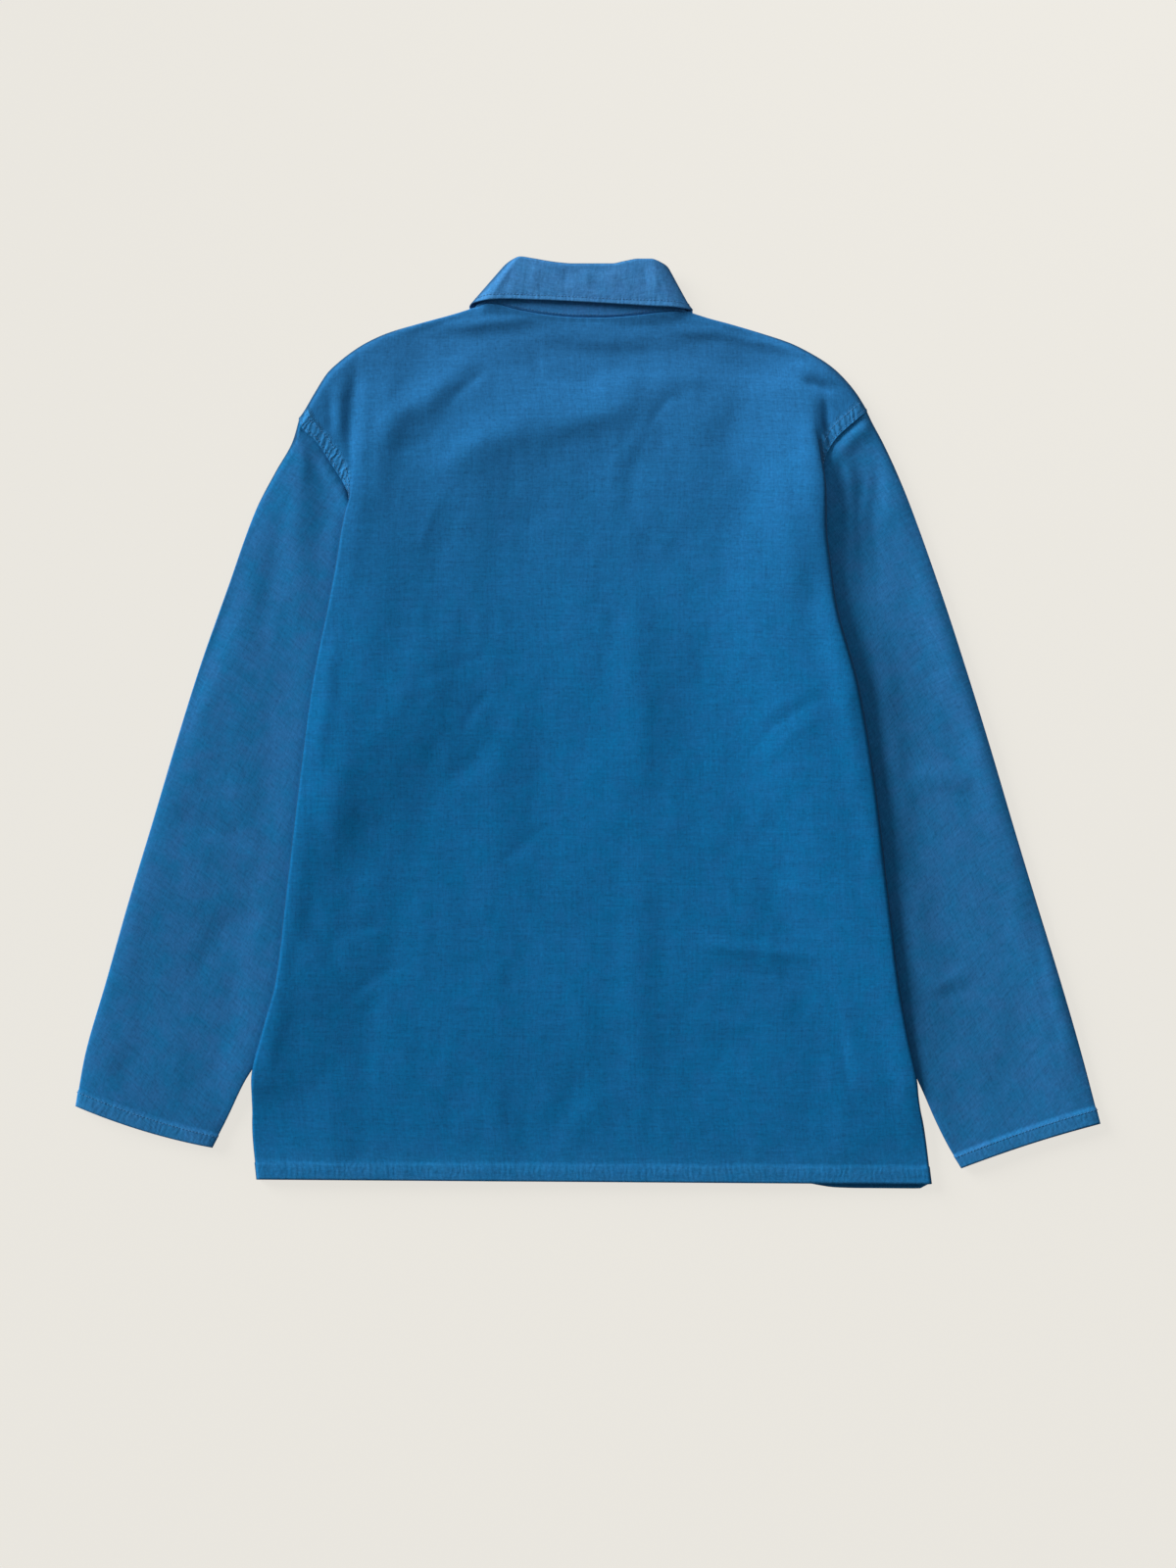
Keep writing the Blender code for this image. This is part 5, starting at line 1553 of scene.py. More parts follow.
@dataclass
class FrontPanel:
    """One front, from its side seam to its centre edge, with the jacket's weight on it."""

    name: str
    node: str
    side: Side
    flat_width: float = 0.400
    flat_length: float = 0.762
    drop: float = 0.0
    middle_columns: int = 54

    @property
    def is_left(self) -> bool:
        """True for the wearer's left front."""
        return self.side.sign < 0

    def stations(self) -> tuple[Array, Array]:
        """Top edge from the side fold to the centre edge, as x and y.

        Returns:
            The two coordinates.
        """
        neck_x = NECK_BACK[0].x if self.is_left else NECK_BACK[-1].x
        start = float(self.side.shoulder_x(RIDGE_START_Y))
        xs = list(np.linspace(start, neck_x, SHOULDER_COLUMNS + 1))
        ys = [float(self.side.shoulder_y(x)) for x in xs]
        for station in collar_front(self.is_left):
            xs.append(station.seam_x)
            ys.append(station.seam_y)
        xs.append(LEFT_EDGE_X if self.is_left else RIGHT_EDGE_X)
        ys.append(FRONT_NECK_Y)
        return np.array(xs), np.array(ys)

    def lying(self, x: Array, y: Array, row: Array) -> Array:
        """Height on the floor, over the pocket, the collar and the buttons.

        Args:
            x: places along X.
            y: places along Y.
            row: rows of the panel, 0 at its top edge.

        Returns:
            The height at each point.
        """
        low = FLOOR_LAYER + (HEM_CLOTH - CLOTH) / 2 * hem_share(row)
        rest = low + np.maximum(POCKET_LIFT * over_pockets(x, y), COLLAR_LIFT * over_fall(x, y))
        strip = over_strip(x) * smooth_step((y - HEM_LEFT_Y - STRIP_START) / STRIP_RISE)
        lapped = np.maximum(rest, FLOOR_LAYER + BUTTON_LIFT * strip)
        if self.is_left:
            return lapped
        over = 1 - smooth_step((x - STRIP_HALF) / STRIP_FADE)
        hem = smooth_step((HEM_LEFT_Y + STRIP_START + STRIP_FADE - y) / STRIP_HALF)
        return mix(rest, lapped + FRONT_LAP + (HEM_CLOTH - CLOTH) * hem, over)

    def point(self, column: Array, row: Array) -> Place:
        """Point of the front. Column -1..0 beyond its side fold, 0..1 to the centre edge.

        Args:
            column: columns of the piece.
            row: rows of the panel, 0 at its top edge.

        Returns:
            X, Y and Z of each point.
        """
        side = self.side
        across = np.clip(column, 0, 1)
        xs, ys = self.stations()
        marks = np.linspace(0, 1, len(xs))
        station_x, station_y = np.interp(across, marks, xs), np.interp(across, marks, ys)
        tuck = np.maximum(side.fold_out(row) - side.seam_out(row), 0)
        inset = FRONT_INSET * smooth_step(tuck / INSET_TUCK)
        start = side.fold_out(row) - inset - FOLD_ROUND
        upper = np.minimum(row, 1.0)
        edge = LEFT_EDGE_X if self.is_left else RIGHT_EDGE_X
        x = mix(station_x, mix(side.sign * start, edge, across), smooth_step(upper))
        share = np.clip((x - LEFT.sign * LEFT.fold_out(row)) / HEM_SPAN, 0, 1)
        level = mix(level_y(row, -1), level_y(row, 1), share)
        middle = smooth_step((side.fold_out(row) - side.sign * x - 60) / 60)
        level = level + 1.6 * middle * smooth_step((row - 2.8) / 0.2)
        y = np.where(row < 1, mix(station_y, CROSS_BACK_Y, upper), level)
        z = self.lying(x, y, row)
        distance = upper * (station_y - CROSS_BACK_Y)
        high = SHOULDER_SEAM - SHOULDER_EDGES / 2
        z = mix(z, high + (z - high) * shoulder_turn(distance), turned_edge(station_x))
        step = np.clip(-column, 0, 1)
        bottom = FLOOR_LAYER + (HEM_CLOTH - CLOTH) / 2 * hem_share(row)
        lower_seam = SEAM_HEIGHT(side.seam_y(row)) - SEAM_EDGES / 2
        inside = side.fold_out(row) - side.seam_out(row)
        rise = smooth_step((inside + ARMHOLE_RISE) / ARMHOLE_RISE)
        armhole_seam = mix(FLOOR_LAYER, FRONT_RETURN, rise)
        seam_height = mix(armhole_seam, lower_seam, armpit_share(row))
        tuck_level = np.minimum(FRONT_RETURN, lower_seam)
        shoulder = side.sign * float(side.shoulder_x(RIDGE_START_Y))
        joined = mix(shoulder, start, smooth_step(upper))
        out, side_high, _ = side_section(
            side, row, step, joined, bottom, tuck_level, seam_height, inset)
        side_y, out = side.plan(row, step, out)
        reach = upper * (mix(RIDGE_START_Y, side.top_y, step) - CROSS_BACK_Y)
        side_high = np.where(row < 1, high + (side_high - high) * shoulder_turn(reach), side_high)
        x = np.where(column < 0, side.sign * out, x)
        y = np.where(column < 0, side_y, y)
        z = np.where(column < 0, side_high, z)
        away = np.abs(x)
        showing = smooth_step((away - DROP_FROM) / DROP_EASE)
        showing = showing * smooth_step((DROP_TO - away) / DROP_END)
        y = y - self.drop * showing * smooth_step((row - 2.9) / 0.1)
        return x, y, z

    def sheet(self) -> Sheet:
        """The front's grid of points, with its wear and puckers.

        Returns:
            The points, and what the material reads at each.
        """
        rows = spread(((TURNED_ROWS, 4), (1.0, 22), (2.0, 20), (hem_row(HEM_WIDTH + 8), 70),
                       (hem_row(HEM_WIDTH + HEM_STEP), 2), (hem_row(HEM_WIDTH), 1), (3.0, 5)), 0.0)
        columns = np.concatenate([-np.array(FRONT_STEPS)[::-1],
                                  np.linspace(0, 1, self.middle_columns + 1)])
        column, row = np.meshgrid(columns, rows)
        x, y, z = self.point(column, row)
        sheet = Sheet.plain(np.stack([x, y, z], axis=2))
        edge = (3 - row) * BODY_LENGTH
        sheet.hem = hem_share(row)
        centre = np.abs(x - (LEFT_EDGE_X if self.is_left else RIGHT_EDGE_X))
        sheet.wear = np.maximum(FRONT_HEM_WEAR * worn_hem(edge), CENTRE_WEAR * bell(centre, 2.5))
        sheet.pucker = FRONT_HEM_PULL * pulled_hem(edge)
        sheet.along = x + ALONG_START
        return sheet

    def stitch_lines(self) -> list[Array]:
        """Rows of stitches: hem and centre edge.

        Returns:
            One line of points for each row of stitches.
        """
        sign = -1 if self.is_left else 1
        across = np.linspace(-0.95, 0.985, 300)
        hem = np.full_like(across, hem_row(HEM_ROW))
        rows = np.linspace(0.03, 2.97, 420)
        half_width = 240.0
        edge = np.full_like(rows, 1 - 5.0 / half_width)
        return [lifted(self.point, across, hem, sign), lifted(self.point, edge, rows, sign)]


@dataclass
class SleeveTube:
    """A flattened sleeve from the armhole ring to its turned cuff."""

    name: str
    node: str
    side: Side
    outer: Sequence[Spot]
    inner: Sequence[Spot]
    bow: float
    folds: Sequence[Fold]
    creases: Sequence[Crease]
    seed: int
    back: BackPanel
    front: FrontPanel
    # painted light: how much paler the whole sleeve is made, for the stronger light on its side
    rubbed: float = 0.0
    cuff_width: float = 128.0
    flat_width: float = 0.470
    flat_length: float = 0.640
    rings: int = 186

    def __post_init__(self) -> None:
        """Read the outlines and the ring at the armhole."""
        self.outer_x = through(self.outer, "x")
        self.inner_x = through(self.inner, "x")
        even = np.linspace(0, 2, 54)
        rounded = 1 - np.cos(even * np.pi / 2)
        self.ring = self.armhole_ring(mix(even, rounded, 0.55))

    def armhole_ring(self, rows: Array) -> tuple[Array, Array, Array, Array]:
        """The body's armhole ring moved inwards by one lap: over layer, then under layer.

        Args:
            rows: rows of the panels where its points lie.

        Returns:
            For each point the share from top to armpit, X, Y and Z.
        """
        edge_column = -1.0 if self.side.sign < 0 else 2.0
        plain = BackPanel(creases=(), wave_share=0.0)
        over = plain.point(np.full(len(rows), edge_column), rows)
        under = self.front.point(np.full(len(rows), -1.0), rows)
        steps = np.hypot(np.diff(over[0]), np.diff(over[1]))
        along = np.concatenate([[0.0], np.cumsum(steps)])
        ends = (over[2] + under[2]) / 2
        over_z = np.concatenate([[ends[0]], over[2][1:-1], [ends[-1]]])
        loop_along = np.concatenate([along, along[-2:0:-1]])
        loop_high = np.concatenate([over_z, under[2][-2:0:-1]])
        moved_along, moved_high = inset_loop(loop_along, loop_high, ARMHOLE_LAP)
        share = np.clip(moved_along / along[-1], 0, 1)
        x = np.interp(moved_along, along, over[0])
        y = np.interp(moved_along, along, over[1])
        return share, x, y, moved_high

    def lying(self, x: Array, y: Array) -> Array:
        """1 where the sleeve lies in the body's side fold, 0 outside it."""
        fold = self.side.sign * self.side.fold_x(y)
        return smooth_step((fold + SLEEVE_CLEAR - self.side.sign * x) / SLEEVE_EASE)

    def around(self, values: Array, index: Array) -> Array:
        """A value of the ring at a place between its points."""
        closed = np.append(values, values[0])
        return np.interp(np.mod(index, len(values)), np.arange(len(closed)), closed)

    def point(self, index: Array, v: Array) -> Place:
        """Point at place `index` round the ring, at share v from armhole to cuff.

        Args:
            index: places round the ring, counted in its points.
            v: shares from armhole to cuff.

        Returns:
            X, Y and Z of each point.
        """
        share, ring_x, ring_y, ring_z = self.ring
        half = len(share) // 2
        p = self.around(share, index)
        outer_end, inner_end = self.outer[-1], self.inner[-1]
        outer_y = mix(ring_y[0], outer_end.y, v)
        inner_y = mix(ring_y[half], inner_end.y, v)
        outer = (self.outer_x(outer_y) - self.side.sign * CLOTH / 2, outer_y)
        inner = (self.inner_x(inner_y), inner_y)
        cuff = ((1 - p) * outer_end.x + p * inner_end.x,
                (1 - p) * outer_end.y + p * inner_end.y + self.bow * 4 * p * (1 - p))
        ring = (self.around(ring_x, index), self.around(ring_y, index))
        tops = ((ring_x[0], ring_y[0]), (ring_x[half], ring_y[half]))
        ends = ((outer_end.x, inner_end.x), (outer_end.y, inner_end.y))
        flat = []
        for axis in (0, 1):
            end = ends[axis]
            across = mix(ring[axis], cuff[axis], v)
            along = mix(outer[axis], inner[axis], p)
            corners = mix(mix(tops[0][axis], tops[1][axis], p), mix(end[0], end[1], p), v)
            flat.append(across + along - corners)
        x, y = flat
        lying = self.lying(x, y)
        hem = np.where(v > self.hem_start(), 1.0, 0.0)
        under = mix(FLOOR_LAYER + (HEM_CLOTH - CLOTH) / 2 * hem, SLEEVE_UNDER, lying)
        thick = mix(SLEEVE_THICK, SLEEVE_OVER - SLEEVE_UNDER, lying)
        round_off = np.sqrt(1 - np.abs(2 * p - 1) ** SLEEVE_EDGE)
        is_over = np.mod(index, len(share)) <= half
        relief = self.relief(x, y, v, p) * (1 - lying) * round_off * smooth_step(v / HEAD_EASE)
        lift = np.where(is_over, 1.0, -1.0) * thick / 2 * round_off
        ease = np.where(is_over, mix(HEAD_FALL, RING_EASE, lying), RING_EASE)
        z = mix(self.around(ring_z, index), under + thick / 2 + lift, smooth_step(v / ease))
        return x, y, z + np.where(is_over, relief + self.head_relief(index, v), 0.0)

    def relief(self, x: Array, y: Array, v: Array, p: Array) -> Array:
        """Folds, creases and the cloth's unevenness on the sleeve's upper layer.

        Args:
            x: places along X.
            y: places along Y.
            v: shares from armhole to cuff.
            p: shares across, outer to inner edge.

        Returns:
            The added height.
        """
        waves = with_waves(0.0, SLEEVE_WAVES, x, y, self.seed)
        creased = FOLD_SHARE * folds_at(self.folds, x, y) + creases_at(self.creases, x, y)
        relief = (creased + waves) * mix(HELD_FLAT, 1.0, smooth_step((1 - v) / CUFF_EASE))
        edge = (1 - v) * self.length()
        return relief + CUFF_RELIEF * hem_relief(edge, p * self.cuff_width, self.seed + 7)

    def head_relief(self, index: Array, v: Array) -> Array:
        """Small gathers where the sleeve is sewn to the armhole.

        Args:
            index: places round the ring, counted in its points.
            v: shares from armhole to cuff.

        Returns:
            The added height.
        """
        share, ring_x, ring_y, _ = self.ring
        half = len(share) // 2
        steps = np.hypot(np.diff(ring_x[:half + 1]), np.diff(ring_y[:half + 1]))
        runs = np.concatenate([[0.0], np.cumsum(steps)])
        along = np.interp(np.clip(index, 0, half), np.arange(half + 1), runs)
        away = v * self.length()
        fade = bell(away - 4.0, 7.0) * smooth_step(away / 2.5)
        ends = smooth_step((index - 1) / 4) * smooth_step((half - index) / 8)
        crest = HEAD_RISE * bell(away - HEAD_CREST, HEAD_SPREAD) * smooth_step(away / 4)
        sewn = gathers(HEAD_PUCKERS, along + HEAD_SLANT * away, self.seed)
        return (sewn * fade + crest) * ends

    def length(self) -> float:
        """Length of the outer edge, armhole to cuff."""
        end = self.outer[-1]
        return float(np.hypot(end.x - self.ring[1][0], end.y - self.ring[2][0]))

    def hem_start(self) -> float:
        """Share along the sleeve where the turned cuff begins."""
        return 1 - (HEM_WIDTH + HEM_STEP) / self.length()

    def sheet(self) -> Sheet:
        """The sleeve's grid of points, its last column the first again.

        Returns:
            The points, and what the material reads at each.
        """
        length = self.length()
        vs = spread(((0.0, 2), (0.04, 14), (self.hem_start() - 8 / length, self.rings),
                     (self.hem_start(), 3), (self.hem_start() + HEM_STEP / length, 1),
                     (1.0, 7)), -SEAM_LAP / length)
        around = np.arange(len(self.ring[0]) + 1, dtype=float)
        index, v = np.meshgrid(around, vs)
        x, y, z = self.point(index, v)
        sheet = Sheet.plain(np.stack([x, y, z], axis=2))
        edge = (1 - v) * length
        sheet.hem = np.where(v > self.hem_start() + 0.5 * HEM_STEP / length, 1.0, 0.0)
        sheet.wear = HEM_WEAR * worn_hem(edge) + EDGE_WEAR * bell(edge, 2)
        p = self.around(self.ring[0], index)
        sheet.along = p * self.cuff_width + CUFF_START
        sheet.pucker = CUFF_PULL * pulled_hem(edge)
        # A paler tone over the sleeve, less at its inner edge: painted light, not wear.
        sheet.wear = np.maximum(sheet.wear, self.rubbed * (1 - INNER_PAINTED_LIGHT * p))
        return sheet

    def stitch_lines(self) -> list[Array]:
        """The row of stitches round the cuff.

        Returns:
            One line of points for each row of stitches.
        """
        count = len(self.ring[0])
        index = np.linspace(0, count, 320)
        v = np.full_like(index, 1 - HEM_ROW / self.length())
        return [lifted(self.point, index, v, -self.side.sign, CUFF_THREAD_LIFT)]


def inset_loop(along: Array, high: Array, distance: float) -> tuple[Array, Array]:
    """Move a closed outline, given as two coordinates, inwards by a distance.

    Args:
        along: first coordinates.
        high: second coordinates.
        distance: how far it moves.

    Returns:
        The moved outline's coordinates.
    """
    points = np.column_stack([along, high])
    before = points - np.roll(points, 1, axis=0)
    after = np.roll(points, -1, axis=0) - points
    normals = []
    for edge in (before, after):
        length = np.linalg.norm(edge, axis=1, keepdims=True)
        normals.append(np.column_stack([edge[:, 1], -edge[:, 0]]) / length)
    area = np.sum(points[:, 0] * np.roll(points[:, 1], -1)
                  - np.roll(points[:, 0], -1) * points[:, 1])
    turn = -1.0 if area > 0 else 1.0
    joint = 1 + np.sum(normals[0] * normals[1], axis=1, keepdims=True)
    moved = points + turn * distance * (normals[0] + normals[1]) / np.maximum(joint, 0.6)
    return moved[:, 0], moved[:, 1]


@dataclass
class CollarPiece:
    """The collar: stand up from the neck seam, roll, and fall to its edge."""

    back: BackPanel
    fronts: tuple[FrontPanel, FrontPanel]
    name: str = "cloth_collar"
    node: str = "collar"
    flat_width: float = 0.470
    flat_length: float = 0.100
    columns: int = 300
    creases: Sequence[Crease] = field(default_factory=lambda: COLLAR_CREASES)

    def __post_init__(self) -> None:
        """Work out the collar's stations and read smooth curves through them."""
        plans = self.plans()
        ring = self.neck_ring()
        steps = np.array(COLLAR_STEPS)
        grid = np.array([[self.corner(index, plans[index], ring[index], step)
                          for index in range(len(plans))] for step in steps])
        self.last = len(plans) - 1
        self.grid = grid

    @staticmethod
    def plans() -> list[NeckStation]:
        """Stations round the neck: seam, roll and fall edge, left front to right front.

        Returns:
            One place for each station.
        """
        edge_y, roll_y = through(FALL_EDGE, "y", key="x"), through(ROLL_OUTLINE, "y", key="x")
        plans = list(reversed(COLLAR_FRONT))
        for index in range(NECK_COLUMNS + 1):
            share = index / NECK_COLUMNS
            seam_x = mix(NECK_BACK[0].x, NECK_BACK[-1].x, share)
            roll_x = mix(ROLL_OUTLINE[0].x, ROLL_OUTLINE[-1].x, share)
            edge_x = mix(FALL_EDGE[0].x, FALL_EDGE[-1].x, share)
            plans.append(NeckStation(seam_x, float(NECK_Y(seam_x)), roll_x,
                                     float(roll_y(roll_x)), edge_x, float(edge_y(edge_x))))
        return plans + collar_front(False)

    def neck_ring(self) -> list[Array]:
        """Neck edge of the body beside each station.

        Returns:
            A point for each station.
        """
        back_count = 2 * SHOULDER_COLUMNS + NECK_COLUMNS
        front_count = SHOULDER_COLUMNS + len(COLLAR_FRONT) + 1
        places: list[tuple[PointAt, float]] = []
        for index in range(len(COLLAR_FRONT), 0, -1):
            places.append((self.fronts[0].point, (SHOULDER_COLUMNS + index) / front_count))
        for index in range(NECK_COLUMNS + 1):
            places.append((self.back.point, (SHOULDER_COLUMNS + index) / back_count))
        for index in range(1, len(COLLAR_FRONT) + 1):
            places.append((self.fronts[1].point, (SHOULDER_COLUMNS + index) / front_count))
        ring = []
        for at, column in places:
            x, y, z = at(np.array([column]), np.array([0.0]))
            ring.append(np.array([x[0], y[0], z[0]]))
        return ring

    @staticmethod
    def part_of(station: int) -> CollarPart:
        """The row of COLLAR_PARTS that a station belongs to.

        Args:
            station: which station, counted from the left front.

        Returns:
            That row.
        """
        first = len(COLLAR_FRONT)
        last = first + NECK_COLUMNS
        if station in (first, last):
            return COLLAR_PARTS["left side" if station == first else "right side"]
        return COLLAR_PARTS["back" if first < station < last else "front"]

    def corner(self, station: int, plan: NeckStation, seam: Array, step: float) -> Array:
        """Point of the collar at a station: stand 0..1, roll 1..2, fall 2..3.

        Args:
            station: which station, counted from the left front.
            plan: its place.
            seam: the body's neck edge beside it.
            step: how far up the stand and over.

        Returns:
            The point.
        """
        part = self.part_of(station)
        normal = np.array([part.out_x, part.out_y, part.out_z])
        base = seam - normal * (CLOTH / 2 + COLLAR_CLOTH / 2 - SEAM_SINK)
        roll = np.array([plan.roll_x, plan.roll_y, part.roll_height])
        up = roll - base
        up = up / np.linalg.norm(up)
        stand_end = roll - up * part.radius
        if step <= 1:
            return mix(base, stand_end, step)
        if step <= 2:
            angle = (step - 1) * np.pi
            aside = normal * part.radius * (1 - np.cos(angle))
            return stand_end + aside + up * part.radius * np.sin(angle)
        edge = np.array([plan.edge_x, plan.edge_y, part.edge_height])
        return mix(stand_end + normal * 2 * part.radius, edge, step - 2)

    def point(self, station: Array, step: Array) -> Place:
        """Point of the collar between its stations, with its creases.

        Args:
            station: stations, and shares between them.
            step: steps, as in corner().

        Returns:
            X, Y and Z of each point.
        """
        steps, stations = np.array(COLLAR_STEPS), np.arange(self.last + 1, dtype=float)
        flat_station, flat_step = np.ravel(station).astype(float), np.ravel(step).astype(float)
        low = np.clip(np.searchsorted(steps, flat_step, side="right") - 1, 0, len(steps) - 2)
        share = np.clip((flat_step - steps[low]) / (steps[low + 1] - steps[low]), 0, 1)
        result = []
        for axis in range(3):
            lines = np.array([curve_through(stations, row)(flat_station)
                              for row in self.grid[:, :, axis]])
            each = np.arange(len(flat_station))
            first, second = lines[low, each], lines[low + 1, each]
            before = lines[np.maximum(low - 1, 0), each]
            after = lines[np.minimum(low + 2, len(steps) - 1), each]
            value = mix(first, second, share)
            round_part = (flat_step > 1.0) & (flat_step < 2.0)
            bow = (2 * first - before - after + 2 * second - first - second) / 16
            value = value + np.where(round_part, 4 * share * (1 - share) * bow, 0.0)
            result.append(value.reshape(np.shape(station)))
        x, y, z = result
        fall = smooth_step((step - 2.0) / 0.25)
        at_back = smooth_step((station - FALL_SIDE) / FALL_SIDE_EASE)
        at_back = at_back * smooth_step((self.last - FALL_SIDE - station) / FALL_SIDE_EASE)
        waves = with_waves(0.0, COLLAR_WAVES, x, y) + creases_at(self.creases, x, y)
        edge = self.from_edge(step)
        pull = bell(edge - 3.0, 4.5)
        stitched = bell(edge - COLLAR_ROW, 1.2)
        sewn = gathers(COLLAR_PUCKERS, x + GATHER_START)
        waves = waves + sewn * pull - COLLAR_GROOVE * stitched
        return x, y, z + fall * at_back * waves

    @staticmethod
    def from_edge(step: Array) -> Array:
        """Distance from the fall's edge at a step, nearly."""
        return (3 - step) * FALL_DEPTH

    def sheet(self) -> Sheet:
        """The collar's grid of points, with its wear and puckers.

        Returns:
            The points, and what the material reads at each.
        """
        steps = spread(((1.0, 14), (2.0, 16), (2.8, 16), (3.0, 6)), 0.0)
        step, station = np.meshgrid(steps, np.linspace(0, self.last, self.columns),
                                    indexing="ij")
        x, y, z = self.point(station, step)
        sheet = Sheet.plain(np.stack([x, y, z], axis=2))
        sheet.grain = sheet.grain[..., ::-1] * np.array([1.0, -1.0])
        edge = self.from_edge(step)
        fall = smooth_step((step - 1.1) / 0.3)
        sheet.wear = FALL_WEAR * fall + FALL_EDGE_WEAR * bell(edge, 4.5)
        roll = bell(step - 1.6, 0.35)
        sheet.wear = np.clip(np.maximum(sheet.wear, ROLL_WEAR * roll), 0, 1)
        sheet.pucker = FALL_PULL * fall * bell(edge - 3.0, 4.5)
        sheet.along = sheet.grain[..., 1] + PATCH_START
        return sheet

    def stitch_lines(self) -> list[Array]:
        """Rows of stitches: along the fall's edge and ends, and along the neck seam.

        Returns:
            One line of points for each row of stitches.
        """
        stations = np.linspace(0.25, self.last - 0.25, 620)
        edge = np.full_like(stations, 3 - COLLAR_ROW / FALL_DEPTH)
        lines = [lifted(self.point, stations, edge, 1, COLLAR_THREAD_LIFT)]
        for end in (0.25, self.last - 0.25):
            steps = np.linspace(2.2, 3 - COLLAR_ROW / FALL_DEPTH, 60)
            ends = np.full_like(steps, end)
            lines.append(lifted(self.point, ends, steps, 1, COLLAR_THREAD_LIFT))
        stations = np.linspace(5.3, self.last - 5.3, 300)
        seam = np.full_like(stations, 0.055)
        lines.append(lifted(self.point, stations, seam, -1, COLLAR_THREAD_LIFT))
        return lines


@dataclass
class PocketPatch:
    """A patch pocket, flat between its front and the floor."""

    patch: Patch
    name: str
    node: str
    flat_width: float = 0.162
    flat_length: float = 0.188

    def point(self, column: Array, row: Array) -> Place:
        """Point of the patch, its lower corners drawn in.

        Args:
            column: shares from left to right.
            row: shares from its top to its lower edge.

        Returns:
            X, Y and Z of each point.
        """
        x = mix(self.patch.left, self.patch.right, column)
        y = mix(self.patch.top, self.patch.bottom, row)
        draw = np.abs(2 * column - 1) ** 6 * smooth_step((row - 0.8) / 0.2)
        return x, y + POCKET_CORNER * draw, np.full(np.shape(x), CLOTH / 2)

    def sheet(self) -> Sheet:
        """The patch's grid of points, its top edge worn.

        Returns:
            The points, and what the material reads at each.
        """
        column, row = np.meshgrid(np.linspace(0, 1, 41), np.linspace(0, 1, 47))
        sheet = Sheet.plain(np.stack(self.point(column, row), axis=2))
        down = row * self.flat_length / MM
        sheet.wear = MOUTH_WEAR * np.exp(-(down / MOUTH_FADE) ** 4)
        sheet.pucker = bell(down, MOUTH_FADE)
        sheet.along = sheet.points[..., 0] + PATCH_START
        return sheet

    def stitch_lines(self) -> list[Array]:
        """Two rows of stitches: round the sides and lower edge, and along the top hem.

        Returns:
            One line of points for each row of stitches.
        """
        inset = 0.012
        down = np.linspace(inset, 1 - inset, 80)
        low = np.full(80, inset)
        column = np.concatenate([low, down, 1 - low])
        row = np.concatenate([down, 1 - low, down[::-1]])
        top = np.full(80, 0.1)
        return [lifted(self.point, column, row, -1), lifted(self.point, down, top, -1)]


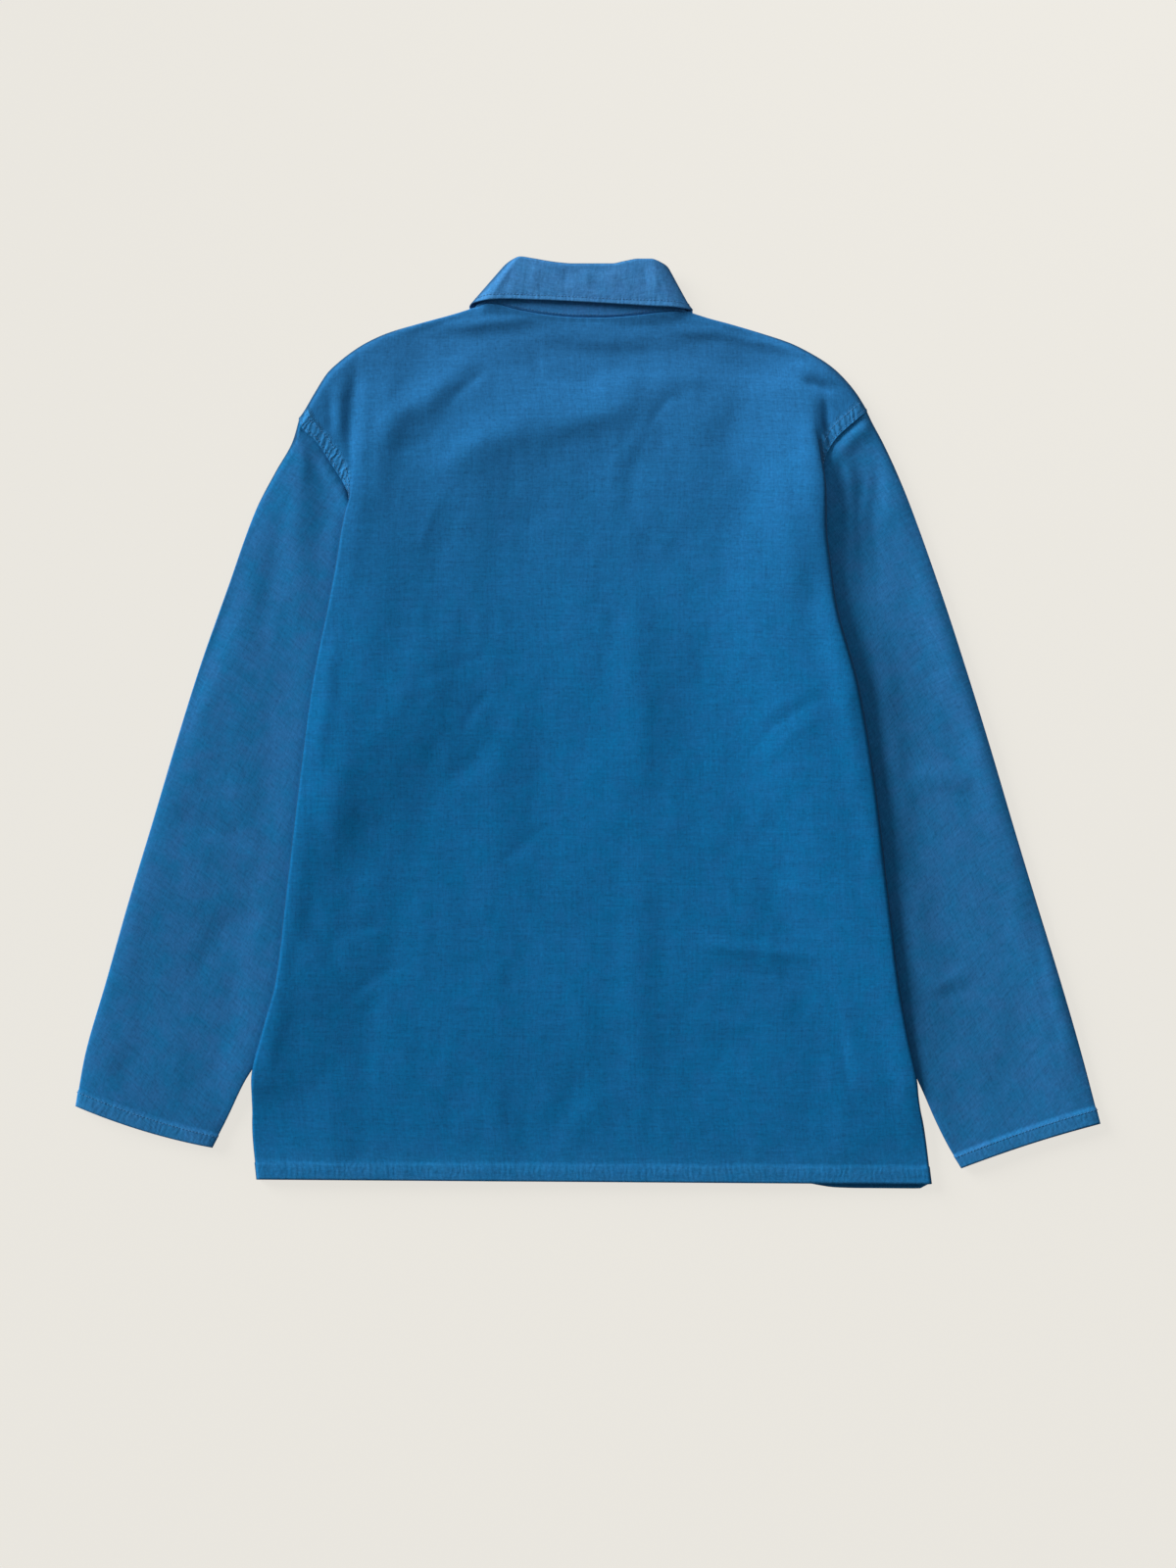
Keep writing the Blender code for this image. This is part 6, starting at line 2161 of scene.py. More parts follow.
@dataclass
class ButtonRow:
    """The resin buttons of the closed front: rimmed discs with four holes."""

    count: int = BUTTON_COUNT
    radius: float = BUTTON_RADIUS
    thick: float = BUTTON_THICK
    hole_radius: float = 1.0
    hole_place: float = 1.9
    sides: int = 48
    hole_sides: int = 16
    sharp_angle: float = 0.7
    profile: Sequence[tuple[float, float]] = (
        (0.0, 0.9), (4.6, 0.9), (5.6, 0.7), (6.3, 0.15), (7.4, 0.0), (8.2, 0.25), (8.5, 0.9),
        (8.5, 2.3), (8.1, 2.8), (7.3, 3.0), (0.0, 3.0))

    def build(self, material: bpy.types.Material) -> list[bpy.types.Object]:
        """Make every button, each to replace its solid.

        Args:
            material: the buttons' finish.

        Returns:
            The buttons, top one first.
        """
        made = []
        for index in range(self.count):
            y = BUTTON_TOP_Y - index * BUTTON_SPACING
            made.append(self.one(f"resin_button_{index + 1}", y, material))
        return made

    def one(self, name: str, y: float, material: bpy.types.Material) -> bpy.types.Object:
        """One button, turned from its profile, with its holes cut.

        Args:
            name: its name.
            y: its place along Y.
            material: its finish.

        Returns:
            The button.
        """
        around, rings = self.sides, self.profile[1:-1]
        points = [(0.0, y, self.profile[0][1])]
        for radius, high in rings:
            for turn in np.arange(around) * 2 * np.pi / around:
                points.append((radius * np.cos(turn), y + radius * np.sin(turn), high))
        points.append((0.0, y, self.profile[-1][1]))
        faces = []
        for index in range(around):
            beside = (index + 1) % around
            faces.append((0, 1 + beside, 1 + index))
            for ring in range(len(rings) - 1):
                low, high = 1 + ring * around, 1 + (ring + 1) * around
                faces.append((low + index, low + beside, high + beside, high + index))
            top = 1 + (len(rings) - 1) * around
            faces.append((top + index, top + beside, len(points) - 1))
        mesh = bpy.data.meshes.new(name)
        mesh.from_pydata([Vector(point) * MM for point in points], [], faces)
        mesh.materials.append(material)
        button = placed(name, mesh)
        cutters = [self.cutter(button, y, turn) for turn in np.arange(4) * np.pi / 2 + np.pi / 4]
        made_plain(button)
        for cutter in cutters:
            bpy.data.objects.remove(cutter, do_unlink=True)
        button.data.set_sharp_from_angle(angle=self.sharp_angle)
        return button

    def cutter(self, button: bpy.types.Object, y: float, turn: float) -> bpy.types.Object:
        """A round bar that cuts one thread hole through a button.

        Args:
            button: the button.
            y: its place along Y.
            turn: where the hole lies round its middle.

        Returns:
            The bar, which is deleted once the hole is cut.
        """
        place = (self.hole_place * np.cos(turn), y + self.hole_place * np.sin(turn))
        sides = self.hole_sides
        turns = np.arange(sides) * 2 * np.pi / sides
        points = [Vector((place[0] + self.hole_radius * np.cos(at),
                          place[1] + self.hole_radius * np.sin(at), high)) * MM
                  for high in (-1.0, self.thick + 1.0) for at in turns]
        faces = [tuple(range(sides - 1, -1, -1)), tuple(range(sides, 2 * sides))]
        for at in range(sides):
            beside = (at + 1) % sides
            faces.append((at, beside, sides + beside, sides + at))
        mesh = bpy.data.meshes.new("hole")
        mesh.from_pydata(points, [], faces)
        cutter = placed("hole", mesh)
        cut = button.modifiers.new("hole", "BOOLEAN")
        cut.operation, cut.solver, cut.object = "DIFFERENCE", "EXACT", cutter
        return cutter


@dataclass
class TopStitch:
    """Rows of machine stitches, set along lines of points by a node tree."""

    material: bpy.types.Material
    pitch: float = 2.9
    length: float = 2.3
    radius: float = 0.36
    seed: int = 5

    def tree(self) -> bpy.types.NodeTree:
        """The node tree, built once: a thread loop at each step along every line.

        Returns:
            The tree, with named inputs for the stitches' sizes.
        """
        known = bpy.data.node_groups.get("machine_stitches")
        if known is not None:
            return known
        tree = bpy.data.node_groups.new("machine_stitches", "GeometryNodeTree")
        for label, shape in (("Lines", "Geometry"), ("Pitch", "Float"), ("Length", "Float"),
                             ("Radius", "Float"), ("Seed", "Int"), ("Thread", "Material")):
            tree.interface.new_socket(label, in_out="INPUT", socket_type=f"NodeSocket{shape}")
        tree.interface.new_socket("Stitches", in_out="OUTPUT", socket_type="NodeSocketGeometry")
        sketch = NodeSketch(tree)
        given = sketch.add("NodeGroupInput").outputs
        curve = sketch.add("GeometryNodeMeshToCurve", Mesh=given["Lines"])
        steps = sketch.add("GeometryNodeResampleCurve", mode="LENGTH",
                           Curve=curve.outputs["Curve"], Length=given["Pitch"])
        loop = sketch.add("GeometryNodeMeshUVSphere", Segments=6, Rings=4, Radius=1.0)
        size = sketch.add("ShaderNodeCombineXYZ", X=sketch.maths("MULTIPLY", given["Length"], 0.5),
                          Y=given["Radius"], Z=given["Radius"])
        shaped = sketch.add("GeometryNodeTransform", Geometry=loop.outputs["Mesh"],
                            Scale=size.outputs[0])
        way = sketch.add("GeometryNodeInputTangent")
        turned = sketch.add("FunctionNodeAlignRotationToVector", axis="X",
                            Vector=way.outputs["Tangent"])
        uneven = sketch.add("FunctionNodeRandomValue", data_type="FLOAT")
        uneven.inputs[2].default_value, uneven.inputs[3].default_value = 0.86, 1.1
        sketch.fill(uneven.inputs["Seed"], given["Seed"])
        placed_loops = sketch.add(
            "GeometryNodeInstanceOnPoints", Points=steps.outputs["Curve"],
            Instance=shaped.outputs["Geometry"], Rotation=turned.outputs["Rotation"],
            Scale=uneven.outputs[1])
        real = sketch.add("GeometryNodeRealizeInstances",
                          Geometry=placed_loops.outputs["Instances"])
        smooth = sketch.add("GeometryNodeSetShadeSmooth", Geometry=real.outputs["Geometry"])
        dressed = sketch.add("GeometryNodeSetMaterial", Geometry=smooth.outputs["Geometry"],
                             Material=given["Thread"])
        sketch.fill_all(sketch.add("NodeGroupOutput"), {"Stitches": dressed.outputs["Geometry"]})
        return tree

    def sew(self, name: str, lines: Sequence[Array]) -> bpy.types.Object:
        """Make the stitches along lines of points.

        Args:
            name: the new object's name.
            lines: rows of points in millimetres.

        Returns:
            A plain mesh object with every stitch in it.
        """
        points: list[Vector] = []
        edges: list[tuple[int, int]] = []
        for line in lines:
            first = len(points)
            points.extend(Vector(point) * MM for point in line)
            edges.extend((index, index + 1) for index in range(first, len(points) - 1))
        mesh = bpy.data.meshes.new(name)
        mesh.from_pydata(points, edges, [])
        piece = placed(name, mesh)
        made = piece.modifiers.new("stitches", "NODES")
        tree = self.tree()
        made.node_group = tree
        sizes = {"Pitch": self.pitch * MM, "Length": self.length * MM,
                 "Radius": self.radius * MM, "Seed": self.seed, "Thread": self.material}
        for item in tree.interface.items_tree:
            if item.item_type == "SOCKET" and item.in_out == "INPUT" and item.name in sizes:
                made[item.identifier] = sizes[item.name]
        return made_plain(piece)


# ------------------------------------------------------------------------ finishes ----
class NodeSketch:
    """Short hand for adding and joining nodes in a tree."""

    def __init__(self, tree: bpy.types.NodeTree) -> None:
        """Keep the tree."""
        self.tree = tree

    def fill(self, target: bpy.types.NodeSocket, value: object) -> None:
        """Link a socket to a node's input, or set the input's own value.

        Args:
            target: the input.
            value: a socket to link, or a number, colour, vector or material.
        """
        if isinstance(value, bpy.types.NodeSocket):
            self.tree.links.new(value, target)
        else:
            target.default_value = value

    def fill_all(self, node: bpy.types.Node, given: Mapping[str, object]) -> None:
        """Fill a node's inputs by name.

        Args:
            node: the node.
            given: a value or a socket for each input.
        """
        for label, value in given.items():
            self.fill(node.inputs[label], value)

    def add(self, kind: str, **given: object) -> bpy.types.Node:
        """Add a node.

        Args:
            kind: the node's type.
            given: its properties, and its inputs by name: a value, or a socket to link.

        Returns:
            The node.
        """
        node = self.tree.nodes.new(kind)
        for label, value in given.items():
            if hasattr(node, label) and label not in node.inputs:
                setattr(node, label, value)
        self.fill_all(node, {label: given[label] for label in given if label in node.inputs})
        return node

    def maths(self, operation: str, first: object, second: object = 0.0,
              third: object = 0.0) -> bpy.types.NodeSocket:
        """Work out a sum on numbers or sockets.

        Args:
            operation: what the Math node does.
            first: its first value, a number or a socket.
            second: its second value.
            third: its third value, which only some operations use.

        Returns:
            The result's socket.
        """
        node = self.add("ShaderNodeMath", operation=operation)
        for socket, value in zip(node.inputs, (first, second, third)):
            self.fill(socket, value)
        return node.outputs[0]

    def plus(self, total: object, value: object, factor: float,
             offset: float = 0.0) -> bpy.types.NodeSocket:
        """Add a share of a value to a total.

        Args:
            total: what is added to.
            value: what is added.
            factor: the share of it.
            offset: a number added as well.

        Returns:
            The sum's socket.
        """
        return self.maths("ADD", total, self.maths("MULTIPLY_ADD", value, factor, offset))

    def clamped(self, value: bpy.types.NodeSocket) -> bpy.types.NodeSocket:
        """The value, kept between 0 and 1."""
        return self.add("ShaderNodeClamp", Value=value).outputs[0]

    def blend(self, share: object, first: object, second: object,
              kind: str = "MIX") -> bpy.types.NodeSocket:
        """Mix two colours.

        Args:
            share: how much of the second colour.
            first: the first colour, or its socket.
            second: the second colour, or its socket.
            kind: how they are mixed.

        Returns:
            The mixed colour's socket.
        """
        node = self.add("ShaderNodeMix", data_type="RGBA", blend_type=kind)
        for place, value in ((0, share), (6, first), (7, second)):
            self.fill(node.inputs[place], value)
        return node.outputs[2]

    def shaded(self, colour: object, tone: bpy.types.NodeSocket) -> bpy.types.NodeSocket:
        """The colour, made darker or lighter by a tone."""
        tint = self.add("ShaderNodeCombineColor", Red=tone, Green=tone, Blue=tone)
        return self.blend(1.0, colour, tint.outputs[0], "MULTIPLY")

    def noise(self, vector: bpy.types.NodeSocket, scale: float | Scales,
              detail: float = 2.0) -> bpy.types.NodeSocket:
        """Noise over a surface.

        Args:
            vector: place on the surface, in metres.
            scale: how many waves for each metre, one number or one for each axis.
            detail: how many finer layers it has.

        Returns:
            The noise's socket, from 0 to 1.
        """
        scales = scale if isinstance(scale, tuple) else (scale, scale, scale)
        mapped = self.add("ShaderNodeMapping", Vector=vector, Scale=scales)
        made = self.add("ShaderNodeTexNoise", Vector=mapped.outputs[0], Scale=1.0,
                        Detail=detail, Roughness=0.55)
        return made.outputs[0]

    def carried(self, label: str) -> bpy.types.NodeSocket:
        """A value that the mesh carries at each of its points."""
        return self.add("ShaderNodeAttribute", attribute_name=label).outputs["Fac"]

    def bumped(self, high: bpy.types.NodeSocket, strength: float,
               distance: float) -> bpy.types.NodeSocket:
        """Normals of a surface with small relief.

        Args:
            high: the relief's height.
            strength: how much of it counts.
            distance: how high 1 is, in metres.

        Returns:
            The normals' socket.
        """
        bump = self.add("ShaderNodeBump", Height=high, Strength=strength, Distance=distance)
        return bump.outputs[0]


def new_finish(name: str) -> tuple[bpy.types.Material, NodeSketch, bpy.types.Node]:
    """A new material, the sketch that adds its nodes, and its shader.

    Args:
        name: the material's name.

    Returns:
        The material, the sketch and the shader.
    """
    material = bpy.data.materials.new(name)
    material.use_nodes = True
    tree = material.node_tree
    return material, NodeSketch(tree), tree.nodes["Principled BSDF"]


PUCKER_PITCH = 5.2          # distance between a seam's fine puckers


class EffectKind(Enum):
    """Shader effects that more than one finish uses."""

    COTTON = "cotton_grain"
    PUCKERS = "seam_puckers"
    FADE = "uneven_fade"


def effect(kind: EffectKind) -> bpy.types.NodeTree:
    """The node group of an effect, built on first use.

    Args:
        kind: which effect.

    Returns:
        Its node group.
    """
    known = bpy.data.node_groups.get(kind.value)
    if known is not None:
        return known
    tree = bpy.data.node_groups.new(kind.value, "ShaderNodeTree")
    takes, gives, build = {
        EffectKind.COTTON: (
            (("Vector", "Grain"), ("Float", "Pitch")), ("Tone", "Height"), cotton_grain),
        EffectKind.PUCKERS: (
            (("Float", "Along"), ("Float", "Strength"), ("Vector", "Place")), ("Mask",),
            seam_puckers),
        EffectKind.FADE: (
            (("Vector", "Place"), ("Float", "Wear")), ("Mask",), uneven_fade),
    }[kind]
    for shape, label in takes:
        tree.interface.new_socket(label, in_out="INPUT", socket_type=f"NodeSocket{shape}")
    for label in gives:
        tree.interface.new_socket(label, in_out="OUTPUT", socket_type="NodeSocketFloat")
    sketch = NodeSketch(tree)
    given = sketch.add("NodeGroupInput").outputs
    sketch.fill_all(sketch.add("NodeGroupOutput"), build(sketch, given))
    return tree


# Sizes of the cloth's own patterns: waves in a metre, along X and Y of its grain.
WARP_THREADS = (2600.0, 170.0, 1.0)
WEFT_THREADS = (150.0, 2300.0, 1.0)
WARP_SLUBS = (520.0, 26.0, 1.0)
WEFT_SLUBS = (24.0, 470.0, 1.0)
FLECKS = (430.0, 430.0, 1.0)
NUBS = (110.0, 210.0, 1.0)
LINE_WANDER = (90.0, 90.0, 1.0)


def cotton_grain(sketch: NodeSketch, given: Sockets) -> dict[str, bpy.types.NodeSocket]:
    """Twill lines with slubs in warp and weft.

    Args:
        sketch: what adds the nodes.
        given: the group's inputs, the cloth's grain and the pitch of its twill lines.

    Returns:
        A tone, with 0 for the plain dye, and a height.
    """
    grain = given["Grain"]
    parts = sketch.add("ShaderNodeSeparateXYZ", Vector=grain)
    threads = sketch.maths("ADD", sketch.noise(grain, WARP_THREADS, 1.0),
                           sketch.noise(grain, WEFT_THREADS, 1.0))
    slubs = sketch.maths("ADD", sketch.noise(grain, WARP_SLUBS), sketch.noise(grain, WEFT_SLUBS))
    flecks = sketch.noise(grain, FLECKS)
    nubs = sketch.noise(grain, NUBS, 1.0)
    wander = sketch.noise(grain, LINE_WANDER, 1.0)
    run = sketch.maths("ADD", parts.outputs[0], parts.outputs[1])
    turns = sketch.plus(sketch.maths("DIVIDE", run, given["Pitch"]), wander, 1.6)
    line = sketch.maths("SINE", sketch.maths("MULTIPLY", turns, 2 * np.pi))
    tone = sketch.maths("MULTIPLY_ADD", threads, 0.50, -0.50)
    tone = sketch.plus(tone, slubs, 0.38, -0.38)
    tone = sketch.plus(tone, nubs, 0.18, -0.09)
    tone = sketch.plus(tone, flecks, 0.60, -0.30)
    tone = sketch.plus(tone, line, 0.02)
    high = sketch.maths("MULTIPLY", line, 0.30)
    for part, share in ((threads, 0.7), (slubs, 0.35), (flecks, 0.7)):
        high = sketch.plus(high, part, share)
    return {"Tone": tone, "Height": high}


def seam_puckers(sketch: NodeSketch, given: Sockets) -> dict[str, bpy.types.NodeSocket]:
    """Short creases across a seam, stronger and weaker along it.

    Args:
        sketch: what adds the nodes.
        given: the group's inputs, the way along the seam, its pull and the place.

    Returns:
        A mask, the creases' height.
    """
    wander = sketch.noise(given["Place"], 70.0)
    swell = sketch.noise(given["Place"], 160.0, 1.0)
    place = sketch.maths("MULTIPLY", given["Along"], 2 * np.pi / PUCKER_PITCH)
    wave = sketch.maths("SINE", sketch.plus(place, wander, 16.0))
    wave = sketch.maths("MULTIPLY", wave, swell)
    return {"Mask": sketch.maths("MULTIPLY", wave, given["Strength"])}


def uneven_fade(sketch: NodeSketch, given: Sockets) -> dict[str, bpy.types.NodeSocket]:
    """How far the colour is made paler: where worn, and as painted light, broken up by spots.

    Args:
        sketch: what adds the nodes.
        given: the group's inputs, the place, and how worn and how much painted paler it is.

    Returns:
        A mask, from 0 to 1.
    """
    spots = sketch.noise(given["Place"], 210.0, 3.0)
    patches = sketch.noise(given["Place"], 48.0)
    rubbed = sketch.maths("MULTIPLY_ADD", spots, 1.3, 0.1)
    rubbed = sketch.plus(rubbed, patches, 0.7, -0.35)
    return {"Mask": sketch.clamped(sketch.maths("MULTIPLY", rubbed, given["Wear"]))}


@dataclass(frozen=True)
class Twill:
    """Garment-dyed cotton twill, faded where worn, with painted shade and painted light."""

    name: str
    colour: Colour
    faded: Colour
    pitch: float = 1.05
    mottle: float = 0.15
    bump: float = 0.08
    violet: float = 0.0042
    # how much darker cloth on edge is painted: painted shade
    deep: float = 0.64
    # paler, redder colour that the body takes towards the shoulders, and over what span of Y
    bleached: Colour | None = None
    bleach_start: float = -0.02
    bleach_span: float = 0.34
    cloud_size: float = 75.0
    patch_size: float = 9.0
    # how far seam puckers are painted darker and lighter: painted shade
    fold_tone: float = 0.35
    fold_bump: float = 0.9
    bump_share: float = 0.7
    bump_depth: float = 0.0006
    roughness: float = 0.82
    rough_patches: float = 0.12
    shine: float = 0.04
    sheen: float = 0.09
    sheen_spread: float = 0.6
    sheen_tint: Colour = (0.35, 0.65, 1.0)

    def shifted(self, turn: float) -> tuple[float, float, float, float]:
        """The dye's colour turned a little to violet (1) or to green (-1).

        Args:
            turn: how far it is turned.

        Returns:
            The colour.
        """
        red, green, blue = self.colour
        return (red + self.violet * (1 + turn), green * (1 - 0.012 * turn),
                blue * (1 + 0.01 * turn), 1.0)

    def dyed(self, sketch: NodeSketch, place: bpy.types.NodeSocket) -> bpy.types.NodeSocket:
        """The dye before wear, uneven in hue, and on the body paler towards the shoulders.

        Args:
            sketch: what adds the nodes.
            place: place on the jacket, in metres.

        Returns:
            The colour's socket.
        """
        hue = sketch.maths("MULTIPLY_ADD", sketch.noise(place, 62.0, 3.0), 3.0, -1.0)
        dyed = sketch.blend(sketch.clamped(hue), self.shifted(1.0), self.shifted(-1.0))
        if self.bleached is None:
            return dyed
        parts = sketch.add("ShaderNodeSeparateXYZ", Vector=place)
        share = sketch.maths("MULTIPLY_ADD", parts.outputs[1], 1 / self.bleach_span,
                             -self.bleach_start / self.bleach_span)
        mask = sketch.maths("POWER", sketch.clamped(share), 1.5)
        return sketch.blend(mask, dyed, (*self.bleached, 1.0))

    def build(self) -> bpy.types.Material:
        """Make the material, its pattern on the cloth's own grain.

        Returns:
            The material.
        """
        material, sketch, shader = new_finish(self.name)
        place = sketch.add("ShaderNodeTexCoord").outputs["Object"]
        cotton = sketch.add("ShaderNodeGroup", node_tree=effect(EffectKind.COTTON),
                            Grain=sketch.add("ShaderNodeUVMap", uv_map="grain").outputs[0],
                            Pitch=self.pitch * MM).outputs
        # Seam puckers: their height bumps the cloth and also paints shade into its colour.
        folds = sketch.add("ShaderNodeGroup", node_tree=effect(EffectKind.PUCKERS),
                           Along=sketch.carried("along"), Strength=sketch.carried("pucker"),
                           Place=place).outputs["Mask"]
        # The wear mask also carries painted light: a paler tone on the right sleeve.
        fade = sketch.add("ShaderNodeGroup", node_tree=effect(EffectKind.FADE), Place=place,
                          Wear=sketch.carried("wear")).outputs["Mask"]
        base = sketch.blend(fade, self.dyed(sketch, place), (*self.faded, 1.0))
        cloud = sketch.noise(place, self.cloud_size, 3.0)
        tone = cotton["Tone"]
        for patches in (sketch.noise(place, self.patch_size, 3.0), cloud):
            tone = sketch.plus(tone, patches, self.mottle, -self.mottle / 2)
        # Painted shade: the flanks of seam puckers are painted darker and lighter.
        tone = sketch.plus(tone, folds, self.fold_tone, 1.0)
        # Painted shade: cloth that stands on edge at folds is painted darker.
        edge_shade_factor = sketch.maths("MULTIPLY_ADD", sketch.carried("turn"), -self.deep, 1.0)
        colour = sketch.shaded(base, sketch.maths("MULTIPLY", tone, edge_shade_factor))
        high = sketch.maths("MULTIPLY", cotton["Height"], self.bump)
        high = sketch.plus(high, folds, self.fold_bump)
        sketch.fill_all(shader, {
            "Base Color": colour,
            "Roughness": sketch.maths("MULTIPLY_ADD", cloud, self.rough_patches, self.roughness),
            "Normal": sketch.bumped(high, self.bump_share, self.bump_depth),
            "Specular IOR Level": self.shine,
            "Sheen Weight": self.sheen,
            "Sheen Roughness": self.sheen_spread,
            "Sheen Tint": (*self.sheen_tint, 1.0),
        })
        return material


BODY_TWILL = Twill("blue_twill", colour=(0.0008, 0.1045, 0.274), faded=(0.030, 0.185, 0.420),
                   violet=0.0014, bleached=(0.0145, 0.115, 0.292))
COLLAR_TWILL = Twill("collar_twill", colour=(0.0200, 0.133, 0.338),
                     faded=(0.050, 0.202, 0.449), mottle=0.14)
SLEEVE_TWILL = Twill("sleeve_twill", colour=(0.0060, 0.112, 0.284), faded=(0.034, 0.185, 0.420))


@dataclass(frozen=True)
class Thread:
    """Cotton-wrapped sewing thread, twisted."""

    name: str = "blue_thread"
    colour: Colour = (0.009, 0.118, 0.292)
    twist: Scales = (3200.0, 3200.0, 900.0)
    bump_share: float = 0.5
    bump_depth: float = 0.0002
    roughness: float = 0.62
    sheen: float = 0.06

    def build(self) -> bpy.types.Material:
        """Make the material, its twist on the object's coordinates.

        Returns:
            The material.
        """
        material, sketch, shader = new_finish(self.name)
        place = sketch.add("ShaderNodeTexCoord").outputs["Object"]
        tone = sketch.maths("MULTIPLY_ADD", sketch.noise(place, 420.0), 0.7, 0.65)
        twist = sketch.noise(place, self.twist, 1.0)
        sketch.fill_all(shader, {
            "Base Color": sketch.shaded((*self.colour, 1.0), tone),
            "Normal": sketch.bumped(twist, self.bump_share, self.bump_depth),
            "Roughness": self.roughness,
            "Sheen Weight": self.sheen,
        })
        return material


@dataclass(frozen=True)
class Resin:
    """Dark moulded resin with a faint swirl."""

    name: str = "navy_resin"
    colour: Colour = (0.010, 0.022, 0.050)
    pale: Colour = (0.024, 0.0528, 0.120)
    swirl_size: float = 260.0
    roughness: float = 0.22
    rough_patches: float = 0.2

    def build(self) -> bpy.types.Material:
        """Make the material, its swirl on the object's coordinates.

        Returns:
            The material.
        """
        material, sketch, shader = new_finish(self.name)
        place = sketch.add("ShaderNodeTexCoord").outputs["Object"]
        swirl = sketch.noise(place, self.swirl_size, 4.0)
        sketch.fill_all(shader, {
            "Base Color": sketch.blend(swirl, (*self.colour, 1.0), (*self.pale, 1.0)),
            "Roughness": sketch.maths("MULTIPLY_ADD", swirl, self.rough_patches, self.roughness),
        })
        return material


# -------------------------------------------------------------------------- studio ----
@dataclass
class Studio:
    """A plain pale floor, soft light from the upper left and a camera straight above."""

    frame_height: float = 1600 / 1.2 * MM
    centre_y: float = -64 / 1.2 * MM
    jacket_level: float = 0.010
    lens: float = 100.0
    floor_colour: Colour = (0.823, 0.799, 0.745)
    floor_glow: float = 0.9
    key_power: float = 7.1
    key_spread: float = 0.58
    key_from: Point3 = (-0.79, 0.50, 0.31)
    sky: float = 0.20
    top_power: float = 3.5
    top_size: float = 0.9
    top_from: Point3 = (0.42, 0.84, 0.55)
    top_aim: Point3 = (0.0, 0.2, 0.0)
    sensor: float = 36.0
    floor_half: float = 6.0
    floor_level: float = -0.0004

    def build(self) -> bpy.types.Object:
        """Make floor, lights and camera.

        Returns:
            The floor.
        """
        scene = bpy.context.scene
        mesh = bpy.data.meshes.new("floor")
        corners = ((-1, -1), (1, -1), (1, 1), (-1, 1))
        mesh.from_pydata([(x * self.floor_half, y * self.floor_half, self.floor_level)
                          for x, y in corners], [], [(0, 1, 2, 3)])
        floor = placed(FLOOR_NAME, mesh)
        mesh.materials.append(self.light_table())
        data = bpy.data.cameras.new("camera")
        data.lens, data.sensor_width = self.lens, self.sensor
        camera = placed("camera", data)
        distance = self.frame_height * self.lens / self.sensor
        camera.location = (0.0, self.centre_y, self.jacket_level + distance)
        scene.camera = camera
        self.key_light()
        self.top_light()
        world = bpy.data.worlds.new("sky")
        world.use_nodes = True
        back = world.node_tree.nodes["Background"]
        back.inputs["Color"].default_value = (1.0, 0.99, 0.97, 1.0)
        back.inputs["Strength"].default_value = self.sky
        scene.world = world
        scene.view_settings.view_transform = "Standard"
        scene.view_settings.look = "None"
        return floor

    def light_table(self) -> bpy.types.Material:
        """Matt pale floor that is lit from below as well, so that shadows on it stay faint.

        Returns:
            The material.
        """
        material, sketch, shader = new_finish("light_table")
        matt = 1 - self.floor_glow
        sketch.fill_all(shader, {
            "Base Color": (*(value * matt for value in self.floor_colour), 1.0),
            "Roughness": 0.95,
            "Specular IOR Level": 0.0,
            "Emission Color": (*self.floor_colour, 1.0),
            "Emission Strength": self.floor_glow,
        })
        return material

    def key_light(self) -> None:
        """Even soft light from the upper left, like a large far window."""
        data = bpy.data.lights.new("key", "SUN")
        data.angle, data.energy, data.color = self.key_spread, self.key_power, (1.0, 0.985, 0.96)
        lamp = placed("key", data)
        lamp.rotation_euler = Vector(self.key_from).to_track_quat("Z", "Y").to_euler()

    def top_light(self) -> None:
        """Near soft light beyond the collar, for the shoulders."""
        data = bpy.data.lights.new("top", "AREA")
        data.shape, data.size, data.energy = "SQUARE", self.top_size, self.top_power
        lamp = placed("top", data)
        lamp.location = Vector(self.top_from)
        way = lamp.location - Vector(self.top_aim)
        lamp.rotation_euler = way.to_track_quat("Z", "Y").to_euler()


# -------------------------------------------------------------------------- jacket ----
class ClothPart(Protocol):
    """What the class of every cloth piece has."""

    name: str
    node: str
    flat_width: float
    flat_length: float

    def sheet(self) -> Sheet:
        """The piece's grid of points."""

    def stitch_lines(self) -> list[Array]:
        """The lines along which it is stitched."""


class LaidSheet(NamedTuple):
    """A finished cloth piece that lies on others, and its stitches."""

    piece: bpy.types.Object
    sewing: bpy.types.Object
    flat: tuple[float, float]
    area: float
    rests_on: Sequence[str]


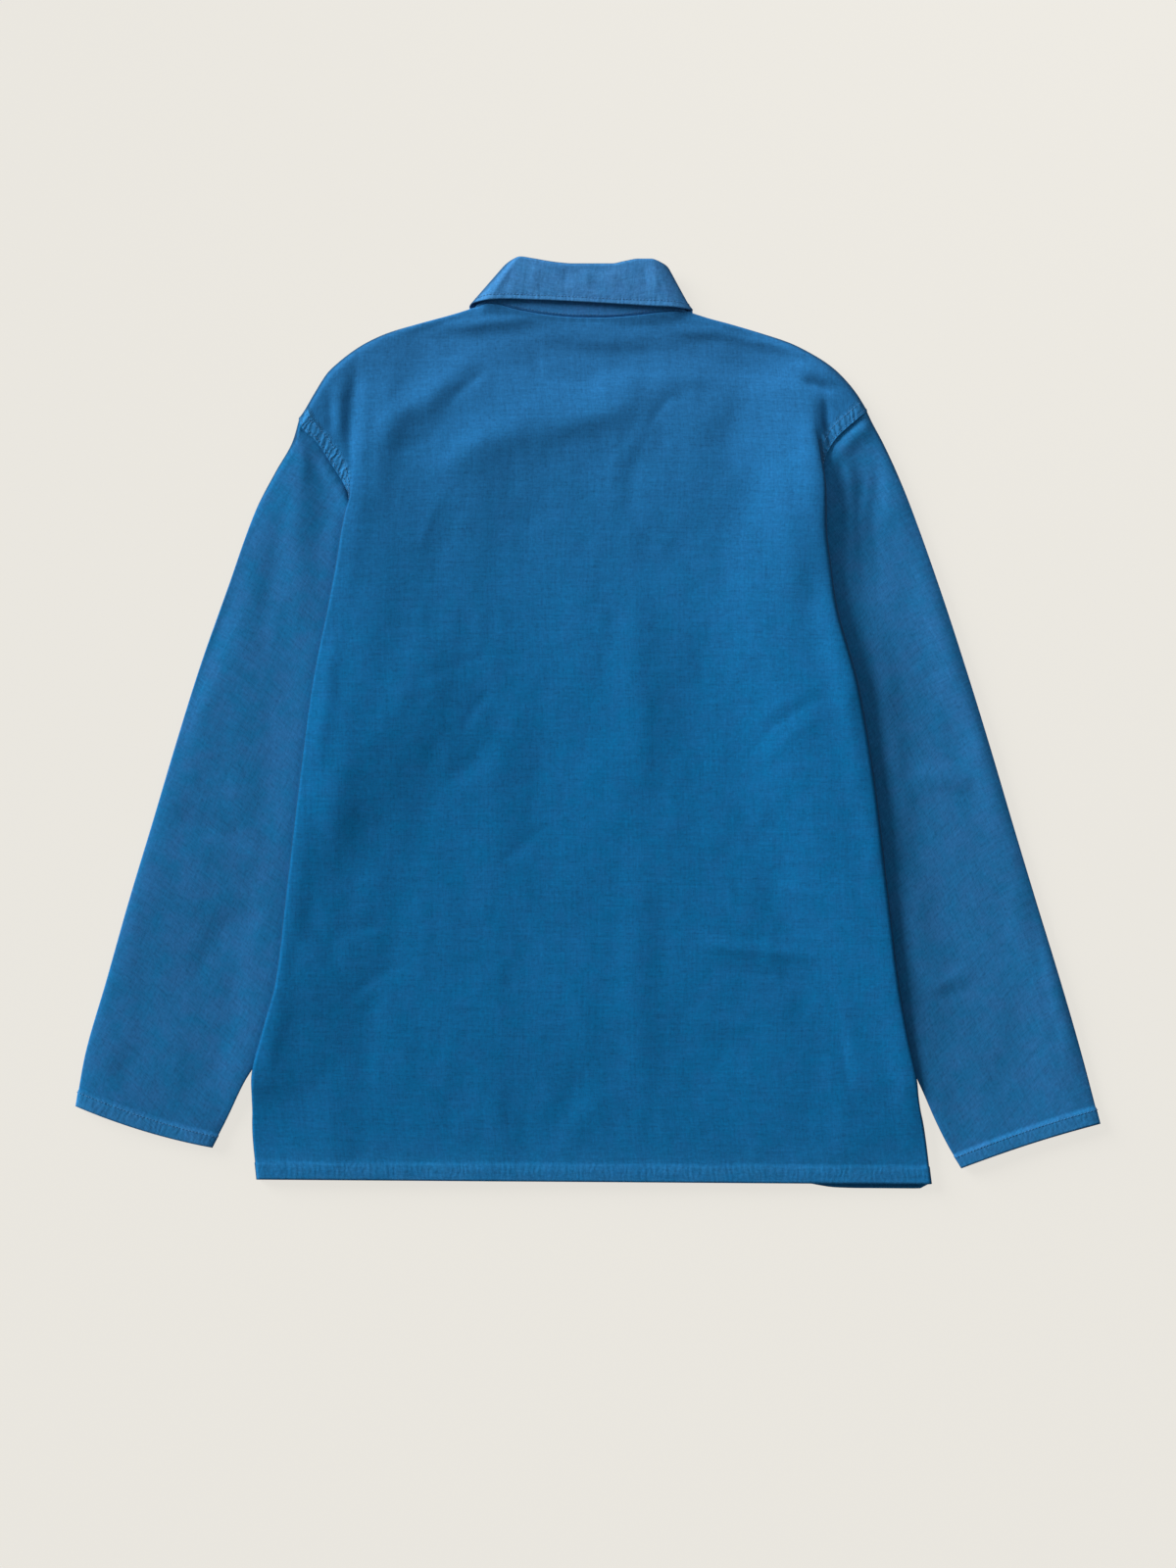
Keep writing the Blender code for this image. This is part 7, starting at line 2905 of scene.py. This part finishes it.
@dataclass
class Jacket:
    """All pieces of the jacket, in the order they are sewn."""

    cloth: Twill
    collar_cloth: Twill
    sleeve_cloth: Twill
    thread: Thread
    resin: Resin
    laid: list[LaidSheet] = field(default_factory=list)

    def build(self) -> None:
        """Make and dress every piece, and keep a record of the cloth pieces."""
        cloth, collar_cloth = self.cloth.build(), self.collar_cloth.build()
        sleeve_cloth = self.sleeve_cloth.build()
        stitch = TopStitch(self.thread.build())
        back = BackPanel()
        fronts = (FrontPanel("cloth_front_left", "front_left", LEFT),
                  FrontPanel("cloth_front_right", "front_right", RIGHT, drop=4.0))
        sleeves = (
            SleeveTube("cloth_sleeve_left", "sleeve_left", LEFT, SLEEVE_OUTER_LEFT,
                       SLEEVE_INNER_LEFT, CUFF_BOW_LEFT, LEFT_SLEEVE_FOLDS,
                       LEFT_SLEEVE_CREASES, 81, back, fronts[0]),
            SleeveTube("cloth_sleeve_right", "sleeve_right", RIGHT, SLEEVE_OUTER_RIGHT,
                       SLEEVE_INNER_RIGHT, CUFF_BOW_RIGHT, RIGHT_SLEEVE_FOLDS,
                       # the right sleeve is painted paler, standing in for the stronger light on
                       # that side
                       RIGHT_SLEEVE_CREASES, 91, back, fronts[1], rubbed=0.14))
        pockets = [PocketPatch(patch, f"cloth_{patch.name}", patch.name) for patch in POCKETS]
        self.add(back, cloth, stitch, ["cloth_front_left", "cloth_front_right",
                                       "cloth_sleeve_left", "cloth_sleeve_right"])
        for front in fronts:
            self.add(front, cloth, stitch, [FLOOR_NAME])
        for sleeve in sleeves:
            self.add(sleeve, sleeve_cloth, stitch, [FLOOR_NAME, sleeve.front.name], closed=True)
        self.add(CollarPiece(back, fronts), collar_cloth, stitch, ["cloth_back", FLOOR_NAME],
                 thick=COLLAR_CLOTH)
        for pocket in pockets:
            self.add(pocket, cloth, stitch, [FLOOR_NAME])
        for index, button in enumerate(ButtonRow().build(self.resin.build())):
            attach(button, "root")
            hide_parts(f"button_{index + 1}")
            LOG.info("%s: %d faces", button.name, len(button.data.polygons))

    def add(self, part: ClothPart, cloth: bpy.types.Material, stitch: TopStitch,
            rests_on: Sequence[str], closed: bool = False, thick: float = CLOTH) -> None:
        """Make one cloth piece with its stitches, and keep a record of both.

        Args:
            part: the piece.
            cloth: its finish.
            stitch: what sews its rows.
            rests_on: names of what it lies on.
            closed: whether it is a tube.
            thick: thickness of its wall in millimetres.
        """
        sheet = part.sheet()
        hem_thick = HEM_CLOTH if sheet.hem.any() else thick + 0.01
        piece = sewn_piece(part.name, sheet, cloth, thick, hem_thick, closed)
        sewing = stitch.sew(part.name.replace("cloth", "stitches"), part.stitch_lines())
        for made in (piece, sewing):
            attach(made, "root")
            made.data.name = made.name
        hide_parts(part.node)
        area = sheet.area()
        self.laid.append(LaidSheet(piece, sewing, (part.flat_width, part.flat_length), area,
                                   rests_on))
        LOG.info("%s: %.3f m2 of cloth, %d points, %d stitch faces", part.name, area,
                 sheet.hem.size, len(sewing.data.polygons))


def main() -> None:
    """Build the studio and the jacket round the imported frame."""
    logging.basicConfig(level=logging.INFO, format="%(name)s: %(message)s")
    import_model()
    floor = Studio().build()
    jacket = Jacket(cloth=BODY_TWILL, collar_cloth=COLLAR_TWILL, sleeve_cloth=SLEEVE_TWILL,
                    thread=Thread(), resin=Resin())
    jacket.build()


if __name__ == "__main__":
    main()
